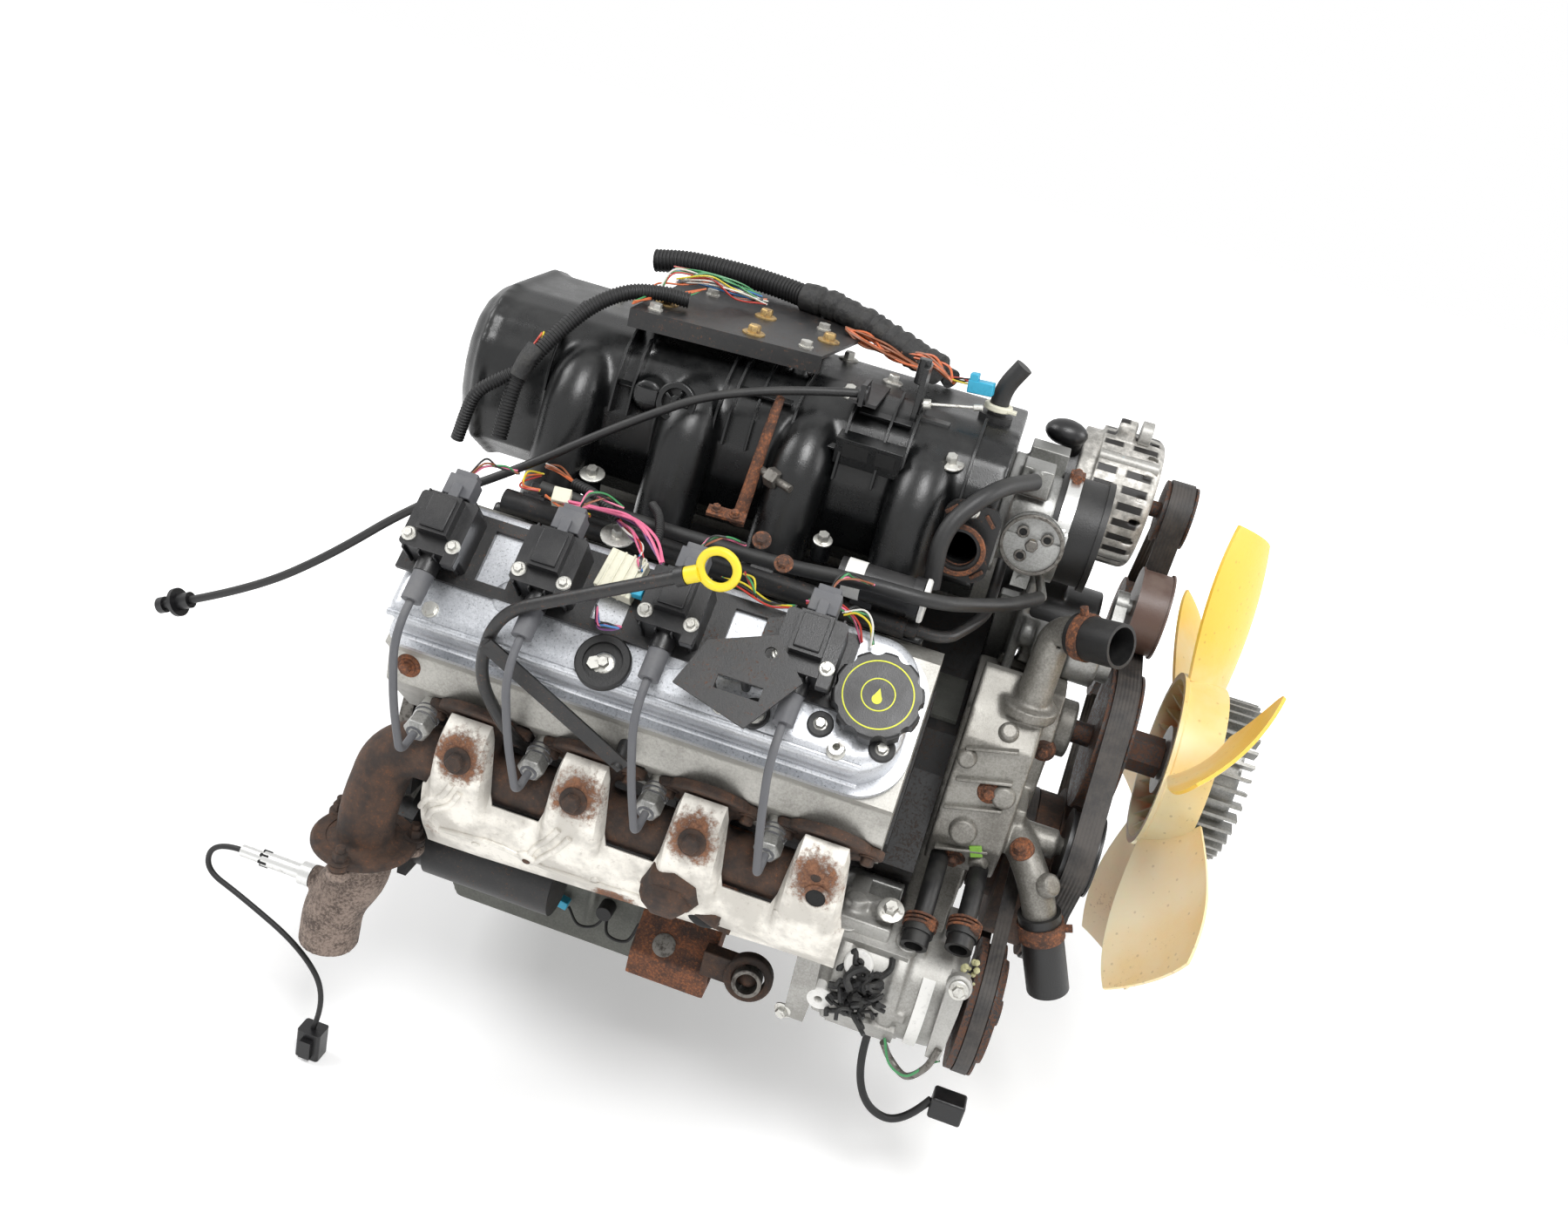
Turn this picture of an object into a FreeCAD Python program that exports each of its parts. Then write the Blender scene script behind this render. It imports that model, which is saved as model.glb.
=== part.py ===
"""A complete V8 petrol engine of the truck kind, as it comes out on a hoist.

Frame: millimetres, +X towards the fan, +Y to the driver's side, +Z up.
The origin is on the crankshaft's axis, in the plane of the block's rear face.
Each bank is drawn upright, with its cylinders along Z, and then tipped 45 degrees about the crank.
"""
import functools
import math
import os

import FreeCAD
import Part

V = FreeCAD.Vector
X_AXIS = V(1, 0, 0)
Y_AXIS = V(0, 1, 0)
Z_AXIS = V(0, 0, 1)
ORIGIN = V(0, 0, 0)
RIGHT = -1
LEFT = 1
SIDES = (RIGHT, LEFT)

# Cylinder block
BORE_PITCH = 111.76
BORE_RADIUS = 48.0
BANK_OFFSET = 24.1
BANK_ANGLE = 45.0
REAR_BORE_X = 80.0
BLOCK_LENGTH = 515.0
DECK_HEIGHT = 234.7
DECK_HALF = 78.0
SKIRT_HALF = 132.0
PAN_RAIL_Z = -60.0
VALLEY_FLOOR_Z = 162.0
VALLEY_HALF = 74.0
VALLEY_COVER_HALF = 50.0
BAY_RADIUS = 90.0
BAY_HALF = 47.5
BELL_THICKNESS = 16.0
BELL_HOLE_RADIUS = 5.4
BELL_LOWER = (205.0, 0.0)
BELL_UPPER = (98.0, 202.0)

# Crankshaft, camshaft and pistons
MAIN_RADIUS = 32.5
PIN_RADIUS = 26.7
THROW = 46.0
WEB_THICKNESS = 22.0
FIT = 0.05
COUNTERWEIGHT_R = 80.0
ROD_LENGTH = 154.9
PISTON_CROWN = 34.0
PISTON_LENGTH = 56.0
CAM_Z = 124.8
CAM_RADIUS = 26.0

# Cylinder heads and their covers
GASKET = 1.3
HEAD_HEIGHT = 115.0
HEAD_LENGTH = 471.0
HEAD_REAR_X = 10.0
HEAD_HALF = 98.0
INTAKE_FACE = 56.0
COVER_HEIGHT = 60.0
COVER_WALL = 4.0

# Front of the engine
FRONT_COVER_DEPTH = 50.0
PUMP_Z = 172.0
PULLEY_GAP = 0.3
BELT_THICKNESS = 4.6
BELT_WIDTH = 27.0
BELT_X = 662.0
AC_BELT_WIDTH = 15.0
AC_BELT_X = 612.0
CRANK_PULLEY_R = 90.0
CRANK_AC_R = 80.0
PUMP_PULLEY_R = 72.0
ALTERNATOR_PULLEY_R = 30.0
STEERING_PULLEY_R = 68.0
TENSIONER_R = 43.0
IDLER_R = 38.0
AC_PULLEY_R = 60.0
ALTERNATOR_AT = (138.0, 382.0)
STEERING_AT = (196.0, 205.0)
TENSIONER_AT = (62.0, 296.0)
TENSIONER_PIVOT = (17.0, 251.0)
IDLER_AT = (-104.0, 98.0)
AC_AT = (-202.0, -42.0)

# Fan
FAN_RADIUS = 245.0
FAN_TURNS = (-24.0, 56.0, 116.0, 178.0, 228.0, 284.0)
FAN_BLADE_GAUGE = 3.0
FAN_X = 742.0
FAN_HUB_R = 88.0
CLUTCH_R = 82.0

# Oil pan and flexplate
SUMP_Z = -216.0
PAN_SHALLOW_Z = -112.0
SUMP_FRONT_X = 285.0
FLEX_RADIUS = 178.0
FLEX_X = -24.0
CONVERTER_PCD = 282.0
CONVERTER_HOLE_R = 5.4

# Intake
PLENUM_Z = 385.0
PLENUM_REAR_X = -46.0
PLENUM_FRONT_X = 486.0
RUNNER_R = 28.0
THROTTLE_BORE_R = 38.0
THROTTLE_Z = 378.0
THROTTLE_LENGTH = 74.0

# Places on the outside of the banks
COVER_OUT = 76.0
COVER_IN = 62.0
PORT_OFFSET = 20.0
PORT_RADIUS = 17.0
PLUG_OFFSET = 28.0
PLUG_FOOT = (48.0, 254.0)
PLUG_END = (136.0, 303.0)
COIL_OUT = 30.0
COIL_SHIFT = (-2.0, -14.0, -14.0, -10.0)
LEAD_RADIUS = 3.6
OIL_CAP_X = 442.0
OIL_CAP_Y = -8.0
OIL_CAP_R = 38.0
NECK_RADIUS = 26.0
NECK_BORE = 20.0
CORE_PLUG_R = 19.0
RAIL_HALF = 142.0

# Timing drive, seals and small clearances
SEAL_RADIUS = 36.0
REAR_SEAL_R = 49.0
CRANK_FLANGE_R = 46.0
NOSE_RADIUS = 20.0
FRONT_COVER_X = BLOCK_LENGTH + FRONT_COVER_DEPTH
CHAIN_X = 531.0
CHAIN_WIDTH = 14.0
CHAIN_THICKNESS = 7.0
CRANK_SPROCKET_R = 27.0
CAM_SPROCKET_R = 54.0
FLEX_THICKNESS = 4.0
PISTON_GAP = 0.05
PAN_LENGTH = 515.0
PAN_HALF = 104.0
OIL_FILTER_AT = (356.0, 58.0, -115.0)

# Exhaust side
LOG_V = 138.0
LOG_U = 250.0
LOG_RADIUS = 25.0
LOG_BORE = 20.0
SHIELD_THICKNESS = 1.6
PIPE_RADIUS = 29.0
PIPE_BORE = 25.0
FLANGE_AT = (8.0, -292.0, -24.0)

# Intake and fuel
FACE_V = -82.0
RAIL_AT = (-184.0, 308.0)
RAIL_RADIUS = 11.0
THROTTLE_X = 487.0
THROTTLE_SHAFT_X = 526.0
THROTTLE_SHAFT_R = 5.0
BARREL_RADIUS = 46.0
EGR_AT = (464.0, 374.0)
PLATE_Z = 489.0

# Front accessories
ALTERNATOR_RADIUS = 70.0
ALTERNATOR_X = (548.0, 632.0)
SHAFT_RADIUS = 8.5
PUMP_SHAFT_R = 12.0
PUMP_FRONT_X = 626.0
HOSE_RADIUS = 21.0
HOSE_BORE = 17.0
HOSE_MOUTH = 28.0
NECK_RADIUS_OUT = 16.8
UPPER_NECK = ((572.0, -96.0, 215.0), (574.0, -86.0, 309.0), (629.0, -130.0, 330.0))
LOWER_NECK = ((584.0, -92.0, 108.0), (627.0, -152.0, 84.0), (675.0, -154.0, -30.0))
HEATER_STUBS = ((535.0, -232.0, 28.0), (575.0, -226.0, 36.0))
DIPSTICK_RADIUS = 2.5
DIP_TUBE_RADIUS = 5.5
DIP_TUBE_BORE = 4.0
DIP_ROUTE = ((274.0, -345.0, 365.0), (124.0, -341.0, 280.0), (112.0, -334.0, 212.0), (139.0, -318.0, 158.0),
             (141.0, -251.0, 102.0), (142.0, -205.0, 60.0), (144.0, -137.0, -47.7))
CABLE_ROUTE = ((337.7, -102.0, 477.0), (232.0, -130.0, 460.0), (144.0, -160.0, 404.0), (66.0, -188.0, 344.0),
               (-18.0, -211.0, 290.0), (-94.0, -229.0, 216.0), (-164.0, -235.0, 162.0),
               (-226.0, -238.0, 130.0))
SENSOR_ROUTE = ((-118.0, -294.0, -91.0), (-150.0, -294.0, -92.0), (-157.0, -296.0, -128.0),
                (-114.0, -299.0, -142.0), (-42.0, -300.0, -178.0), (-8.0, -300.0, -228.0),
                (-20.0, -300.0, -274.0))
SHIELD_POST_U = 308.4
MOUNT_BORE_R = 7.0
DIPSTICK_REACH = 110.0
PLATE_POSTS = ((130.0, -80.0), (272.0, -56.0), (150.0, 40.0), (270.0, 30.0))
COVER_BOLTS = (60.0, 210.0, 322.0)
HARNESS_ROUTE = ((521.0, -214.0, -106.0), (521.0, -218.0, -148.0), (542.0, -232.0, -184.0),
                 (580.0, -226.0, -192.0), (600.0, -216.0, -158.0))
HARNESS_RADIUS = 4.0
SENSOR_LEAD_RADIUS = 2.8


def box(x0, y0, z0, x1, y1, z1):
    """A block between two corners."""
    return Part.makeBox(x1 - x0, y1 - y0, z1 - z0, V(x0, y0, z0))


def side_box(side, x0, inner, z0, x1, outer, z1):
    """A block between two distances out from a bank's own middle."""
    y0, y1 = sorted((side * inner, side * outer))
    return box(x0, y0, z0, x1, y1, z1)


def rod(start, end, radius):
    """A round bar between two points."""
    way = end - start
    return Part.makeCylinder(radius, way.Length, start, way)


def disc(x0, x1, y, z, radius):
    """A round bar along X."""
    return Part.makeCylinder(radius, x1 - x0, V(x0, y, z), X_AXIS)


def ring(x0, x1, y, z, outer, inner):
    """A tube along X."""
    return disc(x0, x1, y, z, outer).cut(disc(x0 - 1, x1 + 1, y, z, inner))


def prism(points, x0, x1):
    """A prism along X from (y, z) corners."""
    corners = [V(x0, y, z) for y, z in points]
    wire = Part.makePolygon(corners + corners[:1])
    return Part.Face(wire).extrude(V(x1 - x0, 0, 0))


def slab(points, z0, z1):
    """A prism along Z from (x, y) corners."""
    corners = [V(x, y, z0) for x, y in points]
    wire = Part.makePolygon(corners + corners[:1])
    return Part.Face(wire).extrude(V(0, 0, z1 - z0))


def turned(profile, y, z):
    """A solid turned about the line along X through (y, z), from (x, radius) corners."""
    corners = [V(x, y, z + r) for x, r in profile]
    wire = Part.makePolygon(corners + corners[:1])
    return Part.Face(wire).revolve(V(0, y, z), X_AXIS, 360)


def softened(shape, radius, edges=None):
    """Rounds the edges where the shape allows it."""
    chosen = shape.Edges if edges is None else edges
    return shape.makeFillet(radius, chosen)


def edges_along(shape, axis, least=0.0):
    """The straight edges that run along an axis."""
    found = []
    for edge in shape.Edges:
        if len(edge.Vertexes) == 2 and edge.Curve.TypeId == "Part::GeomLine":
            way = edge.Vertexes[1].Point - edge.Vertexes[0].Point
            if way.Length > least and abs(abs(way.normalize().dot(axis)) - 1) < 1e-6:
                found.append(edge)
    return found


def joined(shapes):
    """One solid out of several that overlap."""
    first = shapes[0]
    whole = first.fuse(shapes[1:]) if len(shapes) > 1 else first
    return whole.removeSplitter()


def group(shapes):
    """Several separate solids in one node."""
    return Part.makeCompound(shapes)


def path_wire(points, share=0.45):
    """Straight runs joined by tangent arcs, each as large as its two runs allow."""
    edges = []
    last = points[0]
    for before, corner, after in zip(points, points[1:], points[2:]):
        run_in = (before - corner)
        run_out = (after - corner)
        shorter = min(run_in.Length, run_out.Length)
        run_in.normalize()
        run_out.normalize()
        half = math.acos(max(-1.0, min(1.0, run_in.dot(run_out)))) / 2
        reach = share * shorter
        start = corner + run_in * reach
        end = corner + run_out * reach
        bisector = (run_in + run_out).normalize()
        radius = reach * math.tan(half)
        middle = corner + bisector * (radius / math.sin(half) - radius)
        edges.append(Part.LineSegment(last, start).toShape())
        edges.append(Part.Arc(start, middle, end).toShape())
        last = end
    edges.append(Part.LineSegment(last, points[-1]).toShape())
    return Part.Wire(edges)


def pipe(points, radius, bore=0.0):
    """A round tube, hollow if a bore is given, along straight runs and arcs."""
    wire = path_wire(points)
    way = points[1] - points[0]

    def sweep(r):
        """One tube of the given radius along the wire."""
        circle = Part.Wire(Part.Circle(points[0], way, r).toShape())
        return wire.makePipeShell([circle], True, False, 0)

    solid = sweep(radius)
    return solid.cut(sweep(bore)) if bore else solid


def tip(shape, side):
    """Tips a shape drawn upright over to its bank."""
    turned_shape = shape.copy()
    turned_shape.rotate(ORIGIN, X_AXIS, -side * BANK_ANGLE)
    return turned_shape


def bank_point(side, x, out, up):
    """A place on a bank: out from the bore's axis on the exhaust side, up from the crank."""
    angle = math.radians(-side * BANK_ANGLE)
    y = side * out
    return V(x, y * math.cos(angle) - up * math.sin(angle), y * math.sin(angle) + up * math.cos(angle))


def bank_x(side):
    """How far a bank is set forward of the right one."""
    return BANK_OFFSET if side == LEFT else 0.0


def bore_positions(side):
    """How far forward each bore of a bank is."""
    return [REAR_BORE_X + bank_x(side) + i * BORE_PITCH for i in range(4)]


def throw_positions():
    """How far forward each throw of the crank is."""
    return [REAR_BORE_X + BANK_OFFSET / 2 + i * BORE_PITCH for i in range(4)]


def bolt(place, way, shank, length, head):
    """A flanged hex bolt: its head's underside at the place, its shank along the way."""
    way = V(way).normalize()
    flange = Part.makeCylinder(head * 1.2, head * 0.25, place, way * -1)
    side = V(0, 0, 1) if abs(way.z) < 0.9 else V(1, 0, 0)
    across = way.cross(side).normalize()
    other = way.cross(across).normalize()
    base = place - way * (head * 0.2)
    corners = []
    for i in range(7):
        a = math.radians(60 * i)
        corners.append(base + across * (head * math.cos(a)) + other * (head * math.sin(a)))
    hexagon = Part.Face(Part.makePolygon(corners)).extrude(way * (-head * 0.85))
    stem = Part.makeCylinder(shank, length, place - way * 0.1, way)
    return joined([flange, hexagon, stem])


# Block and crankcase

@functools.cache
def engine_block():
    """Two banks on a skirted crankcase, with its bores, tunnels and bays."""
    skirt = prism(
        [(-SKIRT_HALF, PAN_RAIL_Z), (SKIRT_HALF, PAN_RAIL_Z), (SKIRT_HALF, -20), (112, 66),
         (VALLEY_HALF, VALLEY_FLOOR_Z), (-VALLEY_HALF, VALLEY_FLOOR_Z), (-112, 66), (-SKIRT_HALF, -20)],
        0, BLOCK_LENGTH)
    bank = box(0, -DECK_HALF, 70, BLOCK_LENGTH, DECK_HALF, DECK_HEIGHT)
    right = bank.cut(box(HEAD_REAR_X + HEAD_LENGTH + 3, -DECK_HALF - 1, 150, 600, DECK_HALF + 1, 300))
    left = bank.cut(box(-5, -DECK_HALF - 1, 150, HEAD_REAR_X + BANK_OFFSET - 3, DECK_HALF + 1, 300))
    lower_y, lower_z = BELL_LOWER
    upper_y, upper_z = BELL_UPPER
    half_bell = [(lower_y + 15, lower_z - 16), (lower_y + 15, lower_z + 18), (178, 110),
                 (upper_y + 22, upper_z + 10), (upper_y - 10, upper_z + 18)]
    bell = prism(half_bell + [(-y, z) for y, z in reversed(half_bell)], 0, BELL_THICKNESS)
    rails = [box(0, min(side * SKIRT_HALF, side * RAIL_HALF), PAN_RAIL_Z, BLOCK_LENGTH,
                 max(side * SKIRT_HALF, side * RAIL_HALF), PAN_RAIL_Z + 12) for side in SIDES]
    ribs = []
    for side in SIDES:
        for x in throw_positions():
            y = side * 116
            ribs.append(box(x + 51, min(y, y + side * 15), PAN_RAIL_Z, x + 61, max(y, y + side * 15), 60))
        ribs[-1] = ribs[-1].cut(box(BLOCK_LENGTH, -200, -100, 600, 200, 100))
    body = joined([skirt, bell, tip(right, RIGHT), tip(left, LEFT)] + rails + ribs)
    cuts = []
    for side in SIDES:
        for x in bore_positions(side):
            cuts.append(tip(Part.makeCylinder(BORE_RADIUS, DECK_HEIGHT, V(x, 0, 62)), side))
        for y, z in (BELL_LOWER, BELL_UPPER):
            cuts.append(disc(-2, BELL_THICKNESS + 2, side * y, z, BELL_HOLE_RADIUS))
    for x in throw_positions():
        cuts.append(disc(x - BAY_HALF, x + BAY_HALF, 0, 0, BAY_RADIUS))
        cuts.append(box(x - BAY_HALF, -BAY_RADIUS, PAN_RAIL_Z - 20, x + BAY_HALF, BAY_RADIUS, 0))
    cuts.append(disc(-5, BLOCK_LENGTH + 5, 0, 0, MAIN_RADIUS + FIT))
    cuts.append(disc(-5, BLOCK_LENGTH + 5, 0, CAM_Z, CAM_RADIUS + FIT))
    return body.cut(cuts)


def core_plugs():
    """The pressed plugs along each side of the crankcase."""
    plugs = []
    for side in SIDES:
        for x in (140.0, 252.0, 364.0):
            place = bank_point(side, x, DECK_HALF, 150)
            way = bank_point(side, 0, 1, 0)
            plugs.append(Part.makeCylinder(CORE_PLUG_R, 3, place, way))
    return group(plugs)


@functools.cache
def front_envelope():
    """The timing cover's outside."""
    outline = [(-104, PAN_RAIL_Z), (104, PAN_RAIL_Z), (108, 20), (86, 150), (66, 196), (-66, 196),
               (-86, 150), (-108, 20)]
    return prism(outline, BLOCK_LENGTH, BLOCK_LENGTH + FRONT_COVER_DEPTH)


def front_cover():
    """The timing cover, hollow behind, with the crank's hole through it."""
    cover = front_envelope()
    cover = softened(cover, 8, [e for e in edges_along(cover, X_AXIS, 20)])
    hollow = [(-90, -44), (90, -44), (94, 20), (76, 148), (58, 189), (-58, 189), (-76, 148), (-94, 20)]
    cover = cover.cut(prism(hollow, BLOCK_LENGTH - 1, BLOCK_LENGTH + FRONT_COVER_DEPTH - 7))
    collar = ring(BLOCK_LENGTH + FRONT_COVER_DEPTH - 7, FRONT_COVER_X + 6, 0, 0, 48, SEAL_RADIUS)
    cover = cover.cut(disc(BLOCK_LENGTH - 1, 600, 0, 0, SEAL_RADIUS))
    return joined([cover, collar])


def rear_seal_cover():
    """The plate round the crank's rear seal."""
    plate = box(-9, -92, PAN_RAIL_Z, 0, 92, 66)
    plate = softened(plate, 14, edges_along(plate, X_AXIS))
    boss = disc(-14, 0, 0, 0, 56)
    return joined([plate, boss]).cut(disc(-20, 5, 0, 0, REAR_SEAL_R))


@functools.cache
def oil_pan():
    """A cast pan with a deep sump at the rear and a shallow front."""
    side = [(0, PAN_RAIL_Z), (PAN_LENGTH, PAN_RAIL_Z), (PAN_LENGTH, PAN_SHALLOW_Z),
            (SUMP_FRONT_X + 28, PAN_SHALLOW_Z - 8), (SUMP_FRONT_X, SUMP_Z), (34, SUMP_Z),
            (0, PAN_SHALLOW_Z - 24)]
    points = [V(x, -PAN_HALF, z) for x, z in side]
    outer = Part.Face(Part.makePolygon(points + points[:1])).extrude(V(0, 2 * PAN_HALF, 0))
    outer = softened(outer, 10, edges_along(outer, Y_AXIS)[2:])
    hollow_sump = box(16, -PAN_HALF + 7, SUMP_Z + 7, SUMP_FRONT_X - 8, PAN_HALF - 7, PAN_RAIL_Z + 5)
    hollow_front = box(16, -PAN_HALF + 7, PAN_SHALLOW_Z + 7, PAN_LENGTH - 14, PAN_HALF - 7, PAN_RAIL_Z + 5)
    rail = box(0, -RAIL_HALF, PAN_RAIL_Z - 10, PAN_LENGTH, RAIL_HALF, PAN_RAIL_Z)
    ribs = [box(x, -PAN_HALF - 5, SUMP_Z + 30, x + 6, PAN_HALF + 5, PAN_RAIL_Z - 5)
            for x in (70, 130, 190, 250)]
    plug = rod(V(40, 30, SUMP_Z + 24), V(20, 30, SUMP_Z + 24), 11)
    body = joined([outer, rail, plug] + ribs)
    return body.cut([hollow_sump, hollow_front])


def oil_filter():
    """The spin-on filter beside the sump."""
    x, y, top = OIL_FILTER_AT
    can = Part.makeCylinder(38, 92, V(x, y, top - 104))
    can = softened(can, 7, [e for e in can.Edges if abs(e.BoundBox.ZMax - (top - 104)) < 0.01])
    neck = Part.makeCylinder(30, 12, V(x, y, top - 12))
    return joined([can, neck]).cut(oil_pan())


# Turning parts inside

def crank_angle(index):
    """The four throws of a cross-plane crank."""
    return (45.0, 315.0, 135.0, 225.0)[index]


def crankshaft():
    """The crank with its four throws, webs and nose."""
    parts = [disc(-14, 50, 0, 0, MAIN_RADIUS), disc(FLEX_X + FLEX_THICKNESS, -13, 0, 0, CRANK_FLANGE_R)]
    centres = throw_positions()
    for index, x in enumerate(centres):
        angle = math.radians(crank_angle(index))
        py, pz = THROW * math.cos(angle), THROW * math.sin(angle)
        for start in (x - 46, x + 46 - WEB_THICKNESS):
            weight = disc(start, start + WEB_THICKNESS, 0, 0, COUNTERWEIGHT_R)
            shave = box(start - 1, -100, 12, start + WEB_THICKNESS + 1, 100, 120)
            shave.rotate(ORIGIN, X_AXIS, crank_angle(index) - 90)
            arm = disc(start, start + WEB_THICKNESS, py * 0.62, pz * 0.62, PIN_RADIUS + 16)
            parts.append(weight.cut(shave).fuse(arm))
        parts.append(disc(x - 26, x + 26, py, pz, PIN_RADIUS))
    walls = [30.0] + [(a + b) / 2 for a, b in zip(centres, centres[1:])] + [BLOCK_LENGTH - 20]
    for x in walls:
        parts.append(disc(x - 14, x + 14, 0, 0, MAIN_RADIUS))
    parts.append(disc(centres[-1] + 40, BLOCK_LENGTH + 1, 0, 0, MAIN_RADIUS))
    parts.append(disc(BLOCK_LENGTH, FRONT_COVER_X + 40, 0, 0, NOSE_RADIUS))
    parts.append(disc(CHAIN_X - CHAIN_WIDTH / 2, CHAIN_X + CHAIN_WIDTH / 2, 0, 0, CRANK_SPROCKET_R))
    return joined(parts)


def camshaft():
    """Journals, lobes and the chain sprocket."""
    parts = [disc(6, CHAIN_X + CHAIN_WIDTH / 2, 0, CAM_Z, 18)]
    for x in [20.0] + [(a + b) / 2 for a, b in zip(throw_positions(), throw_positions()[1:])] + [495.0]:
        parts.append(disc(x - 10, x + 10, 0, CAM_Z, CAM_RADIUS))
    turn = 0
    for x in throw_positions():
        for offset in (-30, -10, 10, 30):
            lobe = disc(x + offset - 5, x + offset + 5, 6, CAM_Z, 19)
            lobe.rotate(V(0, 0, CAM_Z), X_AXIS, turn)
            parts.append(lobe)
            turn += 67
    parts.append(disc(CHAIN_X - CHAIN_WIDTH / 2, CHAIN_X + CHAIN_WIDTH / 2, 0, CAM_Z, CAM_SPROCKET_R))
    return joined(parts)


def pistons():
    """Each piston at its height for the crank at rest."""
    shapes = []
    for side in SIDES:
        for index, x in enumerate(bore_positions(side)):
            angle = math.radians(crank_angle(index) - (90 - side * BANK_ANGLE))
            pin = THROW * math.cos(angle) + math.sqrt(ROD_LENGTH ** 2 - (THROW * math.sin(angle)) ** 2)
            crown = pin + PISTON_CROWN
            body = Part.makeCylinder(BORE_RADIUS - PISTON_GAP, PISTON_LENGTH, V(x, 0, crown - PISTON_LENGTH))
            hollow = Part.makeCylinder(BORE_RADIUS - 9, PISTON_LENGTH, V(x, 0, crown - PISTON_LENGTH - 12))
            wrist = Part.makeCylinder(12, 2 * BORE_RADIUS - 14, V(x - BORE_RADIUS + 7, 0, pin), X_AXIS)
            shapes.append(tip(joined([body.cut(hollow), wrist]), side))
    return group(shapes)


def belt_loop(wheels, x, width, thickness):
    """A flat belt round (y, z, radius, turn) wheels; turn is -1 where its back rides."""
    inner = []
    for y, z, radius, turn in wheels:
        reach = radius + PULLEY_GAP + (0 if turn > 0 else thickness)
        inner.append((y, z, reach * turn))
    outer = [(y, z, r + thickness) for y, z, r in inner]
    count = len(wheels)

    def face(circles):
        """The region inside a taut string round the circles, taken anticlockwise in Y, Z."""
        touch = []
        for i in range(count):
            y0, z0, r0 = circles[i]
            y1, z1, r1 = circles[(i + 1) % count]
            dy, dz = y1 - y0, z1 - z0
            span = math.hypot(dy, dz)
            lean = math.asin((r0 - r1) / span)
            heading = math.atan2(dz, dy) + lean
            ny, nz = math.sin(heading), -math.cos(heading)
            touch.append((V(x, y0 + r0 * ny, z0 + r0 * nz), V(x, y1 + r1 * ny, z1 + r1 * nz)))
        edges = []
        for i in range(count):
            y0, z0, r0 = circles[i]
            arrive = touch[i - 1][1]
            leave = touch[i][0]
            a0 = math.atan2(arrive.z - z0, arrive.y - y0)
            a1 = math.atan2(leave.z - z0, leave.y - y0)
            sweep = (a1 - a0) % (2 * math.pi) if r0 > 0 else -((a0 - a1) % (2 * math.pi))
            middle = a0 + sweep / 2
            through = V(x, y0 + abs(r0) * math.cos(middle), z0 + abs(r0) * math.sin(middle))
            edges.append(Part.Arc(arrive, through, leave).toShape())
            edges.append(Part.LineSegment(leave, touch[i][1]).toShape())
        return Part.Face(Part.Wire(edges))

    band = face(outer).cut(face(inner))
    loop = band.extrude(V(width, 0, 0))
    loop.translate(V(-width / 2, 0, 0))
    return loop


def timing_chain():
    """The chain around the crank's sprocket and the cam's."""
    wheels = [(0, 0, CRANK_SPROCKET_R, 1), (0, CAM_Z, CAM_SPROCKET_R, 1)]
    return belt_loop(wheels, CHAIN_X, CHAIN_WIDTH - 2, CHAIN_THICKNESS)


def crank_damper():
    """The damper with the main groove in front and the compressor's behind it."""
    back = AC_BELT_X - AC_BELT_WIDTH / 2 - 4
    main0 = BELT_X - BELT_WIDTH / 2 - 3
    main1 = BELT_X + BELT_WIDTH / 2 + 3
    belt_r = CRANK_PULLEY_R
    groove_end = back + 5 + AC_BELT_WIDTH
    profile = [(FRONT_COVER_X + 8, 0), (FRONT_COVER_X + 8, 40), (back, 44), (back, CRANK_AC_R + 3),
               (back + 3, CRANK_AC_R + 3), (back + 3, CRANK_AC_R), (groove_end, CRANK_AC_R),
               (groove_end, belt_r - 6), (main0, belt_r - 6), (main0, belt_r + 3), (main0 + 2.5, belt_r + 3),
               (main0 + 2.5, belt_r), (main1 - 2.5, belt_r), (main1 - 2.5, belt_r + 3), (main1, belt_r + 3),
               (main1, belt_r - 10), (main1 - 22, belt_r - 14), (main1 - 22, 44), (main1 - 8, 40),
               (main1 - 8, 20), (main1 - 2, 20), (main1 - 2, 0)]
    body = turned(profile, 0, 0)
    return body.cut(disc(FRONT_COVER_X, FRONT_COVER_X + 41, 0, 0, NOSE_RADIUS + FIT))


def flexplate():
    """The ring gear and its plate, with holes for the converter's bolts."""
    x0, x1 = FLEX_X, FLEX_X + FLEX_THICKNESS
    plate = disc(x0, x1, 0, 0, FLEX_RADIUS - 9)
    teeth = ring(x0 - 4, x1 + 5, 0, 0, FLEX_RADIUS, FLEX_RADIUS - 11)
    holes = []
    for i in range(3):
        angle = math.radians(90 + 120 * i)
        y, z = CONVERTER_PCD / 2 * math.cos(angle), CONVERTER_PCD / 2 * math.sin(angle)
        holes.append(disc(x0 - 5, x1 + 5, y, z, CONVERTER_HOLE_R))
    for i in range(6):
        angle = math.radians(60 * i + 30)
        holes.append(disc(x0 - 5, x1 + 5, 105 * math.cos(angle), 105 * math.sin(angle), 17))
    hub = ring(x0 - 6, x0, 0, 0, 48, 24)
    bolts = []
    for i in range(6):
        angle = math.radians(60 * i)
        bolts.append(disc(x0 - 12, x0 - 5, 38 * math.cos(angle), 38 * math.sin(angle), 8))
    return joined([plate.cut(holes), teeth, hub] + bolts)


# Heads

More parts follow.
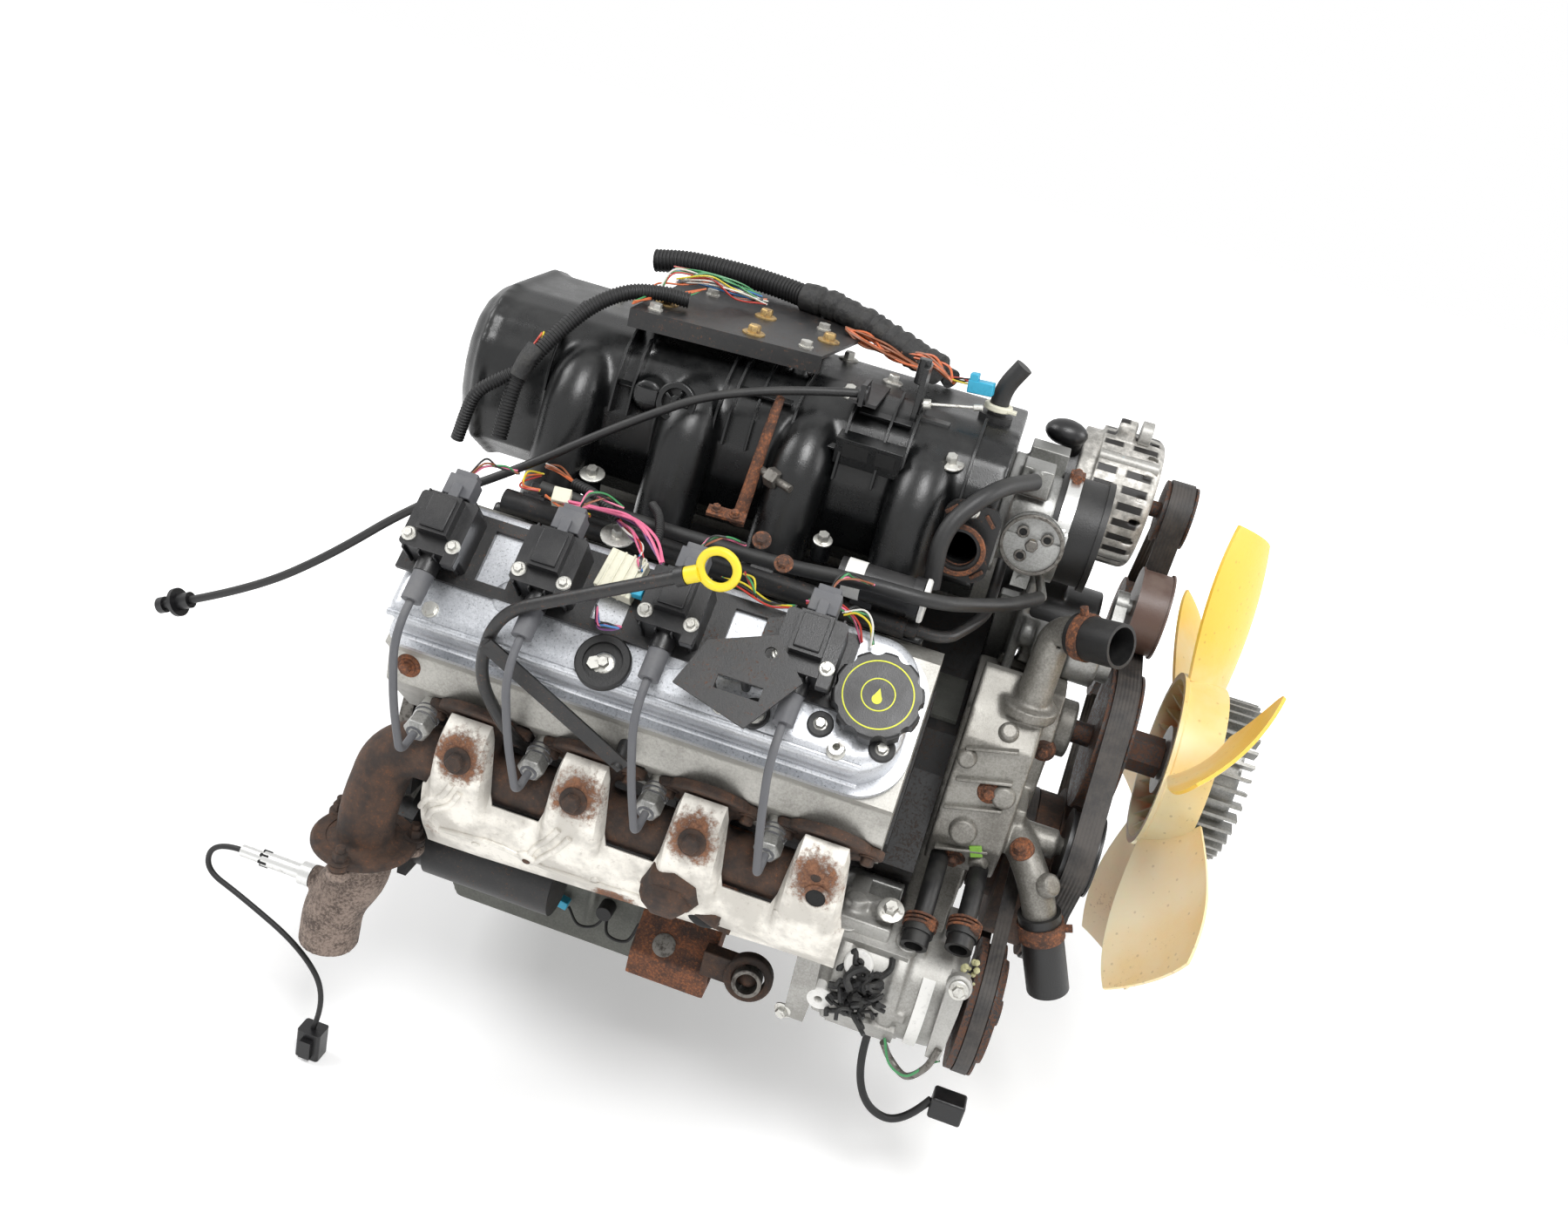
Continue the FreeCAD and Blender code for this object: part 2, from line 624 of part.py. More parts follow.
@functools.cache
def cylinder_head(side):
    """One head: its section drawn along the bank, with ports and plug wells."""
    rear = HEAD_REAR_X + bank_x(side)
    front = rear + HEAD_LENGTH
    low = DECK_HEIGHT + GASKET
    top = low + HEAD_HEIGHT
    out = side
    section = [(-INTAKE_FACE * out, low), (HEAD_HALF * out, low), (HEAD_HALF * out, top - 38),
               (COVER_OUT * out, top - 14), (COVER_OUT * out, top), (-COVER_IN * out, top),
               (-(INTAKE_FACE + 26) * out, top - 22), (-(INTAKE_FACE + 26) * out, low + 26)]
    head = prism(section, rear, front)
    head = softened(head, 6, [e for e in edges_along(head, X_AXIS)][2:4])
    cuts = []
    for x in bore_positions(side):
        dome = Part.makeSphere(BORE_RADIUS, V(x, 0, low - 33))
        cuts.append(dome)
        port = x + PORT_OFFSET
        cuts.append(rod(V(port, out * 20, low + 42), V(port, out * 120, low + 54), PORT_RADIUS))
        well0 = V(x - PLUG_OFFSET, out * PLUG_FOOT[0], PLUG_FOOT[1])
        well1 = V(x - PLUG_OFFSET, out * PLUG_END[0], PLUG_END[1])
        cuts.append(rod(well0, well1 + (well1 - well0), 8.2))
    for x in bore_positions(side):
        at = x - 56
        if rear + 20 < at < front - 20:
            cuts.append(side_box(out, at - 13, HEAD_HALF - 16, low + 12, at + 13, 120, top - 46))
    pocket = prism([(-46 * out, top - 30), (54 * out, top - 30), (54 * out, top + 1), (-46 * out, top + 1)],
                   rear + 14, front - 14)
    return tip(head.cut(cuts + [pocket]), side)


def head_gaskets():
    """The thin steel gasket between each head and its deck."""
    shapes = []
    for side in SIDES:
        rear = HEAD_REAR_X + bank_x(side)
        sheet = side_box(side, rear, -INTAKE_FACE, DECK_HEIGHT, rear + HEAD_LENGTH, DECK_HALF - 0.5,
                         DECK_HEIGHT + GASKET)
        low = DECK_HEIGHT - 3
        holes = [Part.makeCylinder(BORE_RADIUS + 1, 9, V(x, 0, low)) for x in bore_positions(side)]
        shapes.append(tip(sheet.cut(holes), side))
    return group(shapes)


def cover_outline(side, grow):
    """A valve cover's plan: square at the rear, rounded in front."""
    rear = HEAD_REAR_X + bank_x(side) + 8 - grow
    front = HEAD_REAR_X + bank_x(side) + HEAD_LENGTH - 6 + grow
    out, back = COVER_OUT - 6 + grow, COVER_IN - 6 + grow
    y0, y1 = (-back, out) if side == LEFT else (-out, back)
    return rear, front, y0, y1


def cover_block(side, grow, z0, z1, corner):
    """A block with the valve cover's outline, rounder in front than behind."""
    rear, front, y0, y1 = cover_outline(side, grow)
    shape = box(rear, y0, z0, front, y1, z1)
    front_edges = [e for e in edges_along(shape, Z_AXIS) if e.BoundBox.XMax > front - 1]
    shape = shape.makeFillet(corner, front_edges)
    upright = edges_along(shape, Z_AXIS)
    rear_edges = [e for e in upright if e.BoundBox.XMax < rear + 1]
    return shape.makeFillet(14, rear_edges)


def valve_cover(side):
    """A hollow cast cover with a flange below and the filler neck on the right one."""
    base = DECK_HEIGHT + GASKET + HEAD_HEIGHT
    top = base + COVER_HEIGHT
    flange = cover_block(side, 6, base, base + 9, 44)
    body = cover_block(side, -3, base + 4, top, 40)
    crown = [e for e in body.Edges if e.BoundBox.ZMin > top - 0.01]
    body = body.makeFillet(12, crown)
    hollow = cover_block(side, -3 - COVER_WALL, base - 1, top - COVER_WALL, 34)
    shapes = [flange, body]
    cuts = [hollow]
    if side == RIGHT:
        neck = V(OIL_CAP_X, OIL_CAP_Y, top - 6)
        shapes.append(Part.makeCylinder(NECK_RADIUS, 12, neck))
        cuts.append(Part.makeCylinder(NECK_BORE, 40, neck - V(0, 0, 20)))
    return tip(joined(shapes).cut(cuts), side)


def oil_fill_cap():
    """A scalloped cap with a stem that turns in the filler neck."""
    base = DECK_HEIGHT + GASKET + HEAD_HEIGHT + COVER_HEIGHT + 6.3
    cap = Part.makeCylinder(OIL_CAP_R, 17, V(OIL_CAP_X, OIL_CAP_Y, base))
    cap = softened(cap, 3, [e for e in cap.Edges if e.BoundBox.ZMin > base + 16])
    notches = []
    for i in range(10):
        angle = math.radians(36 * i)
        reach = OIL_CAP_R + 4
        centre = V(OIL_CAP_X + reach * math.cos(angle), OIL_CAP_Y + reach * math.sin(angle), base - 1)
        notches.append(Part.makeCylinder(8, 20, centre))
    stem = Part.makeCylinder(NECK_BORE - FIT, 18, V(OIL_CAP_X, OIL_CAP_Y, base - 17.5))
    return tip(joined([cap.cut(notches), stem]), RIGHT)


def spark_plugs():
    """Threaded shells, hexes and the metal-shielded boots over them."""
    shapes = []
    for side in SIDES:
        for x in bore_positions(side):
            foot = V(x - PLUG_OFFSET, side * PLUG_FOOT[0], PLUG_FOOT[1])
            end = V(x - PLUG_OFFSET, side * PLUG_END[0], PLUG_END[1])
            way = (end - foot).normalize()
            shell = rod(foot + way * 8, foot + way * 46, 7)
            hexagon = rod(foot + way * 44, foot + way * 64, 8)
            shapes.append(tip(joined([shell, hexagon]), side))
    return group(shapes)


def plug_boots():
    """The heat-shielded boot on each plug."""
    shapes = []
    for side in SIDES:
        for x in bore_positions(side):
            foot = V(x - PLUG_OFFSET, side * PLUG_FOOT[0], PLUG_FOOT[1])
            end = V(x - PLUG_OFFSET, side * PLUG_END[0], PLUG_END[1])
            way = (end - foot).normalize()
            shield = rod(foot + way * 64, end - way * 12, 10.5)
            collar = rod(foot + way * 72, foot + way * 78, 12.5)
            tail = rod(end - way * 14, end, 8)
            boot = joined([shield, collar, tail])
            shapes.append(tip(boot, side))
    return group(shapes)


def coil_tower(side, index):
    """Where a coil's lead leaves it, in the bank's upright frame."""
    x = bore_positions(side)[index] - PLUG_OFFSET + COIL_SHIFT[index]
    top = DECK_HEIGHT + GASKET + HEAD_HEIGHT + COVER_HEIGHT
    return V(x, side * COIL_OUT, top + 22)


def coil_rails():
    """The long plate on each cover that holds its coils, on four feet."""
    shapes = []
    top = DECK_HEIGHT + GASKET + HEAD_HEIGHT + COVER_HEIGHT
    for side in SIDES:
        first = coil_tower(side, 0).x
        last = coil_tower(side, 3).x
        y0, y1 = sorted((side * -42, side * 26))
        plate = box(first - 34, y0, top, last + 36, y1, top + 5)
        holes = []
        for index in range(3):
            middle = (coil_tower(side, index).x + coil_tower(side, index + 1).x) / 2
            holes.append(box(middle - 14, y0 + 10, top - 1, middle + 14, y1 - 10, top + 6))
        shapes.append(tip(plate.cut(holes), side))
    return group(shapes)


def ignition_coils():
    """Eight coil packs, each with its lead tower and its connector."""
    shapes = []
    for side in SIDES:
        for index in range(4):
            tower = coil_tower(side, index)
            low = tower.z - 17
            core = side_box(side, tower.x - 26, -36, low, tower.x + 26, 16, low + 34)
            core = softened(core, 4, edges_along(core, Z_AXIS))
            tall = side_box(side, tower.x - 14, -34, low + 30, tower.x + 14, 2, low + 44)
            spout = rod(V(tower.x, side * 10, tower.z), tower, 10)
            plug = side_box(side, tower.x - 11, -58, low + 8, tower.x + 11, -34, low + 26)
            shapes.append(tip(joined([core, tall, spout, plug]), side))
    return group(shapes)


def plug_leads():
    """The grey lead from each coil's tower to its plug boot, with a rubber sleeve at the coil."""
    shapes = []
    for side in SIDES:
        for index, x in enumerate(bore_positions(side)):
            tower = coil_tower(side, index)
            foot = V(x - PLUG_OFFSET, side * PLUG_FOOT[0], PLUG_FOOT[1])
            end = V(x - PLUG_OFFSET, side * PLUG_END[0], PLUG_END[1])
            way = (end - foot).normalize()
            points = [tower, V(tower.x, side * 88, tower.z + 2),
                      V((tower.x + end.x) / 2, side * 128, tower.z - 52), end + way * 26, end]
            lead = pipe(points, LEAD_RADIUS)
            sleeve = rod(tower, tower + V(0, side * 26, 0), 9)
            shapes.append(tip(joined([lead, sleeve]), side))
    return group(shapes)


# Exhaust

def port_positions(side):
    """How far forward each exhaust port of a bank is."""
    return [x + PORT_OFFSET for x in bore_positions(side)]


def world(points):
    """Vectors from plain number triples."""
    return [V(*p) for p in points]


def mirrored(points, side):
    """Route points given for the right side, taken over to either side."""
    shift = bank_x(side)
    return [V(x + shift, -side * y, z) for x, y, z in points]


def exhaust_manifold(side):
    """A log with four runners, a bolt flange at each port and a collector that turns down."""
    ports = port_positions(side)
    out = side
    face = HEAD_HALF

    def gas_way(grow, inner):
        """The log and its runners, as the outer skin or as the bore."""
        log_r = (LOG_BORE if inner else LOG_RADIUS) + grow
        run_r = PORT_RADIUS - 1 if inner else PORT_RADIUS + 4
        reach = ports[3] - ports[0] + 20
        shapes = [Part.makeCylinder(log_r, reach, V(ports[0] - 20, out * LOG_V, LOG_U), X_AXIS)]
        for x in ports:
            start = V(x, out * (face - 1 if inner else face), 287)
            shapes.append(rod(start, V(x, out * LOG_V, LOG_U), run_r))
        return tip(joined(shapes), side)

    rear = bank_point(side, ports[0] - 20, LOG_V, LOG_U)
    flange = mirrored([FLANGE_AT], side)[0]
    route = [rear + V(8, 0, 0), rear + V(-62, 0, 0), flange + V(0, 0, 34), flange]
    collector = pipe(route, LOG_RADIUS + 2)
    end = bank_point(side, ports[3], LOG_V, LOG_U)
    cap = disc(end.x - 4, end.x + 14, end.y, end.z, LOG_RADIUS)
    flanges = []
    for x in ports:
        y0, y1 = sorted((out * face, out * (face + 9)))
        plate = box(x - 31, y0, 262, x + 31, y1, 312)
        flanges.append(softened(plate, 9, edges_along(plate, Y_AXIS)))
    plates = tip(joined(flanges), side)
    post_top = SHIELD_POST_U + SHIELD_THICKNESS / 2
    posts = [tip(rod(V(x, out * LOG_V, 256), V(x, out * LOG_V, post_top), 7), side) for x in ports]
    ear = triangle_plate(flange, 9, 46, 0)
    body = joined([gas_way(0, False), collector, cap, ear] + posts + list(plates.Solids))
    bores = [gas_way(0, True), pipe(route[:3] + [flange + V(0, 0, -6)], LOG_BORE + 2)]
    return body.cut(bores + [cylinder_head(side), heat_shields()])


def triangle_plate(centre, thickness, reach, drop):
    """A three-eared flange lying flat under a pipe."""
    top = centre.z - drop
    ears = []
    for i in range(3):
        angle = math.radians(150 + 120 * i)
        at = V(centre.x + reach * math.cos(angle), centre.y + reach * math.sin(angle), top - thickness)
        ears.append(at)
    hull = Part.makeCylinder(PIPE_RADIUS + 9, thickness, V(centre.x, centre.y, top - thickness))
    shapes = [hull]
    for at in ears:
        shapes.append(Part.makeCylinder(11, thickness, at))
        arm = Part.makeBox(reach, 22, thickness, V(0, -11, 0))
        arm.rotate(ORIGIN, Z_AXIS, math.degrees(math.atan2(at.y - centre.y, at.x - centre.x)))
        arm.translate(V(centre.x, centre.y, top - thickness))
        shapes.append(arm)
    return joined(shapes)


def exhaust_stubs():
    """The sawn-off downpipes, each with its flange under the collector's."""
    shapes = []
    for side in SIDES:
        flange = mirrored([FLANGE_AT], side)[0] - V(0, 0, 9)
        ear = triangle_plate(flange, 9, 46, 0)
        way_down = (V(0, 0, -34), V(-22, side * 4, -76), V(-24, side * 4, -124))
        route = [flange] + [flange + step for step in way_down]
        tube = pipe(route, PIPE_RADIUS)
        bore = pipe([flange + V(0, 0, 2)] + route[1:-1] + [route[-1] + V(0, 0, -4)], PIPE_BORE)
        shape = joined([tube, ear]).cut(bore)
        if side == RIGHT:
            at = sensor_root()
            boss = rod(at + V(-10, 0, 0), at + V(-38, 0, 0), 12)
            shape = joined([shape, boss.cut(bore)]).cut(rod(at, at + V(-60, 0, 0), 7.05))
        shapes.append(shape)
    return group(shapes)


def sensor_root():
    """Where the sensor's lead leaves its body."""
    x, y, z = FLANGE_AT
    return V(x - 10, y - 2, z - 9 - 58)


def oxygen_sensor():
    """The sensor screwed into the right stub, pointing to the rear."""
    at = sensor_root()
    parts = [rod(at + V(-18, 0, 0), at + V(-44, 0, 0), 7), rod(at + V(-38.3, 0, 0), at + V(-50, 0, 0), 11.5),
             rod(at + V(-49, 0, 0), at + V(-92, 0, 0), 7.5), rod(at + V(-91, 0, 0), at + V(-116, 0, 0), 6)]
    return joined(parts)


def sensor_connector():
    """The connector at the free end of the sensor's lead, with its lock."""
    end = V(*SENSOR_ROUTE[-1])
    body = box(end.x - 13, end.y - 10, end.z - 34, end.x + 13, end.y + 10, end.z - 0.3)
    lock = box(end.x - 6, end.y - 15, end.z - 30, end.x + 6, end.y + 10, end.z - 8)
    return joined([softened(body, 3, edges_along(body, Z_AXIS)), lock])


@functools.cache
def shield_line(side, x, hump):
    """The shield's outer line at one station: out and up in the bank's own frame."""
    ports = port_positions(side)
    share = min(1.0, max(0.0, (x - ports[0]) / (ports[3] - ports[0])))
    over = ((LOG_V - 29, SHIELD_POST_U + 4.6), (LOG_V, SHIELD_POST_U + SHIELD_THICKNESS),
            (LOG_V + 21, 293), (LOG_V + 38, 268), (LOG_V + 53, 240), (LOG_V + 63, 212))
    low = ((LOG_V + 30, LOG_U + 12), (LOG_V + 36, 257), (LOG_V + 42, 250), (LOG_V + 48, 241),
           (LOG_V + 55, 229), (LOG_V + 61, 210))
    foot = (206 - 10 * share, 182 + 26 * share)
    line = [(a * (1 - hump) + b * hump, c * (1 - hump) + d * hump)
            for (a, c), (b, d) in zip(low, over)]
    line[-1] = (line[-1][0] - 5 * share, line[-1][1] + 8 * share)
    return line + [foot]


def shield_section(side, x, hump):
    """A closed wire round the sheet's thickness at one station."""
    outer = shield_line(side, x, hump)
    inner = []
    for i, (v, u) in enumerate(outer):
        (v0, u0), (v1, u1) = outer[max(i - 1, 0)], outer[min(i + 1, len(outer) - 1)]
        length = math.hypot(v1 - v0, u1 - u0)
        inner.append((v + SHIELD_THICKNESS * (u1 - u0) / length, u - SHIELD_THICKNESS * (v1 - v0) / length))
    curves = []
    for line in (outer, inner[::-1]):
        curve = Part.BSplineCurve()
        curve.interpolate([V(x, side * v, u) for v, u in line])
        curves.append(curve)
    edges = []
    for a, b in (curves, curves[::-1]):
        edges.append(a.toShape())
        edges.append(Part.LineSegment(a.EndPoint, b.StartPoint).toShape())
    return Part.Wire(edges)


@functools.cache
def heat_shields():
    """A pressed shield over each manifold, humped over the ports and open at the plugs."""
    shapes = []
    rise = ((-33, 0.0), (-29.5, 0.15), (-26.5, 0.5), (-23.5, 0.85), (-20, 1.0))
    for side in SIDES:
        ports = port_positions(side)
        stations = [(ports[0] - 36, 0.0)]
        for x in ports:
            stations += [(x + dx, hump) for dx, hump in rise]
            stations += [(x - dx, hump) for dx, hump in reversed(rise)]
        stations.append((ports[3] + 36, 0.0))
        sections = [shield_section(side, x, hump) for x, hump in stations]
        shapes.append(tip(Part.makeLoft(sections, True, True), side))
    return group(shapes)


# Intake and fuel

def scaled(points, share):
    """A section drawn larger or smaller about the plenum's middle."""
    return [(y * share, PLENUM_Z + (z - PLENUM_Z) * share) for y, z in points]


@functools.cache
def intake_manifold():
    """The moulded manifold: a domed plenum, eight runners, a flange on each head."""
    half = [(60, 300), (104, 330), (114, 366), (114, 398), (108, 424), (94, 447), (74, 461), (46, 468)]
    arch = half + [(-y, z) for y, z in reversed(half)]
    dome_x = PLENUM_REAR_X + 24
    shapes = [prism(arch, dome_x, PLENUM_FRONT_X), prism(scaled(arch, 1.035), dome_x - 2, dome_x + 5)]
    caps = []
    for x, share in ((dome_x, 1.0), (dome_x - 9, 0.965), (dome_x - 18, 0.88), (PLENUM_REAR_X, 0.74)):
        caps.append(Part.makePolygon([V(x, y, z) for y, z in scaled(arch, share) + scaled(arch, share)[:1]]))
    shapes.append(Part.makeLoft(caps, True, True))
    for side in SIDES:
        for x in bore_positions(side):
            route = [V(x, side * 20, 424), V(x, side * 112, 424), V(x, side * 134, 330),
                     V(x, side * 151, 266)]
            shapes.append(pipe(route, RUNNER_R))
        x0 = bore_positions(side)[0] - 44
        x1 = bore_positions(side)[3] + 44
        y0, y1 = sorted((side * FACE_V, side * (FACE_V - 13)))
        shapes.append(tip(box(x0, y0, 268, x1, y1, 324), side))
    flange = box(PLENUM_FRONT_X - 8, -52, THROTTLE_Z - 52, THROTTLE_X, 52, THROTTLE_Z + 52)
    shapes.append(softened(flange, 12, edges_along(flange, X_AXIS)))
    for x, y in PLATE_POSTS:
        shapes.append(Part.makeCylinder(7, PLATE_Z - 430, V(x, y, 430)))
    ex, ez = EGR_AT
    shapes.append(rod(V(ex, -60, ez), V(ex, -118, ez), 27))
    sensor = rod(V(150, -60, 418), V(150, -124, 424), 15)
    shapes.append(sensor)
    whole = joined(shapes)
    bore = disc(40, THROTTLE_X + 20, 0, THROTTLE_Z, THROTTLE_BORE_R - 2)
    cavity = prism(scaled(arch, 0.93), dome_x, PLENUM_FRONT_X - 14)
    egr = rod(V(ex, -30, ez), V(ex, -130, ez), 17)
    return whole.cut([bore, egr, cavity] + [cylinder_head(side) for side in SIDES])


def valley_cover():
    """The plate that closes the valley under the intake."""
    half = VALLEY_COVER_HALF
    plate = box(20, -half, VALLEY_FLOOR_Z, BLOCK_LENGTH - 4, half, VALLEY_FLOOR_Z + 4)
    bosses = [Part.makeCylinder(16, 14, V(x, 0, VALLEY_FLOOR_Z)) for x in (120, 400)]
    return joined([plate] + bosses)


@functools.cache
def throttle_body():
    """A cast barrel with a flange, a shaft boss each side and the idle motor's housing."""
    z = THROTTLE_Z
    flange = box(THROTTLE_X, -50, z - 50, THROTTLE_X + 10, 50, z + 50)
    flange = softened(flange, 12, edges_along(flange, X_AXIS))
    end = THROTTLE_X + THROTTLE_LENGTH
    barrel = disc(THROTTLE_X + 5, end, 0, z, BARREL_RADIUS)
    shapes = [flange, barrel, ring(end - 5, end, 0, z, BARREL_RADIUS + 2, 40)]
    shapes.append(rod(V(THROTTLE_SHAFT_X, -58, z), V(THROTTLE_SHAFT_X, 60, z), 11))
    shapes.append(box(THROTTLE_X + 12, 30, z + 20, THROTTLE_X + 50, 62, z + 62))
    shapes.append(rod(V(THROTTLE_X + 30, 20, z - 32), V(THROTTLE_X + 30, 86, z - 32), 15))
    shapes.append(box(THROTTLE_X + 10, -44, z + 34, THROTTLE_X + 40, -8, z + 62))
    shapes.append(rod(V(THROTTLE_X + 24, -30, z + 56), V(THROTTLE_X + 24, -66, z + 56), 5))
    elbow = V(551, -69, 329)
    shapes.append(rod(V(547.7, -76.6, 330), elbow, 4.5))
    shapes.append(rod(elbow, V(540, -26, 341), 4.5))
    shapes.append(Part.makeSphere(4.5, elbow))
    body = joined(shapes)
    return body.cut([disc(THROTTLE_X - 5, end + 5, 0, z, THROTTLE_BORE_R),
                     rod(V(THROTTLE_SHAFT_X, -80, z), V(THROTTLE_SHAFT_X, 80, z), THROTTLE_SHAFT_R + FIT)])


def throttle_plate():
    """The shaft with its butterfly."""
    z = THROTTLE_Z
    shaft = rod(V(THROTTLE_SHAFT_X, -76, z), V(THROTTLE_SHAFT_X, 58, z), THROTTLE_SHAFT_R)
    plate = disc(THROTTLE_SHAFT_X - 1.2, THROTTLE_SHAFT_X + 1.2, 0, z, THROTTLE_BORE_R - 0.4)
    plate.rotate(V(THROTTLE_SHAFT_X, 0, z), Y_AXIS, -7)
    return joined([shaft, plate])


def throttle_lever():
    """The round cable cam and its stop plate on the shaft's outer end."""
    x, z = THROTTLE_SHAFT_X, THROTTLE_Z
    cam = rod(V(x, -69, z), V(x, -66, z), 30)
    cam = cam.cut(box(x - 4, -80, z - 40, x + 40, -60, z - 12))
    groove = rod(V(x, -72, z), V(x, -69, z), 26)
    outer = rod(V(x, -75, z), V(x, -72, z), 30).cut(box(x - 40, -80, z + 6, x + 40, -60, z + 40))
    arm = box(x - 8, -75, z - 44, x + 8, -72, z - 10)
    pin = rod(V(x, -80, z - 36), V(x, -72, z - 36), 4)
    body = joined([cam, groove, outer, arm, pin])
    return body.cut(rod(V(x, -90, z), V(x, -50, z), THROTTLE_SHAFT_R + 0.02))


def throttle_spring():
    """The wound return spring round the shaft's boss."""
    coils = []
    for i in range(3):
        y = -56.4 + i * 3.1
        coil = Part.makeTorus(12.41, 1.4, V(THROTTLE_SHAFT_X, y, THROTTLE_Z), Y_AXIS)
        coils.append(coil)
    return group(coils)


def air_duct():
    """The rubber duct's end on the throttle's mouth."""
    end = THROTTLE_X + THROTTLE_LENGTH
    duct = ring(end - 24, end + 26, 0, THROTTLE_Z, BARREL_RADIUS + 6, BARREL_RADIUS + 2.2)
    bead = ring(end + 20, end + 26, 0, THROTTLE_Z, BARREL_RADIUS + 9, BARREL_RADIUS + 2.2)
    return joined([duct, bead])


def duct_clamp():
    """The band clamp round the duct, with its screw housing."""
    end = THROTTLE_X + THROTTLE_LENGTH
    band = ring(end - 18, end - 6, 0, THROTTLE_Z, BARREL_RADIUS + 7.4, BARREL_RADIUS + 6.1)
    top = THROTTLE_Z + BARREL_RADIUS + 7
    screw = rod(V(end - 12, -20, top + 3), V(end - 12, 4, top + 3), 4.5)
    house = box(end - 19, -12, top - 1.5, end - 5, 4, top + 5)
    cuff = ring(end - 30, end + 30, 0, THROTTLE_Z, BARREL_RADIUS + 6.1, 10)
    return joined([band, screw, house]).cut(cuff)


def cable_bracket():
    """The steel bracket that holds the cable's sheath on the intake."""
    foot = box(330, -106, 468, 356, -30, 471)
    upright = box(340, -112, 468, 344, -84, 488)
    eye = rod(V(338, -102, 477), V(346, -102, 477), 9)
    return joined([foot, upright, eye])


def cable_fitting():
    """The grommet and end fitting on the cable's free end."""
    end = V(*CABLE_ROUTE[-1])
    way = (end - V(*CABLE_ROUTE[-2])).normalize()
    tip_start = end + way * 0.3
    stations = ((0, 14, 8), (13, 17, 14), (16, 30, 5), (29, 36, 8))
    return joined([rod(tip_start + way * a, tip_start + way * b, r) for a, b, r in stations])


def fuel_rails():
    """A rail along each side and the crossover pipe between them."""
    y, z = RAIL_AT
    shapes = []
    for side in SIDES:
        x0 = bore_positions(side)[0] - 26
        x1 = bore_positions(side)[3] + 26
        shapes.append(disc(x0, x1, side * abs(y), z, RAIL_RADIUS))
        for x in bore_positions(side):
            at = bank_point(side, x, -91, 344)
            low = bank_point(side, x, -91, 335)
            shapes.append(rod(low, at, 9))
    cross = [V(bore_positions(RIGHT)[3] + 30, y, z), V(478, y, z), V(506, y + 60, 315), V(506, -y - 60, 315),
             V(486, -y, z), V(bore_positions(LEFT)[3] + 20, -y, z)]
    shapes.append(pipe(cross, 5.5))
    shapes.append(rod(V(441, y, z), V(452, y, z), 8))
    return joined(shapes).cut(intake_manifold())


def injectors():
    """Eight injectors between the rail and the runners, each with its plug."""
    shapes = []
    for side in SIDES:
        for x in bore_positions(side):
            low = bank_point(side, x, -91, 324.2)
            top = bank_point(side, x, -91, 334.7)
            body = rod(low, top, 7.5)
            plug = rod(bank_point(side, x, -91, 329.4), bank_point(side, x + 20, -91, 329.4), 5)
            shapes.append(joined([body, plug]).cut(intake_manifold()))
    return group(shapes)


def fuel_damper():
    """The cylinder on the rail's front end with its pale cap."""
    y, z = RAIL_AT
    body = disc(372, 440, y - 6, z + 32, 17)
    cap = disc(439, 448, y - 6, z + 32, 19)
    foot = box(388, y - 12, z + 10.8, 408, y + 2, z + 20)
    return joined([body, cap, foot]).cut(disc(0, 600, y, z, RAIL_RADIUS))


def small_hoses():
    """The vacuum hose along the rail and the short formed hose by the throttle."""
    long_route = world([(93, -202, 338), (165, -200, 334), (246, -202, 336), (322, -210, 340),
                        (398, -224, 354), (464, -216, 352), (520, -140, 338), (548, -76, 330)])
    formed = world([(511, -66.3, 434), (480, -124, 436), (446, -158, 398), (452, -166, 344)])
    return group([pipe(long_route, 6.5), pipe(formed, 8)])


def harness_plate():
    """The flat steel plate on the intake that carries the loom."""
    plate = slab([(112, -96), (292, -70), (312, 60), (240, 118), (112, 118)], PLATE_Z, PLATE_Z + 3)
    lip = slab([(112, -96), (292, -70), (292, -73), (112, -99)], PLATE_Z - 14, PLATE_Z + 3)
    return joined([plate, lip])


def conduits():
    """The corrugated loom tubes over and behind the intake."""
    on_plate = PLATE_Z + 3.3
    big = world([(66, 104, 494), (138, 104, on_plate + 12), (208, 100, on_plate + 12),
                 (276, 80, on_plate + 12), (336, 50, 498), (392, 16, 488)])
    left = world([(152, -50, on_plate + 8), (100, -72, on_plate + 8), (58, -106, 462), (30, -140, 410),
                  (26, -152, 350)])
    stub = world([(34, -134, 418), (-2, -152, 388), (-16, -150, 336)])
    return group([pipe(big, 12), joined([pipe(left, 8), pipe(stub, 7)])])


def vent_elbow():
    """The vent's bent tube on its round foot."""
    tube = pipe(world([(458, -24, 469), (458, -24, 500), (470, -24, 524)]), 9)
    foot = Part.makeCylinder(16, 6, V(458, -24, 468))
    return joined([tube, foot])


def exhaust_gas_port():
    """The rusty flange and gasket on the intake's side port."""
    x, z = EGR_AT
    plate = box(x - 22, -123, z - 32, x + 30, -118, z + 42)
    plate = softened(plate, 14, edges_along(plate, Y_AXIS))
    collar = rod(V(x, -122, z), V(x, -134, z), 23)
    return joined([plate, collar]).cut(rod(V(x, -100, z), V(x, -150, z), 17))


# Front accessories

def wheel_shaft_hole(x0, x1, place, radius):
    """The hole that a shaft turns in, with its clearance."""
    return disc(x0, x1, place[0], place[1], radius + FIT)


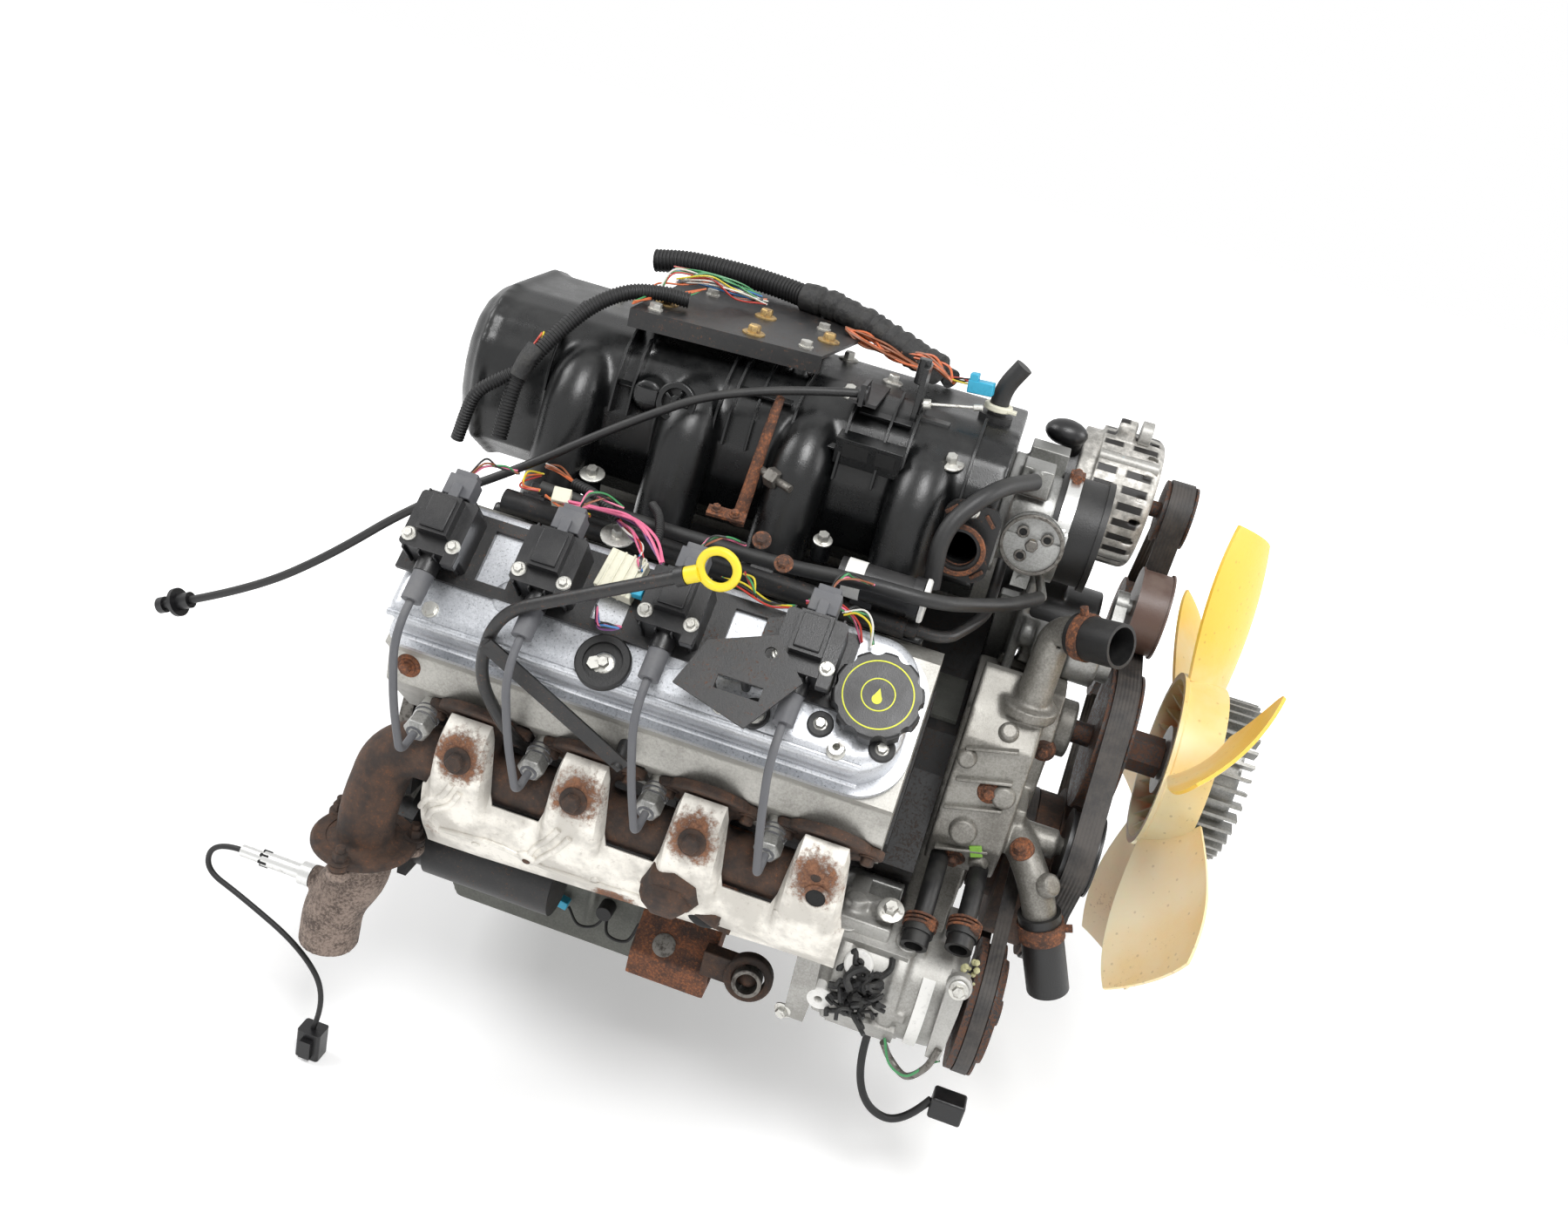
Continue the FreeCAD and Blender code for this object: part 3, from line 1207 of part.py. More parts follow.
def accessory_bracket():
    """The cast bracket on the driver's side that carries the alternator and the steering pump."""
    plate = prism([(24, 196), (60, 150), (130, 120), (250, 150), (262, 240), (214, 300), (216, 340),
                   (176, 352), (96, 326), (40, 300), (30, 246)], 538, 548)
    foot = box(BLOCK_LENGTH, 110, 150, 548, 150, 250)
    boss = disc(545, 596, 34, 248, 16)
    lug_low = disc(545, 560, 196, 300, 14)
    body = joined([plate, foot, boss, lug_low])
    window = disc(500, 600, 150, 262, 22)
    room = [disc(500, 640, ALTERNATOR_AT[0], ALTERNATOR_AT[1], ALTERNATOR_RADIUS + 1), steering_pump()]
    return body.cut([window, front_envelope(), water_pump()] + room).Solids[0]


def alternator_case():
    """The alternator's case with its waist, lugs and shaft hole."""
    y, z = ALTERNATOR_AT
    x0, x1 = ALTERNATOR_X
    body = disc(x0 + 18, x1, y, z, ALTERNATOR_RADIUS)
    body = softened(body, 12, [e for e in body.Edges if e.BoundBox.XMin > x1 - 0.1])
    waist = disc(x0, x0 + 20, y, z, ALTERNATOR_RADIUS - 6)
    shapes = [body, waist]
    for angle in (100, 250):
        a = math.radians(angle)
        for reach, size in ((ALTERNATOR_RADIUS + 8, 10), (ALTERNATOR_RADIUS - 2, 12)):
            ear = disc(x0 + 30, x0 + 48, y + reach * math.cos(a), z + reach * math.sin(a), size)
            shapes.append(ear)
    slots = []
    for i in range(18):
        a = math.radians(20 * i)
        slot = box(x0 + 66, ALTERNATOR_RADIUS - 20, -2.4, x1 - 6, ALTERNATOR_RADIUS + 5, 2.4)
        slot.rotate(ORIGIN, X_AXIS, 20 * i)
        slot.translate(V(0, y, z))
        slots.append(slot)
    body = joined(shapes)
    return body.cut(slots + [wheel_shaft_hole(x0 + 20, x1 + 20, ALTERNATOR_AT, SHAFT_RADIUS)])


def alternator_back():
    """The black cover and connector on the alternator's rear."""
    y, z = ALTERNATOR_AT
    x0 = ALTERNATOR_X[0]
    cover = disc(x0 - 20, x0, y, z, ALTERNATOR_RADIUS - 12)
    plug = rod(V(x0 - 10, y - 32, z + 38), V(x0 - 10, y - 46, z + 67), 9)
    return joined([cover, plug])


def pulley(place, radius, x0, x1, shaft, shaft_x, lip=3.0):
    """A cupped belt pulley on a shaft that runs back to shaft_x."""
    y, z = place
    profile = [(x0, 0), (x0, radius - 6), (x0, radius + lip), (x0 + 2.5, radius + lip), (x0 + 2.5, radius),
               (x1 - 2.5, radius), (x1 - 2.5, radius + lip), (x1, radius + lip), (x1, radius - 5),
               (x0 + 8, radius - 8), (x0 + 8, shaft + 8), (x1 - 6, shaft + 6), (x1 - 6, 0)]
    wheel = turned(profile, y, z)
    return joined([wheel, disc(shaft_x, x0 + 5, y, z, shaft)])


def main_wheel(place, radius, shaft, shaft_x, lip=3.0):
    """A pulley in the main belt's plane."""
    half = BELT_WIDTH / 2 + 3
    return pulley(place, radius, BELT_X - half, BELT_X + half, shaft, shaft_x, lip)


@functools.cache
def steering_pump():
    """The steering pump with its tank and filler neck."""
    y, z = STEERING_AT
    body = disc(520, 628, y, z, 46)
    tank = box(508, y - 30, z - 40, 585, y + 62, z + 66)
    tank = softened(tank, 14, edges_along(tank, X_AXIS))
    neck = Part.makeCylinder(20, 26, V(545, y + 34, z + 60))
    shape = joined([body, tank, neck])
    return shape.cut(wheel_shaft_hole(560, 640, STEERING_AT, SHAFT_RADIUS))


def tensioner_arm():
    """The sprung arm, its round housing's front half and the pulley's stub."""
    py, pz = TENSIONER_PIVOT
    wy, wz = TENSIONER_AT
    x0, x1 = 629.0, 641.0
    hub = disc(x0, x1, py, pz, 24)
    end = disc(x0, x1, wy, wz, 15)
    length = math.hypot(wy - py, wz - pz)
    web = Part.makeBox(x1 - x0, length, 26, V(x0, 0, -13))
    web.rotate(ORIGIN, X_AXIS, math.degrees(math.atan2(wz - pz, wy - py)))
    web.translate(V(0, py, pz))
    stub = disc(x1 - 1, BELT_X + 11, wy, wz, SHAFT_RADIUS)
    pin = disc(600, x0 + 1, py, pz, 10)
    return joined([hub, end, web, stub, pin])


@functools.cache
def tensioner_base():
    """The round spring housing behind the arm."""
    py, pz = TENSIONER_PIVOT
    house = disc(596, 628.6, py, pz, 32)
    foot = box(560, py - 18, pz - 14, 597, py + 18, pz + 14)
    return joined([house, foot]).cut(disc(595, 640, py, pz, 10 + FIT))


def belt_roller(place, radius, shaft):
    """A smooth roller that turns on a fixed stub."""
    y, z = place
    half = BELT_WIDTH / 2 + 3
    x0, x1 = BELT_X - half, BELT_X + half
    profile = [(x0, shaft + FIT), (x0, radius + 2), (x0 + 2, radius + 2), (x0 + 2, radius), (x1 - 2, radius),
               (x1 - 2, radius + 2), (x1, radius + 2), (x1, radius - 5), (x1 - 6, radius - 8),
               (x1 - 6, shaft + 5), (x1 - 4, shaft + 5), (x1 - 4, shaft + FIT)]
    return turned(profile, y, z)


@functools.cache
def water_pump():
    """The pump casting across the front cover, with its passages out to both banks."""
    body = prism([(-70, 104), (60, 104), (66, 130), (70, 190), (40, 226), (-44, 226), (-72, 190)],
                 FRONT_COVER_X + 0.3, 606)
    nose = disc(600, PUMP_FRONT_X, 0, PUMP_Z, 30)
    wing_r = prism([(-146, 92), (-132, 196), (-80, 250), (-50, 240), (-50, 96), (-100, 40), (-128, 52)],
                   520, 590)
    wing_l = prism([(50, 120), (50, 210), (94, 190), (112, 120)], 534, 590)
    shapes = [body, nose, wing_r, wing_l]
    up = world(UPPER_NECK)
    low = world(LOWER_NECK)
    shapes.append(pipe([up[0], up[1], up[1] + (up[2] - up[1]) * 0.55], NECK_RADIUS_OUT))
    shapes.append(Part.makeCylinder(27, 12, V(up[0].x, up[0].y, 222)))
    shapes.append(pipe([low[0], low[1], low[1] + (low[2] - low[1]) * 0.55], NECK_RADIUS_OUT))
    iy, iz = IDLER_AT
    shapes.append(disc(585, BELT_X + 11, iy, iz, SHAFT_RADIUS))
    shapes.append(disc(585, 640, iy, iz, 15))
    bridge = prism([(iy - 15, iz), (iy, iz - 16), (-60, 96), (-60, 130), (iy - 15, 130)], 580, 602)
    shapes.append(bridge)
    whole = joined(shapes)
    cuts = [pipe([up[0], up[1], up[1] + (up[2] - up[1]) * 0.6], NECK_RADIUS_OUT - 2.5),
            pipe([low[0], low[1], low[1] + (low[2] - low[1]) * 0.6], NECK_RADIUS_OUT - 2.5),
            disc(FRONT_COVER_X, 596, 0, PUMP_Z, 42),
            disc(560, 660, 0, PUMP_Z, PUMP_SHAFT_R + FIT),
            box(400, -200, 30, BLOCK_LENGTH + 4, 200, 300)]
    return whole.cut(cuts + [front_envelope(), tensioner_base()])


def hose_stubs():
    """The cut rubber hoses left on the two coolant necks."""
    shapes = []
    for route, share in ((UPPER_NECK, 0.30), (LOWER_NECK, 0.30)):
        points = world(route)
        way = points[2] - points[1]
        start = points[1] + way * share
        mouth = rod(points[2] - way.normalize() * HOSE_MOUTH, points[2] + way, HOSE_BORE + 0.8)
        way = points[2] - points[1]
        shape = rod(start, points[2], HOSE_RADIUS).cut(mouth)
        bore = rod(start - way * 0.1, points[2] + way * 0.1, HOSE_BORE)
        shapes.append(shape.cut([bore, water_pump()]))
    return group(shapes)


def hose_clamps():
    """A spring clamp round each hose stub."""
    shapes = []
    for route in (UPPER_NECK, LOWER_NECK):
        points = world(route)
        way = points[2] - points[1]
        a, b = points[1] + way * 0.38, points[1] + way * 0.52
        band = rod(a, b, HOSE_RADIUS + 1.8)
        across = way.cross(Y_AXIS).normalize()
        ear = rod((a + b) * 0.5 + across * (HOSE_RADIUS + 1), (a + b) * 0.5 + across * (HOSE_RADIUS + 9), 4)
        hollow = rod(points[1], points[2], HOSE_RADIUS)
        shapes.append(joined([band, ear]).cut(hollow))
    return group(shapes)


def heater_stubs():
    """Two heater pipes with short hose ends and clamps."""
    shapes = []
    for x, y, z in HEATER_STUBS:
        root = V(x, -124, 62)
        elbow = V(x, -178, 62)
        end = V(x, y, z)
        tube = pipe([root, elbow, end], 9.5)
        way = (end - elbow).normalize()
        cuff = rod(end - way * 24, end + way * 6, 13)
        band = rod(end - way * 16, end - way * 6, 15)
        bore = rod(end - way * 22, end + way * 8, 9)
        shapes.append(joined([tube, cuff, band]).cut([bore, water_pump()]))
    return group(shapes)


def thermostat_housing():
    """The coolant crossover and vent pipe on top of the pump's driver's side."""
    body = prism([(40, 210), (96, 192), (104, 214), (56, 240)], 552, 590)
    return body.cut([disc(500, 640, TENSIONER_PIVOT[0], TENSIONER_PIVOT[1], 33)])


def fan_clutch():
    """The finned viscous clutch with its shaft."""
    x0 = FAN_X + 14
    body = disc(x0, x0 + 26, 0, PUMP_Z, CLUTCH_R - 10)
    fins = []
    for i in range(36):
        fin = box(x0 + 2, CLUTCH_R - 14, -1.7, x0 + 38, CLUTCH_R, 1.7)
        fin.rotate(ORIGIN, X_AXIS, 10 * i)
        fin.translate(V(0, 0, PUMP_Z))
        fins.append(fin)
    front = disc(x0 + 25, x0 + 32, 0, PUMP_Z, CLUTCH_R - 24)
    back = disc(FAN_X - 22, x0 + 1, 0, PUMP_Z, 36)
    shape = joined([body, front, back] + fins)
    return shape.cut(disc(FAN_X - 30, x0 + 14, 0, PUMP_Z, PUMP_SHAFT_R + FIT))


def water_pump_pulley():
    """The pump's pulley, shaft and the big hex that the fan's clutch turns on."""
    wheel = main_wheel((0, PUMP_Z), PUMP_PULLEY_R, PUMP_SHAFT_R, 575)
    corners = []
    for i in range(7):
        a = math.radians(60 * i)
        corners.append(V(BELT_X, 21 * math.cos(a), PUMP_Z + 21 * math.sin(a)))
    hexagon = Part.Face(Part.makePolygon(corners)).extrude(V(FAN_X - 23 - BELT_X, 0, 0))
    shaft = disc(BELT_X, FAN_X + 26, 0, PUMP_Z, PUMP_SHAFT_R)
    return joined([wheel, hexagon, shaft])


def fan():
    """The moulded fan: a ribbed ring hub and broad curved blades."""
    hub = turned([(FAN_X - 28, FAN_HUB_R - 4), (FAN_X - 28, FAN_HUB_R + 3), (FAN_X - 24, FAN_HUB_R + 3),
                  (FAN_X - 22, FAN_HUB_R), (FAN_X + 17, FAN_HUB_R), (FAN_X + 17, FAN_HUB_R - 4)], 0, PUMP_Z)
    web = ring(FAN_X - 3, FAN_X + 3, 0, PUMP_Z, FAN_HUB_R - 2, 36.3)
    seat = ring(FAN_X + 2, FAN_X + 14, 0, PUMP_Z, 62, 38)
    shapes = [hub, web, seat]
    for i in range(24):
        gusset = Part.makePolygon([V(FAN_X - 3, 0, FAN_HUB_R - 30), V(FAN_X - 3, 0, FAN_HUB_R - 1),
                                   V(FAN_X - 26, 0, FAN_HUB_R - 1), V(FAN_X - 3, 0, FAN_HUB_R - 30)])
        gusset = Part.Face(gusset).extrude(V(0, 2.4, 0))
        gusset.rotate(ORIGIN, X_AXIS, 15 * i)
        gusset.translate(V(0, 0, PUMP_Z))
        shapes.append(gusset)
    for turn in FAN_TURNS:
        shapes.append(fan_blade(turn))
    return joined(shapes)


def fan_blade(turn):
    """One blade: a curved sheet between two arcs, set at an angle to the fan's plane."""
    sections = []
    span = FAN_RADIUS - FAN_HUB_R
    for share, chord, pitch, camber in ((-0.02, 70, 40, 6), (0.40, 110, 34, 10), (0.74, 124, 30, 11),
                                        (1.0, 106, 28, 8)):
        radius = FAN_HUB_R + span * share
        a = math.radians(pitch)
        front = V(math.sin(a) * chord / 2, math.cos(a) * chord / 2, radius)
        back = V(-math.sin(a) * chord / 2, -math.cos(a) * chord / 2, radius)
        normal = V(math.cos(a), -math.sin(a), 0)
        middle = V(0, 0, radius) + normal * camber
        thick = normal * -FAN_BLADE_GAUGE
        upper = Part.Arc(back, middle, front).toShape()
        lower = Part.Arc(front + thick, middle + thick, back + thick).toShape()
        wire = Part.Wire([upper, Part.LineSegment(front, front + thick).toShape(), lower,
                          Part.LineSegment(back + thick, back).toShape()])
        sections.append(wire)
    blade = Part.makeLoft(sections, True, False)
    blade.rotate(ORIGIN, X_AXIS, turn)
    blade.translate(V(FAN_X, 0, PUMP_Z))
    return blade


def main_belt():
    """The main belt's loop over its six wheels."""
    wheels = [(0, 0, CRANK_PULLEY_R, 1), STEERING_AT + (STEERING_PULLEY_R, 1),
              ALTERNATOR_AT + (ALTERNATOR_PULLEY_R, 1), TENSIONER_AT + (TENSIONER_R, -1),
              (0, PUMP_Z, PUMP_PULLEY_R, 1), IDLER_AT + (IDLER_R, 1)]
    return belt_loop(wheels, BELT_X, BELT_WIDTH - 3, BELT_THICKNESS)


def compressor_belt():
    """The compressor's own belt from the crank."""
    wheels = [(0, 0, CRANK_AC_R, 1), AC_AT + (AC_PULLEY_R, 1)]
    return belt_loop(wheels, AC_BELT_X, AC_BELT_WIDTH - 1, BELT_THICKNESS)


@functools.cache
def compressor():
    """The cast compressor with its ears, ports and manifold block."""
    y, z = AC_AT
    drum = turned([(440, 0), (440, 42), (447, 50), (470, 53), (471, 59), (483, 59), (484, 55), (524, 55),
                   (525, 59), (537, 59), (538, 54), (576, 52), (592, 44), (592, 0)], y, z)
    ears = [disc(460, 548, y + 53 * math.cos(a), z + 53 * math.sin(a), 6.5)
            for a in (math.radians(36 + 72 * i) for i in range(5))]
    for x in (462, 560):
        ears.append(box(x, y + 10, z - 64, x + 18, y + 55.7, z - 44))
        ears.append(box(x, y + 10, z + 42, x + 18, y + 55.7, z + 62))
    block = box(458, y - 30, z + 40, 512, y + 20, z + 70)
    ports = [Part.makeCylinder(11, 12, V(x, y - 8, z + 69)) for x in (472, 498)]
    clip = box(512, y - 20, z - 64, 530, y - 4, z - 50)
    body = joined([drum, block, clip] + ears + ports)
    return body.cut(wheel_shaft_hole(540, 600, AC_AT, SHAFT_RADIUS))


def compressor_bracket():
    """The cast bracket between the compressor and the block."""
    y = AC_AT[0] + 56
    plate = prism([(y, 18), (-SKIRT_HALF - 0.3, 18), (-SKIRT_HALF - 0.3, PAN_RAIL_Z + 12.3),
                   (-RAIL_HALF - 0.3, PAN_RAIL_Z + 12.3), (-RAIL_HALF - 0.3, PAN_RAIL_Z - 10.3),
                   (-PAN_HALF - 6, PAN_RAIL_Z - 10.3), (-PAN_HALF - 6, -108), (y, -108)], 452, 512)
    return plate.cut(compressor())


def compressor_pulley():
    """The compressor's pulley with its clutch plate and shaft."""
    half = AC_BELT_WIDTH / 2 + 3
    y, z = AC_AT
    x0, x1 = AC_BELT_X - half - 4, AC_BELT_X + half
    rim = AC_PULLEY_R + 4
    profile = [(x0, 0), (x0, rim), (x0 + 6.5, rim), (x0 + 6.5, AC_PULLEY_R), (x1 - 2.5, AC_PULLEY_R),
               (x1 - 2.5, rim), (x1, rim), (x1, AC_PULLEY_R - 8), (x1 + 6, AC_PULLEY_R - 10), (x1 + 6, 14),
               (x1 + 12, 12), (x1 + 12, 0)]
    return joined([turned(profile, y, z), disc(552, x0 + 5, y, z, SHAFT_RADIUS)])


def compressor_connector():
    """The connector at the free end of the compressor's loom."""
    end = V(*HARNESS_ROUTE[-1])
    return softened(box(end.x + 0.3, end.y - 11, end.z - 14, end.x + 34, end.y + 11, end.z + 12), 3)


def starter():
    """The starter motor with its solenoid beside the crankcase."""
    y, z = -192.0, -78.0
    motor = disc(40, 178, y, z, 36)
    nose = disc(-6, 42, y, z, 31)
    solenoid = disc(30, 128, y + 4, z + 56, 20)
    bridge = box(36, y - 14, z + 20, 62, y + 18, z + 60)
    plate = prism([(y - 36, z - 30), (y - 36, z + 40), (y + 30, z + 76), (y + 30, z - 30)],
                  BELL_THICKNESS, BELL_THICKNESS + 10)
    return joined([motor, nose, solenoid, bridge, plate])


def engine_mounts():
    """The cast mount bracket bolted to each side of the block."""
    shapes = []
    for side in SIDES:
        x0, x1 = 268.0, 352.0
        y0 = RAIL_HALF + 0.3
        plate = [(side * y0, -58), (side * y0, 24), (side * (y0 + 12), 24), (side * (y0 + 16), -40),
                 (side * (y0 + 70), -112), (side * (y0 + 70), -142), (side * (y0 + 40), -142),
                 (side * y0, -100)]
        body = prism(plate, x0, x1)
        window = prism([(side * (y0 + 14), -70), (side * (y0 + 46), -112), (side * (y0 + 40), -126),
                        (side * (y0 + 14), -96)], x0 + 14, x1 - 14)
        bore = disc(x0 - 5, x1 + 5, side * (y0 + 52), -126, MOUNT_BORE_R)
        shapes.append(body.cut([window, bore]))
    return group(shapes)


def dipstick_tube():
    """The tube from the pan's rail up past the cover, with its flat stay."""
    route = world(DIP_ROUTE)
    tube = pipe(route, DIP_TUBE_RADIUS, 0)
    mouth = route[0]
    way = (route[0] - route[1]).normalize()
    flare = rod(mouth - way * 8, mouth, DIP_TUBE_RADIUS + 2.5)
    bore = rod(mouth + way * 2, mouth - way * DIPSTICK_REACH, DIP_TUBE_BORE)
    stay = slab_between(V(120, -345.5, 251), V(246, -303, 152), 15, 2.5)
    clip = rod(V(118, -335, 250), V(122, -347, 251), 5)
    foot = rod(bank_point(RIGHT, 240, 84, 322), bank_point(RIGHT, 240, 110, 322), 6)
    fittings = [flare.cut(bore), stay, clip, foot.cut(cylinder_head(RIGHT))]
    return tube.cut(bore).fuse(fittings).cut(engine_block())


def slab_between(start, end, width, thickness):
    """A flat bar between two points, its face turned to the passenger's side."""
    way = (end - start).normalize()
    across = way.cross(Y_AXIS).normalize()
    normal = way.cross(across).normalize()
    corners = [start + across * width / 2, start - across * width / 2, end - across * width / 2,
               end + across * width / 2]
    return Part.Face(Part.makePolygon(corners + corners[:1])).extrude(normal * thickness)


def dipstick():
    """The blade with its ring handle, sitting in the tube's straight top."""
    route = world(DIP_ROUTE)
    mouth = route[0]
    way = (route[0] - route[1]).normalize()
    blade = rod(mouth - way * (DIPSTICK_REACH - 4), mouth + way * 14, DIPSTICK_RADIUS)
    stop = rod(mouth + way * 0.3, mouth + way * 12, 7)
    side = way.cross(Y_AXIS).normalize()
    facing = way.cross(side).normalize()
    hoop = Part.makeTorus(15, 3.6, mouth + way * 28, facing)
    return joined([blade, stop, hoop])


def bracket_plate():
    """The rusty perforated plate standing on the valve cover's front studs."""
    plate = slab([(286, -22), (352, -40), (384, 10), (352, 42), (300, 20)], 0, 3)
    plate = plate.cut([Part.makeCylinder(5, 9, V(352, 26, -3)), box(318, -16, -3, 356, -4, 9)])
    base = DECK_HEIGHT + GASKET + HEAD_HEIGHT + COVER_HEIGHT
    plate.translate(V(0, -36, base + 44))
    studs = [Part.makeCylinder(4, 47, V(x, y, base)) for x, y in ((312, -44), (336, -30))]
    return tip(joined([plate] + studs), RIGHT)


@functools.cache
def cover_bolts():
    """The bolts along each valve cover, the intake's flange bolts and the plate's bolts."""
    shapes = []
    top = DECK_HEIGHT + GASKET + HEAD_HEIGHT + COVER_HEIGHT
    for side in SIDES:
        for x in COVER_BOLTS:
            place = V(x + bank_x(side), side * 52, top - 0.1)
            shapes.append(tip(bolt(place, V(0, 0, -1), 3.5, 3.5, 6), side))
        for x0, x1 in zip(bore_positions(side), bore_positions(side)[1:]):
            middle = (x0 + x1) / 2
            place = V(middle, side * (FACE_V - 13), 296)
            shapes.append(tip(bolt(place, V(0, side, 0), 3.5, 8, 6.5), side))
    for x, y in PLATE_POSTS:
        shapes.append(bolt(V(x, y, PLATE_Z + 3), V(0, 0, -1), 3, 2.9, 6))
    return group(shapes)


def nodes():
    """Every node by name, in the order that it is built."""
    return {
        "engine_block": engine_block(),
        "plugs_and_gaskets": group(core_plugs().Solids + head_gaskets().Solids),
        "front_cover": front_cover(),
        "closing_covers": group([valley_cover(), rear_seal_cover()]),
        "oil_pan": oil_pan(),
        "oil_filter": oil_filter(),
        "pistons": pistons(),
        "crankshaft": crankshaft(),
        "crank_damper": crank_damper(),
        "flexplate": flexplate(),
        "camshaft": camshaft(),
        "timing_chain": timing_chain(),
        "cylinder_heads": group([cylinder_head(side) for side in SIDES]),
        "valve_covers": group([valve_cover(side) for side in SIDES]).cut(
            [cover_bolts(), pipe(world(DIP_ROUTE), DIP_TUBE_RADIUS + 0.4)]),
        "oil_fill_cap": oil_fill_cap(),
        "spark_plugs": group(spark_plugs().Solids + plug_boots().Solids),
        "coil_rails": coil_rails(),
        "ignition_coils": ignition_coils(),
        "plug_leads": plug_leads(),
        "exhaust_manifolds": group([exhaust_manifold(side) for side in SIDES]),
        "heat_shields": heat_shields(),
        "exhaust_stubs": exhaust_stubs(),
        "oxygen_sensor": oxygen_sensor(),
        "sensor_lead": pipe(world(SENSOR_ROUTE), SENSOR_LEAD_RADIUS),
        "connectors": group([sensor_connector(), compressor_connector(), alternator_back()]).cut(
            [pipe(world(SENSOR_ROUTE), SENSOR_LEAD_RADIUS), pipe(world(HARNESS_ROUTE), HARNESS_RADIUS)]),
        "intake_manifold": intake_manifold().cut(cover_bolts()),
        "throttle_body": throttle_body(),
        "throttle_plate": throttle_plate(),
        "throttle_lever": throttle_lever(),
        "air_duct": air_duct().cut([throttle_body(), throttle_spring()]),
        "clamps": group([duct_clamp().cut([air_duct(), throttle_body()])] + hose_clamps().Solids
                        + throttle_spring().Solids),
        "throttle_cable": pipe(world(CABLE_ROUTE), 4),
        "cable_fittings": group([cable_bracket(), cable_fitting()]).cut(pipe(world(CABLE_ROUTE), 4)),
        "fuel_rails": fuel_rails(),
        "injectors": group(injectors().Solids + [fuel_damper()]),
        "small_hoses": group(small_hoses().Solids + [vent_elbow()]).cut(throttle_body()),
        "steel_plates": group([harness_plate(), bracket_plate(), exhaust_gas_port()]).cut(
            [cover_bolts(), intake_manifold()]),
        "conduits": conduits().cut(harness_plate()),
        "brackets": group([accessory_bracket(), tensioner_base(), compressor_bracket()]),
        "alternator_case": alternator_case(),
        "alternator_pulley": main_wheel(ALTERNATOR_AT, ALTERNATOR_PULLEY_R, SHAFT_RADIUS, 570),
        "steering_pump": steering_pump(),
        "steering_pulley": main_wheel(STEERING_AT, STEERING_PULLEY_R, SHAFT_RADIUS, 564),
        "tensioner_arm": tensioner_arm(),
        "tensioner_roller": belt_roller(TENSIONER_AT, TENSIONER_R, SHAFT_RADIUS),
        "belt_idler": belt_roller(IDLER_AT, IDLER_R, SHAFT_RADIUS),
        "water_pump": group([water_pump(), thermostat_housing()]),
        "water_pump_pulley": water_pump_pulley(),
        "fan_clutch": fan_clutch(),
        "fan": fan(),
        "coolant_hoses": group(hose_stubs().Solids + heater_stubs().Solids),
        "belts": group([main_belt(), compressor_belt()]),
        "compressor": compressor().cut(pipe(world(HARNESS_ROUTE), HARNESS_RADIUS)),
        "compressor_pulley": compressor_pulley(),
        "compressor_harness": pipe(world(HARNESS_ROUTE), HARNESS_RADIUS),
        "starter": starter(),
        "engine_mounts": engine_mounts(),
        "dipstick_tube": dipstick_tube(),
        "dipstick": dipstick(),
        "bolts": cover_bolts(),
    }


os.makedirs("parts", exist_ok=True)
for name, shape in nodes().items():
    shape.exportStep("parts/" + name + ".step")
    print(name, shape.isValid(), round(shape.Volume / 1000, 1), len(shape.Solids))
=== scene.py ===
# %% [markdown]
# # Dressing a complete V8 petrol engine
#
# The packed CAD model gives every piece of this engine in its true place. This lesson gives each piece
# the look of the real thing: weathered castings, moulded plastic, rust, rubber, tape and coloured wire.
# Everything is in metres, with X along the crankshaft towards the fan, Y across, and Z up.

# %% Start from the packed frame
import math
import random

import bmesh
import bpy
from mathutils import Matrix, Vector
from mathutils.bvhtree import BVHTree


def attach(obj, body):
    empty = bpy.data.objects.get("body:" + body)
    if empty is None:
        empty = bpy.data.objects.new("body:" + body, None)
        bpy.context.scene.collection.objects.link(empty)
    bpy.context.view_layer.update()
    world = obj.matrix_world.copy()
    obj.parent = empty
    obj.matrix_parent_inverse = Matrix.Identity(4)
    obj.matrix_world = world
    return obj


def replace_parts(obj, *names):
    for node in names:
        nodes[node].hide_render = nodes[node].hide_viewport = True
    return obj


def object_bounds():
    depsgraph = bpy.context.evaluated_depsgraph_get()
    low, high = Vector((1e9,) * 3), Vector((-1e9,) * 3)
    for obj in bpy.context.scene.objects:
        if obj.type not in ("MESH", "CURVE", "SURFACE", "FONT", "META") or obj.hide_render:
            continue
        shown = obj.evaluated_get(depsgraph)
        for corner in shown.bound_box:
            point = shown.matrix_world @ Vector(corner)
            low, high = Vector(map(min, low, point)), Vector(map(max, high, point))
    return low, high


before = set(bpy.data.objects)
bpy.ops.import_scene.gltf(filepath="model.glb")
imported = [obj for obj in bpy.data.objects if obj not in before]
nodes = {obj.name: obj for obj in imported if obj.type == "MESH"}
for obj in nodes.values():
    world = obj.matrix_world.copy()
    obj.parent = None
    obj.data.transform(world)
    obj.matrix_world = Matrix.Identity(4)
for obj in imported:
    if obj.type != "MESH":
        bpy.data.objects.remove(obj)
cad_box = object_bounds()
print("CAD nodes:", len(nodes), "box:", [round(v, 3) for corner in cad_box for v in corner])

# %% [markdown]
# ## The camera
#
# The picture to match looks down on the engine's right side from ahead, and the engine hangs tilted in it.
# Turning the engine would move every joint with it, so the camera is turned and raised round a point in
# the engine instead, and then rolled about its own line of sight.

# %% Camera
CAMERA_TURN = math.radians(8.38)
CAMERA_LIFT = math.radians(24.64)
CAMERA_ROLL = math.radians(14.24)
CAMERA_TARGET = Vector((0.3224, -0.1200, 0.2581))
CAMERA_DISTANCE = 1.3087
CAMERA_LENS = 31.448
CAMERA_SENSOR = 36

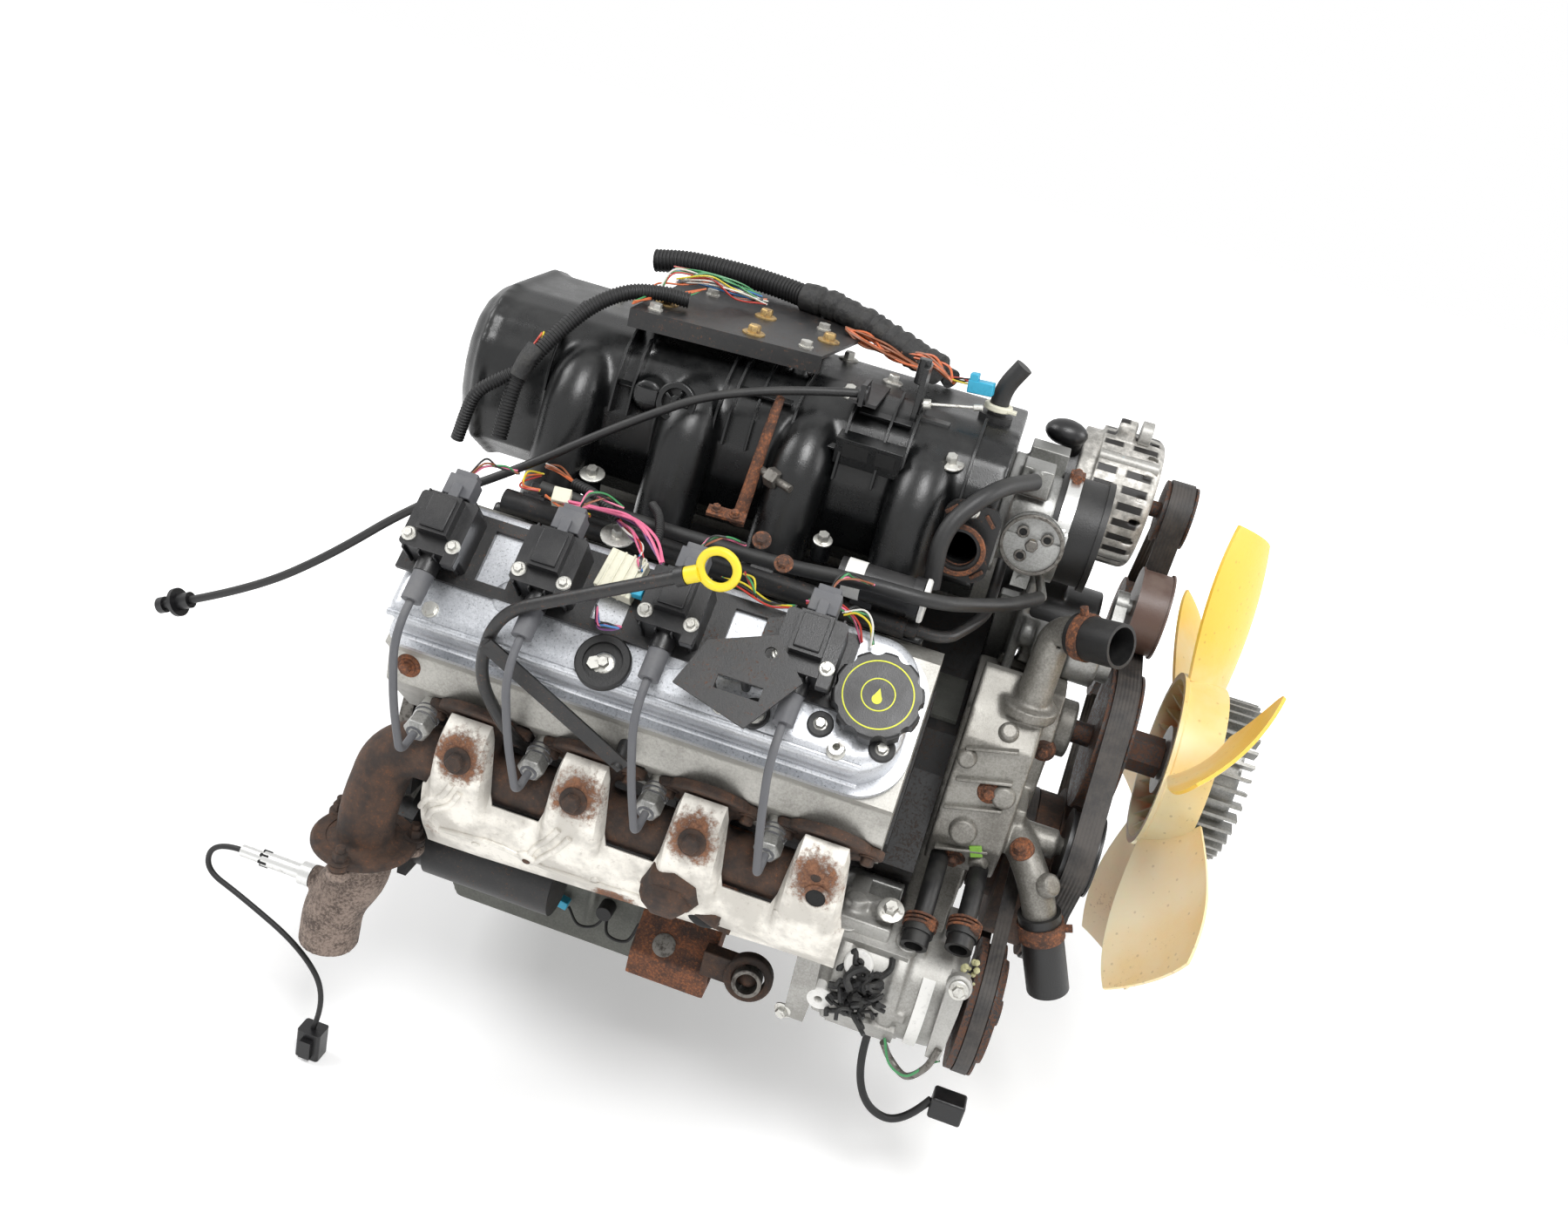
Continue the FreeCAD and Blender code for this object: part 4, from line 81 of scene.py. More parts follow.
backward = Vector((math.sin(CAMERA_TURN) * math.cos(CAMERA_LIFT),
                   -math.cos(CAMERA_TURN) * math.cos(CAMERA_LIFT), math.sin(CAMERA_LIFT)))
level = Vector((math.cos(CAMERA_TURN), math.sin(CAMERA_TURN), 0))
sideways = level * math.cos(CAMERA_ROLL) + backward.cross(level) * math.sin(CAMERA_ROLL)
upward = backward.cross(sideways)

camera_data = bpy.data.cameras.new("camera")
camera_data.sensor_width = CAMERA_SENSOR
camera_data.lens = CAMERA_LENS
camera = bpy.data.objects.new("camera", camera_data)
camera.matrix_world = (Matrix.Translation(CAMERA_TARGET + backward * CAMERA_DISTANCE)
                       @ Matrix((sideways, upward, backward)).transposed().to_4x4())
bpy.context.scene.collection.objects.link(camera)
bpy.context.scene.camera = camera
print("camera stands at", [round(v, 3) for v in camera.location])

# %% [markdown]
# ## The three free cords
#
# The throttle's cable runs off to the rear, the oxygen sensor's lead hangs under the cut exhaust, and a
# short loom hangs below the compressor. Each is a smooth curve through the route that the CAD source gives.
# A curve with a round bevel is chosen over a mesh tube, because its length can still be measured.

# %% Cords


def cord_curve(name, route, radius):
    """A smooth tube along a route in metres; each point's own radius gives the tube its thickness."""
    data = bpy.data.curves.new(name, "CURVE")
    data.dimensions = "3D"
    spline = data.splines.new("NURBS")
    spline.points.add(len(route) - 1)
    for point, place in zip(spline.points, route):
        point.co = (*place, 1)
        point.radius = radius
    spline.order_u = 3
    spline.use_endpoint_u = True
    data.resolution_u = 12
    data.bevel_depth = 1.0
    data.bevel_resolution = 5
    data.use_fill_caps = True
    cord = bpy.data.objects.new(name, data)
    bpy.context.scene.collection.objects.link(cord)
    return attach(cord, "engine")


CABLE_ROUTE = ((0.3377, -0.102, 0.477), (0.232, -0.130, 0.460), (0.144, -0.160, 0.404),
               (0.066, -0.188, 0.344), (-0.018, -0.211, 0.290), (-0.094, -0.229, 0.216),
               (-0.164, -0.235, 0.162), (-0.226, -0.238, 0.130))
SENSOR_ROUTE = ((-0.118, -0.294, -0.091), (-0.150, -0.294, -0.092), (-0.157, -0.296, -0.128),
                (-0.114, -0.299, -0.142), (-0.042, -0.300, -0.178), (-0.008, -0.300, -0.228),
                (-0.020, -0.300, -0.274))
LOOM_ROUTE = ((0.521, -0.214, -0.106), (0.521, -0.218, -0.148), (0.542, -0.232, -0.184),
              (0.580, -0.226, -0.192), (0.600, -0.216, -0.158))
throttle_cord = cord_curve("throttle_cable_cord", CABLE_ROUTE, 0.0040)
sensor_cord = cord_curve("sensor_lead_cord", SENSOR_ROUTE, 0.0028)
loom_cord = cord_curve("compressor_loom_cord", LOOM_ROUTE, 0.0040)
for cord, node, route, length, diameter, end, piece in (
        (throttle_cord, "throttle_cable", CABLE_ROUTE, 0.688, 0.0080, "fitting", "cable_fittings"),
        (sensor_cord, "sensor_lead", SENSOR_ROUTE, 0.288, 0.0056, "connector", "connectors"),
        (loom_cord, "compressor_harness", LOOM_ROUTE, 0.158, 0.0080, "connector", "connectors")):
    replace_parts(cord, node)
print("cords:", throttle_cord.name, sensor_cord.name, loom_cord.name)

# %% [markdown]
# ## Helpers for finishes
#
# A finish is a small node tree. `Wire` wraps one output socket, so that `1 - dust * 0.4` writes its own
# Math nodes, and `Finish.node` makes any other node from its type, its settings and its sockets.

# %% Shader arithmetic


class Wire:
    """One output socket of a finish, with arithmetic."""

    def __init__(self, finish, socket):
        self.finish = finish
        self.socket = socket

    def math(self, operation, *values):
        """A Math node on plain values or other wires."""
        return self.finish.node("ShaderNodeMath", {"operation": operation}, dict(enumerate(values)))

    def __add__(self, other):
        return self.math("ADD", self, other)

    def __sub__(self, other):
        return self.math("SUBTRACT", self, other)

    def __rsub__(self, other):
        return self.math("SUBTRACT", other, self)

    def __mul__(self, other):
        return self.math("MULTIPLY", self, other)

    def __pow__(self, other):
        return self.math("POWER", self, other)

    __radd__ = __add__
    __rmul__ = __mul__


def tone(code):
    """A colour as the eye reads it, such as "8a8a86", in the shader's own linear numbers."""
    parts = [int(code[i:i + 2], 16) / 255 for i in (0, 2, 4)]
    return tuple(p / 12.92 if p <= 0.04045 else ((p + 0.055) / 1.055) ** 2.4 for p in parts) + (1.0,)


print("white is", tone("ffffff")[:3], "and middle grey is", [round(c, 3) for c in tone("808080")[:3]])

# %% [markdown]
# ## One class for every material
#
# Each material here is Blender's Principled shader with a few textures in front of it. The nodes could be
# placed by hand, but the finishes of an engine share the same steps: a noise, a soft step, a mix of two
# tones, a bump. So each step is one method. All of them read Object coordinates, in metres, which keeps a
# lump of rust the same size on a small bolt and on a large manifold.

# %% Finish


class Finish:
    """One material and the nodes that it is built from."""

    def __init__(self, name):
        self.material = bpy.data.materials.new(name)
        self.material.use_nodes = True
        self.tree = self.material.node_tree
        self.shader = self.tree.nodes["Principled BSDF"]
        self.place = self.node("ShaderNodeTexCoord", {}, {}, "Object")

    def node(self, kind, settings, values, output=0):
        """Any node: its settings come first, then the values or links of its sockets."""
        made = self.tree.nodes.new(kind)
        for key, value in settings.items():
            setattr(made, key, value)
        for key, value in values.items():
            self.join(value, made.inputs[key])
        return Wire(self, made.outputs[output])

    def join(self, value, socket):
        """Links a wire to a socket, or writes a plain value there."""
        if isinstance(value, Wire):
            self.tree.links.new(value.socket, socket)
        else:
            socket.default_value = value

    def noise(self, size, detail=4.0, rough=0.6):
        """Cloudy noise whose lumps are about size metres across."""
        return self.node("ShaderNodeTexNoise", {},
                         {"Vector": self.place, "Scale": 1 / size, "Detail": detail, "Roughness": rough})

    def cells(self, size):
        """Distance inside cells about size metres across."""
        return self.node("ShaderNodeTexVoronoi", {}, {"Vector": self.place, "Scale": 1 / size})

    def step(self, wire, low, high):
        """0 below low, 1 above high, and smooth in between."""
        return self.node("ShaderNodeMapRange", {"interpolation_type": "SMOOTHSTEP"},
                         {"Value": wire, "From Min": low, "From Max": high})

    def mix(self, mask, first, second):
        """The first colour where mask is 0 and the second where it is 1."""
        return self.node("ShaderNodeMix", {"data_type": "RGBA"},
                         {"Factor": mask, 6: first, 7: second}, 2)

    def axis(self, name):
        """One of the object's own coordinates, X, Y or Z, in metres."""
        return self.node("ShaderNodeSeparateXYZ", {}, {0: self.place}, name)

    def facing(self, name):
        """One part of the way that the surface faces."""
        normal = self.node("ShaderNodeNewGeometry", {}, {}, "Normal")
        return self.node("ShaderNodeSeparateXYZ", {}, {0: normal}, name)

    def relief(self, height, depth, strength):
        """A bump of that depth in metres."""
        return self.node("ShaderNodeBump", {}, {"Height": height, "Distance": depth, "Strength": strength})

    def surface(self, colour, rough, metal=0.0, bump=None, **more):
        """Fills in the shader; more names other sockets, such as Subsurface_Weight."""
        self.join(colour, self.shader.inputs["Base Color"])
        self.join(rough, self.shader.inputs["Roughness"])
        self.join(metal, self.shader.inputs["Metallic"])
        if bump is not None:
            self.join(bump, self.shader.inputs["Normal"])
        for key, value in more.items():
            self.join(value, self.shader.inputs[key.replace("_", " ")])
        return self.material


print("shader helpers ready")

# %% [markdown]
# ## Castings
#
# Sand-cast and die-cast aluminium is never one grey. It has a fine grain, broad clouds of white oxide,
# and brown or black grime that settles in its hollows. Two small noises give the grain, a broad one gives
# the clouds, and one between them, cut hard, gives the stains. The same dark tone is laid more widely on
# faces that point down, as painted shade. A photographed texture would show seams where it repeats, and
# noise has none.

# %% Aluminium castings


def casting(name, light, dark, stain_and_shade, stained, rough, metal):
    """Weathered cast aluminium: light metal, faint clouds, fine stains over part of it, and painted shade
    below.
    """
    f = Finish(name)
    clouds = f.noise(0.060, 5, 0.55)
    fine = f.noise(0.0022, 6, 0.75)
    blots = f.noise(0.020, 9, 0.80)
    sand = f.noise(0.0009, 2)
    # Faces that point down take more of the dark stain tone: painted shade under the pieces.
    shade_below = f.step(f.facing("Z") * -1, -0.25, 0.9)
    cover = f.step(blots * 0.62 + fine * 0.26 + shade_below * 0.14 + clouds * 0.12, 0.80 - stained * 0.34,
                   0.96 - stained * 0.30)
    metal_tone = f.mix(f.step(clouds * 0.5 + fine * 0.5, 0.34, 0.66), dark, light)
    colour = f.mix(cover * 0.85, metal_tone, stain_and_shade)
    height = sand * 0.5 + fine * 0.5 + cover * 0.12
    return f.surface(colour, f.step(fine, 0.2, 0.9) * 0.18 + cover * 0.28 + rough - 0.10,
                     (1 - cover * 0.8) * metal, f.relief(height, 0.0004, 0.7))


cover_metal = casting("cover_metal", tone("d6d8dc"), tone("a2a5aa"), tone("6c6a67"), 0.24, 0.34, 0.62)
head_metal = casting("head_metal", tone("b9b7b1"), tone("8a8882"), tone("4d463f"), 0.42, 0.46, 0.50)
pump_metal = casting("pump_metal", tone("9d9b95"), tone("66635d"), tone("3a352f"), 0.72, 0.46, 0.50)
grey_metal = casting("grey_metal", tone("a9a9a7"), tone("787874"), tone("484440"), 0.42, 0.40, 0.55)
pale_metal = casting("pale_metal", tone("b4b3af"), tone("8a8883"), tone("544e47"), 0.40, 0.46, 0.40)
sump_metal = casting("sump_metal", tone("6f706a"), tone("4f504b"), tone("33322e"), 0.50, 0.55, 0.35)
print("castings:", [metal.name for metal in (cover_metal, head_metal, pump_metal, grey_metal, pale_metal,
                                             sump_metal)])

# %% [markdown]
# ## Iron and rust
#
# Bare iron near an exhaust scales over in chestnut, orange and near-black flakes, and has no shine left.
# It could be painted by hand, but two noises do it for any shape: a broad one chooses between deep and
# warm brown, and a fine one sprinkles bright flakes over both.

# %% Rust


def rusted(name, deep, warm, bright, orange=0.3, rough=0.85):
    """Scaled iron in three tones, rough and flaky."""
    f = Finish(name)
    broad = f.noise(0.022, 7, 0.65)
    flakes = f.noise(0.0028, 6, 0.75)
    colour = f.mix(f.step(broad + flakes * 0.3, 0.48, 0.80), deep, warm)
    colour = f.mix(f.step(flakes + broad * 0.4, 1.02 - orange, 1.22 - orange), colour, bright)
    return f.surface(colour, flakes * 0.25 + rough - 0.14, 0.0, f.relief(flakes + broad * 0.5, 0.0010, 0.9))


dark_rust = rusted("dark_rust", tone("2f2723"), tone("4e3a2e"), tone("7a4c31"), 0.26)
brown_rust = rusted("brown_rust", tone("3e2e27"), tone("6a4634"), tone("9a5f3c"), 0.34)
pipe_rust = rusted("pipe_rust", tone("4b3f38"), tone("6f6057"), tone("8f7f74"), 0.42, 0.8)
print("rusts:", dark_rust.name, brown_rust.name, pipe_rust.name)

# %% [markdown]
# ## Heat shield
#
# The shield is thin steel with an aluminised skin. Heat has turned it chalky white, and it rusts in
# brown patches, most of all round its bolts and along its lower lip. Each patch is a ball of distance
# from a bolt, broken up with noise, so that the rust follows the bolts wherever they are.

# %% Aluminised steel


def near(f, points, reach):
    """1 at any of the points, falling to 0 at reach metres away."""
    total = None
    for point in points:
        away = f.node("ShaderNodeVectorMath", {"operation": "DISTANCE"}, {0: f.place, 1: point}, "Value")
        close = f.node("ShaderNodeMapRange", {}, {"Value": away, "From Min": 0.0, "From Max": reach,
                                                  "To Min": 1.0, "To Max": 0.0})
        total = close if total is None else total.math("MAXIMUM", total, close)
    return total


def shield_finish(name, spots):
    """White aluminised skin that has rusted round the given spots."""
    f = Finish(name)
    broad = f.noise(0.045, 5, 0.6)
    fine = f.noise(0.006, 7, 0.75)
    streak = f.noise(0.0016, 3)
    chalk = f.mix(f.step(broad, 0.40, 0.62), tone("c4c0b8"), tone("efebe2"))
    chalk = f.mix(f.step(fine, 0.54, 0.74) * 0.5, chalk, tone("8d8478"))
    rust_tone = f.mix(f.step(fine + streak * 0.3, 0.50, 0.85), tone("54382a"), tone("8d6247"))
    patch = near(f, spots, 0.055) * 0.62 + fine * 0.42 + broad * 0.30
    rusty = f.step(patch, 0.66, 0.80)
    colour = f.mix(rusty, chalk, rust_tone)
    return f.surface(colour, rusty * 0.35 + fine * 0.2 + 0.36, (1 - rusty) * 0.35,
                     f.relief(fine * 0.7 + streak * 0.3 + rusty * 0.3, 0.0009, 0.7))


print("shield finish ready")

# %% [markdown]
# ## Plastic, paint and rubber
#
# Black parts differ by their shine and their dust. Moulded nylon has a soft sheen and a fine orange-peel
# grain, paint is smoother and chipped to rust, and rubber is matt with a pale bloom. Dust lies on what
# faces up, so the way that the surface faces is part of the mask.

# %% Black and coloured plastics


def moulded(name, base, dust, rough, dusty, grain=0.0012, depth=0.00025):
    """Moulded plastic with a fine grain and dust on its upper faces."""
    f = Finish(name)
    clouds = f.noise(0.03, 6, 0.7)
    fine = f.noise(grain, 3)
    up = f.step(f.facing("Z"), 0.1, 1.0)
    cover = f.step(clouds, 0.35, 0.75) * (up * 0.75 + 0.25) * dusty
    return f.surface(f.mix(cover, base, dust), clouds * 0.22 + cover * 0.3 + rough - 0.10, 0.0,
                     f.relief(fine, depth, 0.6))


def painted(name, base, chip, rough, chipped):
    """Paint that has chipped through to rust or metal here and there."""
    f = Finish(name)
    clouds = f.noise(0.02, 6, 0.7)
    fine = f.noise(0.0025, 6, 0.75)
    chips = f.step(fine + clouds * 0.5, 1.02 - chipped, 1.08 - chipped)
    worn = f.mix(f.step(clouds, 0.38, 0.75) * 0.35, base, tone("3c3936"))
    return f.surface(f.mix(chips, worn, chip), chips * 0.35 + clouds * 0.2 + rough, 0.0,
                     f.relief(fine - chips * 0.5, 0.0004, 0.6))


nylon_black = moulded("nylon_black", tone("0b0c0d"), tone("3c3c3a"), 0.27, 0.22)
plastic_black = moulded("plastic_black", tone("111113"), tone("383634"), 0.34, 0.3)
matt_black = moulded("matt_black", tone("0f0f10"), tone("2e2d2b"), 0.50, 0.4, 0.0020, 0.0005)
hose_rubber = moulded("hose_rubber", tone("131314"), tone("44433f"), 0.46, 0.38, 0.0016, 0.0004)
grey_silicone = moulded("grey_silicone", tone("55565a"), tone("8a8987"), 0.55, 0.4)
roller_brown = moulded("roller_brown", tone("5b463e"), tone("8a7c72"), 0.40, 0.4)
signal_yellow = moulded("signal_yellow", tone("e6cf2a"), tone("a8934a"), 0.40, 0.4)
satin_paint = painted("satin_paint", tone("131314"), tone("5e4030"), 0.32, 0.14)
block_paint = painted("block_paint", tone("151516"), tone("3c332e"), 0.52, 0.22)
pulley_paint = painted("pulley_paint", tone("201f20"), tone("5a3d2e"), 0.40, 0.30)
print("plastics, rubbers and paints ready")

# %% [markdown]
# ## Bright metal
#
# Screws, clamps and sensors are steel under a thin zinc film, dulled and slightly yellow. A single metal
# tone would look new, so a noise mixes in a duller and rougher one, and takes some of the metal away there.

# %% Steel and brass


def plated(name, light, dark, rough=0.32, tarnish=0.3):
    """Plated steel with dull patches."""
    f = Finish(name)
    clouds = f.noise(0.006, 6, 0.7)
    fine = f.noise(0.0009, 3)
    dull = f.step(clouds, 0.62 - tarnish * 0.4, 0.78 - tarnish * 0.3)
    return f.surface(f.mix(dull, light, dark), dull * 0.3 + fine * 0.15 + rough, (1 - dull * 0.6) * 0.9,
                     f.relief(fine, 0.0002, 0.5))


zinc_steel = plated("zinc_steel", tone("c9c8c2"), tone("85807a"))
bright_steel = plated("bright_steel", tone("d8d8d6"), tone("9a9895"), 0.22, 0.1)
gold_zinc = plated("gold_zinc", tone("b59a68"), tone("6e5640"), 0.36, 0.4)
dark_steel = plated("dark_steel", tone("77746f"), tone("4a443f"), 0.42, 0.4)
brass_metal = plated("brass_metal", tone("b08d4c"), tone("6b5536"), 0.30, 0.3)
print("plated metals ready")

# %% [markdown]
# ## Yellowed nylon
#
# The fan was moulded in white nylon, and heat and age have turned it amber. It is deepest in the upper
# blades and towards their tips. The fan's own axis gives a height and a distance from the hub, and noise
# breaks the change of tone. A painted picture on the blades would show the same, but it would have to be
# fitted to each one.

# %% Fan nylon
FAN_AXIS = (0.0, 0.172)


def fan_nylon():
    """Amber nylon above and cream below, lit a little from within."""
    f = Finish("fan_nylon")
    across = f.axis("Y") - FAN_AXIS[0]
    above = f.axis("Z") - FAN_AXIS[1]
    out = (across * across + above * above) ** 0.5
    broad = f.noise(0.09, 4, 0.5)
    fine = f.noise(0.004, 6, 0.75)
    amber = f.step(above * 2.2 + out * 1.6 + broad * 0.7, 0.28, 0.92)
    warm = f.mix(amber, tone("f0e6c8"), tone("e9bd44"))
    dirt = f.step(fine + broad * 0.5, 0.88, 1.04)
    specks = f.step(f.cells(0.012) * -1, -0.16, -0.08)
    stained = f.mix(dirt * 0.55 + specks * 0.3, warm, tone("7c6238"))
    return f.surface(stained, fine * 0.25 + 0.30, 0.0, f.relief(fine, 0.0004, 0.5),
                     Subsurface_Weight=0.18, Subsurface_Scale=0.012)


aged_nylon = fan_nylon()
print("fan finish:", aged_nylon.name)

# %% [markdown]
# ## Slotted metal and ribbed rubber
#
# The alternator's case is slotted all round. The CAD piece has its deep slots, and a pattern adds the
# shallow ones: the case's own axis gives each point an angle, a sine of that angle makes the slots, and
# they are kept to two bands of its length. The shallow slots get a bump and a near-black tone, which is
# painted shade. The belt's grooves are a sine along X. They are too fine to be worth cutting into the mesh.

# %% Patterned finishes
ALTERNATOR_AXIS = (0.138, 0.382)
SLOTS_ROUND = 26


def slotted_metal(name):
    """Cast aluminium with slots round an axis, painted near-black as shade inside them."""
    f = Finish(name)
    across = f.axis("Y") - ALTERNATOR_AXIS[0]
    above = f.axis("Z") - ALTERNATOR_AXIS[1]
    turn = above.math("ARCTAN2", above, across) * SLOTS_ROUND
    along = f.axis("X")
    wave = turn.math("SINE", turn)
    front = f.step(along, 0.596, 0.599) * (1 - f.step(along, 0.622, 0.625))
    rear = f.step(along, 0.566, 0.569) * (1 - f.step(along, 0.586, 0.589))
    # The shallow slots are painted near-black: painted shade in a recess that the mesh does not cut, with a
    # bump.
    slot = f.step(wave, 0.05, 0.25) * (front + rear)
    fine = f.noise(0.0022, 6, 0.75)
    blots = f.noise(0.016, 7, 0.7)
    pale = f.mix(f.step(blots, 0.38, 0.66), tone("8d8b86"), tone("cfccc6"))
    dusty = f.mix(f.step(fine + blots * 0.4, 0.78, 0.95) * 0.6, pale, tone("6b5648"))
    return f.surface(f.mix(slot, dusty, tone("14110f")), fine * 0.25 + 0.34, (1 - slot) * 0.5,
                     f.relief(fine * 0.3 + (1 - slot) * 1.0, 0.0012, 0.8))


def belt_rubber():
    """Worn black belt with fine grooves along its run."""
    f = Finish("belt_rubber")
    fine = f.noise(0.0016, 5, 0.7)
    broad = f.noise(0.03, 5, 0.7)
    rows = f.axis("X") * (2 * math.pi / 0.0036)
    grooves = rows.math("SINE", rows)
    worn = f.mix(f.step(broad + fine * 0.3, 0.45, 0.8) * 0.5, tone("232222"), tone("56504b"))
    return f.surface(worn, fine * 0.2 + 0.5, 0.0, f.relief(grooves * 0.5 + fine * 0.3, 0.0005, 0.5))


slotted_case = slotted_metal("slotted_case")
belt_black = belt_rubber()
print("patterned finishes:", slotted_case.name, belt_black.name)

# %% [markdown]
# ## Tape, small plastics and wire
#
# Cloth tape is wound in laps, so cells and creases feed one deep bump. The many small plugs and wires are
# only a few pixels wide. One plain tone with a little dirt is enough for them, and a table of tones gives
# every wire its colour.

# %% Tape and plain tones


def wrapped_tape(name):
    """Black cloth tape wound round a loom, with the laps showing."""
    f = Finish(name)
    creases = f.noise(0.010, 8, 0.75)
    laps = f.cells(0.013)
    worn = f.mix(f.step(creases, 0.4, 0.75) * 0.5, tone("161617"), tone("45443f"))
    return f.surface(worn, creases * 0.3 + 0.32, 0.0, f.relief(creases + laps * 0.5, 0.0022, 0.9))


def plain(name, code, rough, metal=0.0):
    """One tone with a little dirt, for small pieces."""
    f = Finish(name)
    dirt = f.step(f.noise(0.004, 6, 0.75), 0.50, 0.80)
    base = tone(code)
    grey = tuple(c * 0.45 for c in base[:3]) + (1.0,)
    return f.surface(f.mix(dirt * 0.55, base, grey), dirt * 0.25 + rough, metal)


loom_tape = wrapped_tape("loom_tape")
ivory_plastic = plain("ivory_plastic", "d9d6c2", 0.42)
white_plastic = plain("white_plastic", "e4e3df", 0.36)
blue_plastic = plain("blue_plastic", "2f9fc0", 0.38)
copper_wire = plain("copper_wire", "a5623c", 0.38, 0.55)
# Near-black for holes, slots and pockets: painted shade standing in for recesses that the mesh lacks.
hole_shade = plain("hole_shade", "0b0b0b", 0.8)
green_plastic = plain("green_plastic", "7fb044", 0.4)
print_yellow = plain("print_yellow", "d8dc3a", 0.5)
crystal = plain("crystal", "b9b68c", 0.6)
WIRE_TONES = {"pink": "dd6f92", "orange": "c9673a", "brown": "8b5234", "green": "3f8a55", "red": "b3362c",
              "yellow": "d6c232", "white": "d4d2cb", "blue": "3a79b5", "black": "1a1a1a", "purple": "76487f"}
wire_skins = {word: plain("wire_" + word, code, 0.38) for word, code in WIRE_TONES.items()}
print("tape, plain plastics and", len(wire_skins), "wire tones ready")

# %% [markdown]
# ## Directions of the leaning bank
#
# Each row of cylinders leans 45 degrees away from the middle. A place on the right row is easier to give
# as so far out from the bores and so far up along them than in Y and Z. A tilted parent object could turn
# one into the other, but a finished piece has its place in its own mesh, so a function does it here. LEAN is
# the sine of 45 degrees, and the cosine too.

# %% Bank directions
LEAN = 0.70711
OUT = Vector((0, -LEAN, -LEAN))
UP = Vector((0, -LEAN, LEAN))
ALONG = Vector((1, 0, 0))


def bank(x, out, up):
    """A place on the right bank: out towards the exhaust side and up from the crank."""
    return Vector((x, -(up + out) * LEAN, (up - out) * LEAN))


print("the oil cap stands near", [round(c) for c in bank(442, 8, 434)])

# %% [markdown]
# ## Smooth lines
#
# Wires and hoses are given by a few places that they pass. Blender's own curves either miss their points or
# need handles at each one, so a smooth line through every place is worked out here. A second function puts
# points on such a line at an even pitch, for the corrugated tubes.

# %% Lines


def curve_through(points, steps=8):
    """Points along a smooth line through the given ones."""
    spots = [Vector(p) for p in points]
    spots = [spots[0] * 2 - spots[1]] + spots + [spots[-1] * 2 - spots[-2]]
    line = []
    for a, b, c, d in zip(spots, spots[1:], spots[2:], spots[3:]):
        for i in range(steps):
            t = i / steps
            line.append(0.5 * (b * 2 + (c - a) * t + (a * 2 - b * 5 + c * 4 - d) * t ** 2
                               + (b * 3 - a - c * 3 + d) * t ** 3))
    return line + [spots[-2]]


def even_steps(line, pitch):
    """The same line again with points that pitch apart."""
    out = [line[0].copy()]
    left = pitch
    for a, b in zip(line, line[1:]):
        run = (b - a).length
        at = left
        while at <= run:
            out.append(a + (b - a) * (at / run))
            at += pitch
        left = at - run
    return out


print("three places become", len(curve_through([(0, 0, 0), (1, 1, 0), (2, 0, 0)])), "points of a line")

# %% [markdown]
# ## Building small pieces
#
# `Shape` gathers simple forms into one mesh. Its numbers are millimetres, as in the CAD source. Round
# forms are a profile spun about a line, boxes and balls start from Blender's own, a plate is an outline
# that is extruded, and a hose is a curve with a round bevel. A corrugated tube is a hose whose points
# grow and shrink in turn.

# %% Shape


def side_of(way):
    """A direction square to a way."""
    helper = Vector((0, 0, 1)) if abs(way.z) < 0.9 else Vector((1, 0, 0))
    return way.cross(helper).normalized()


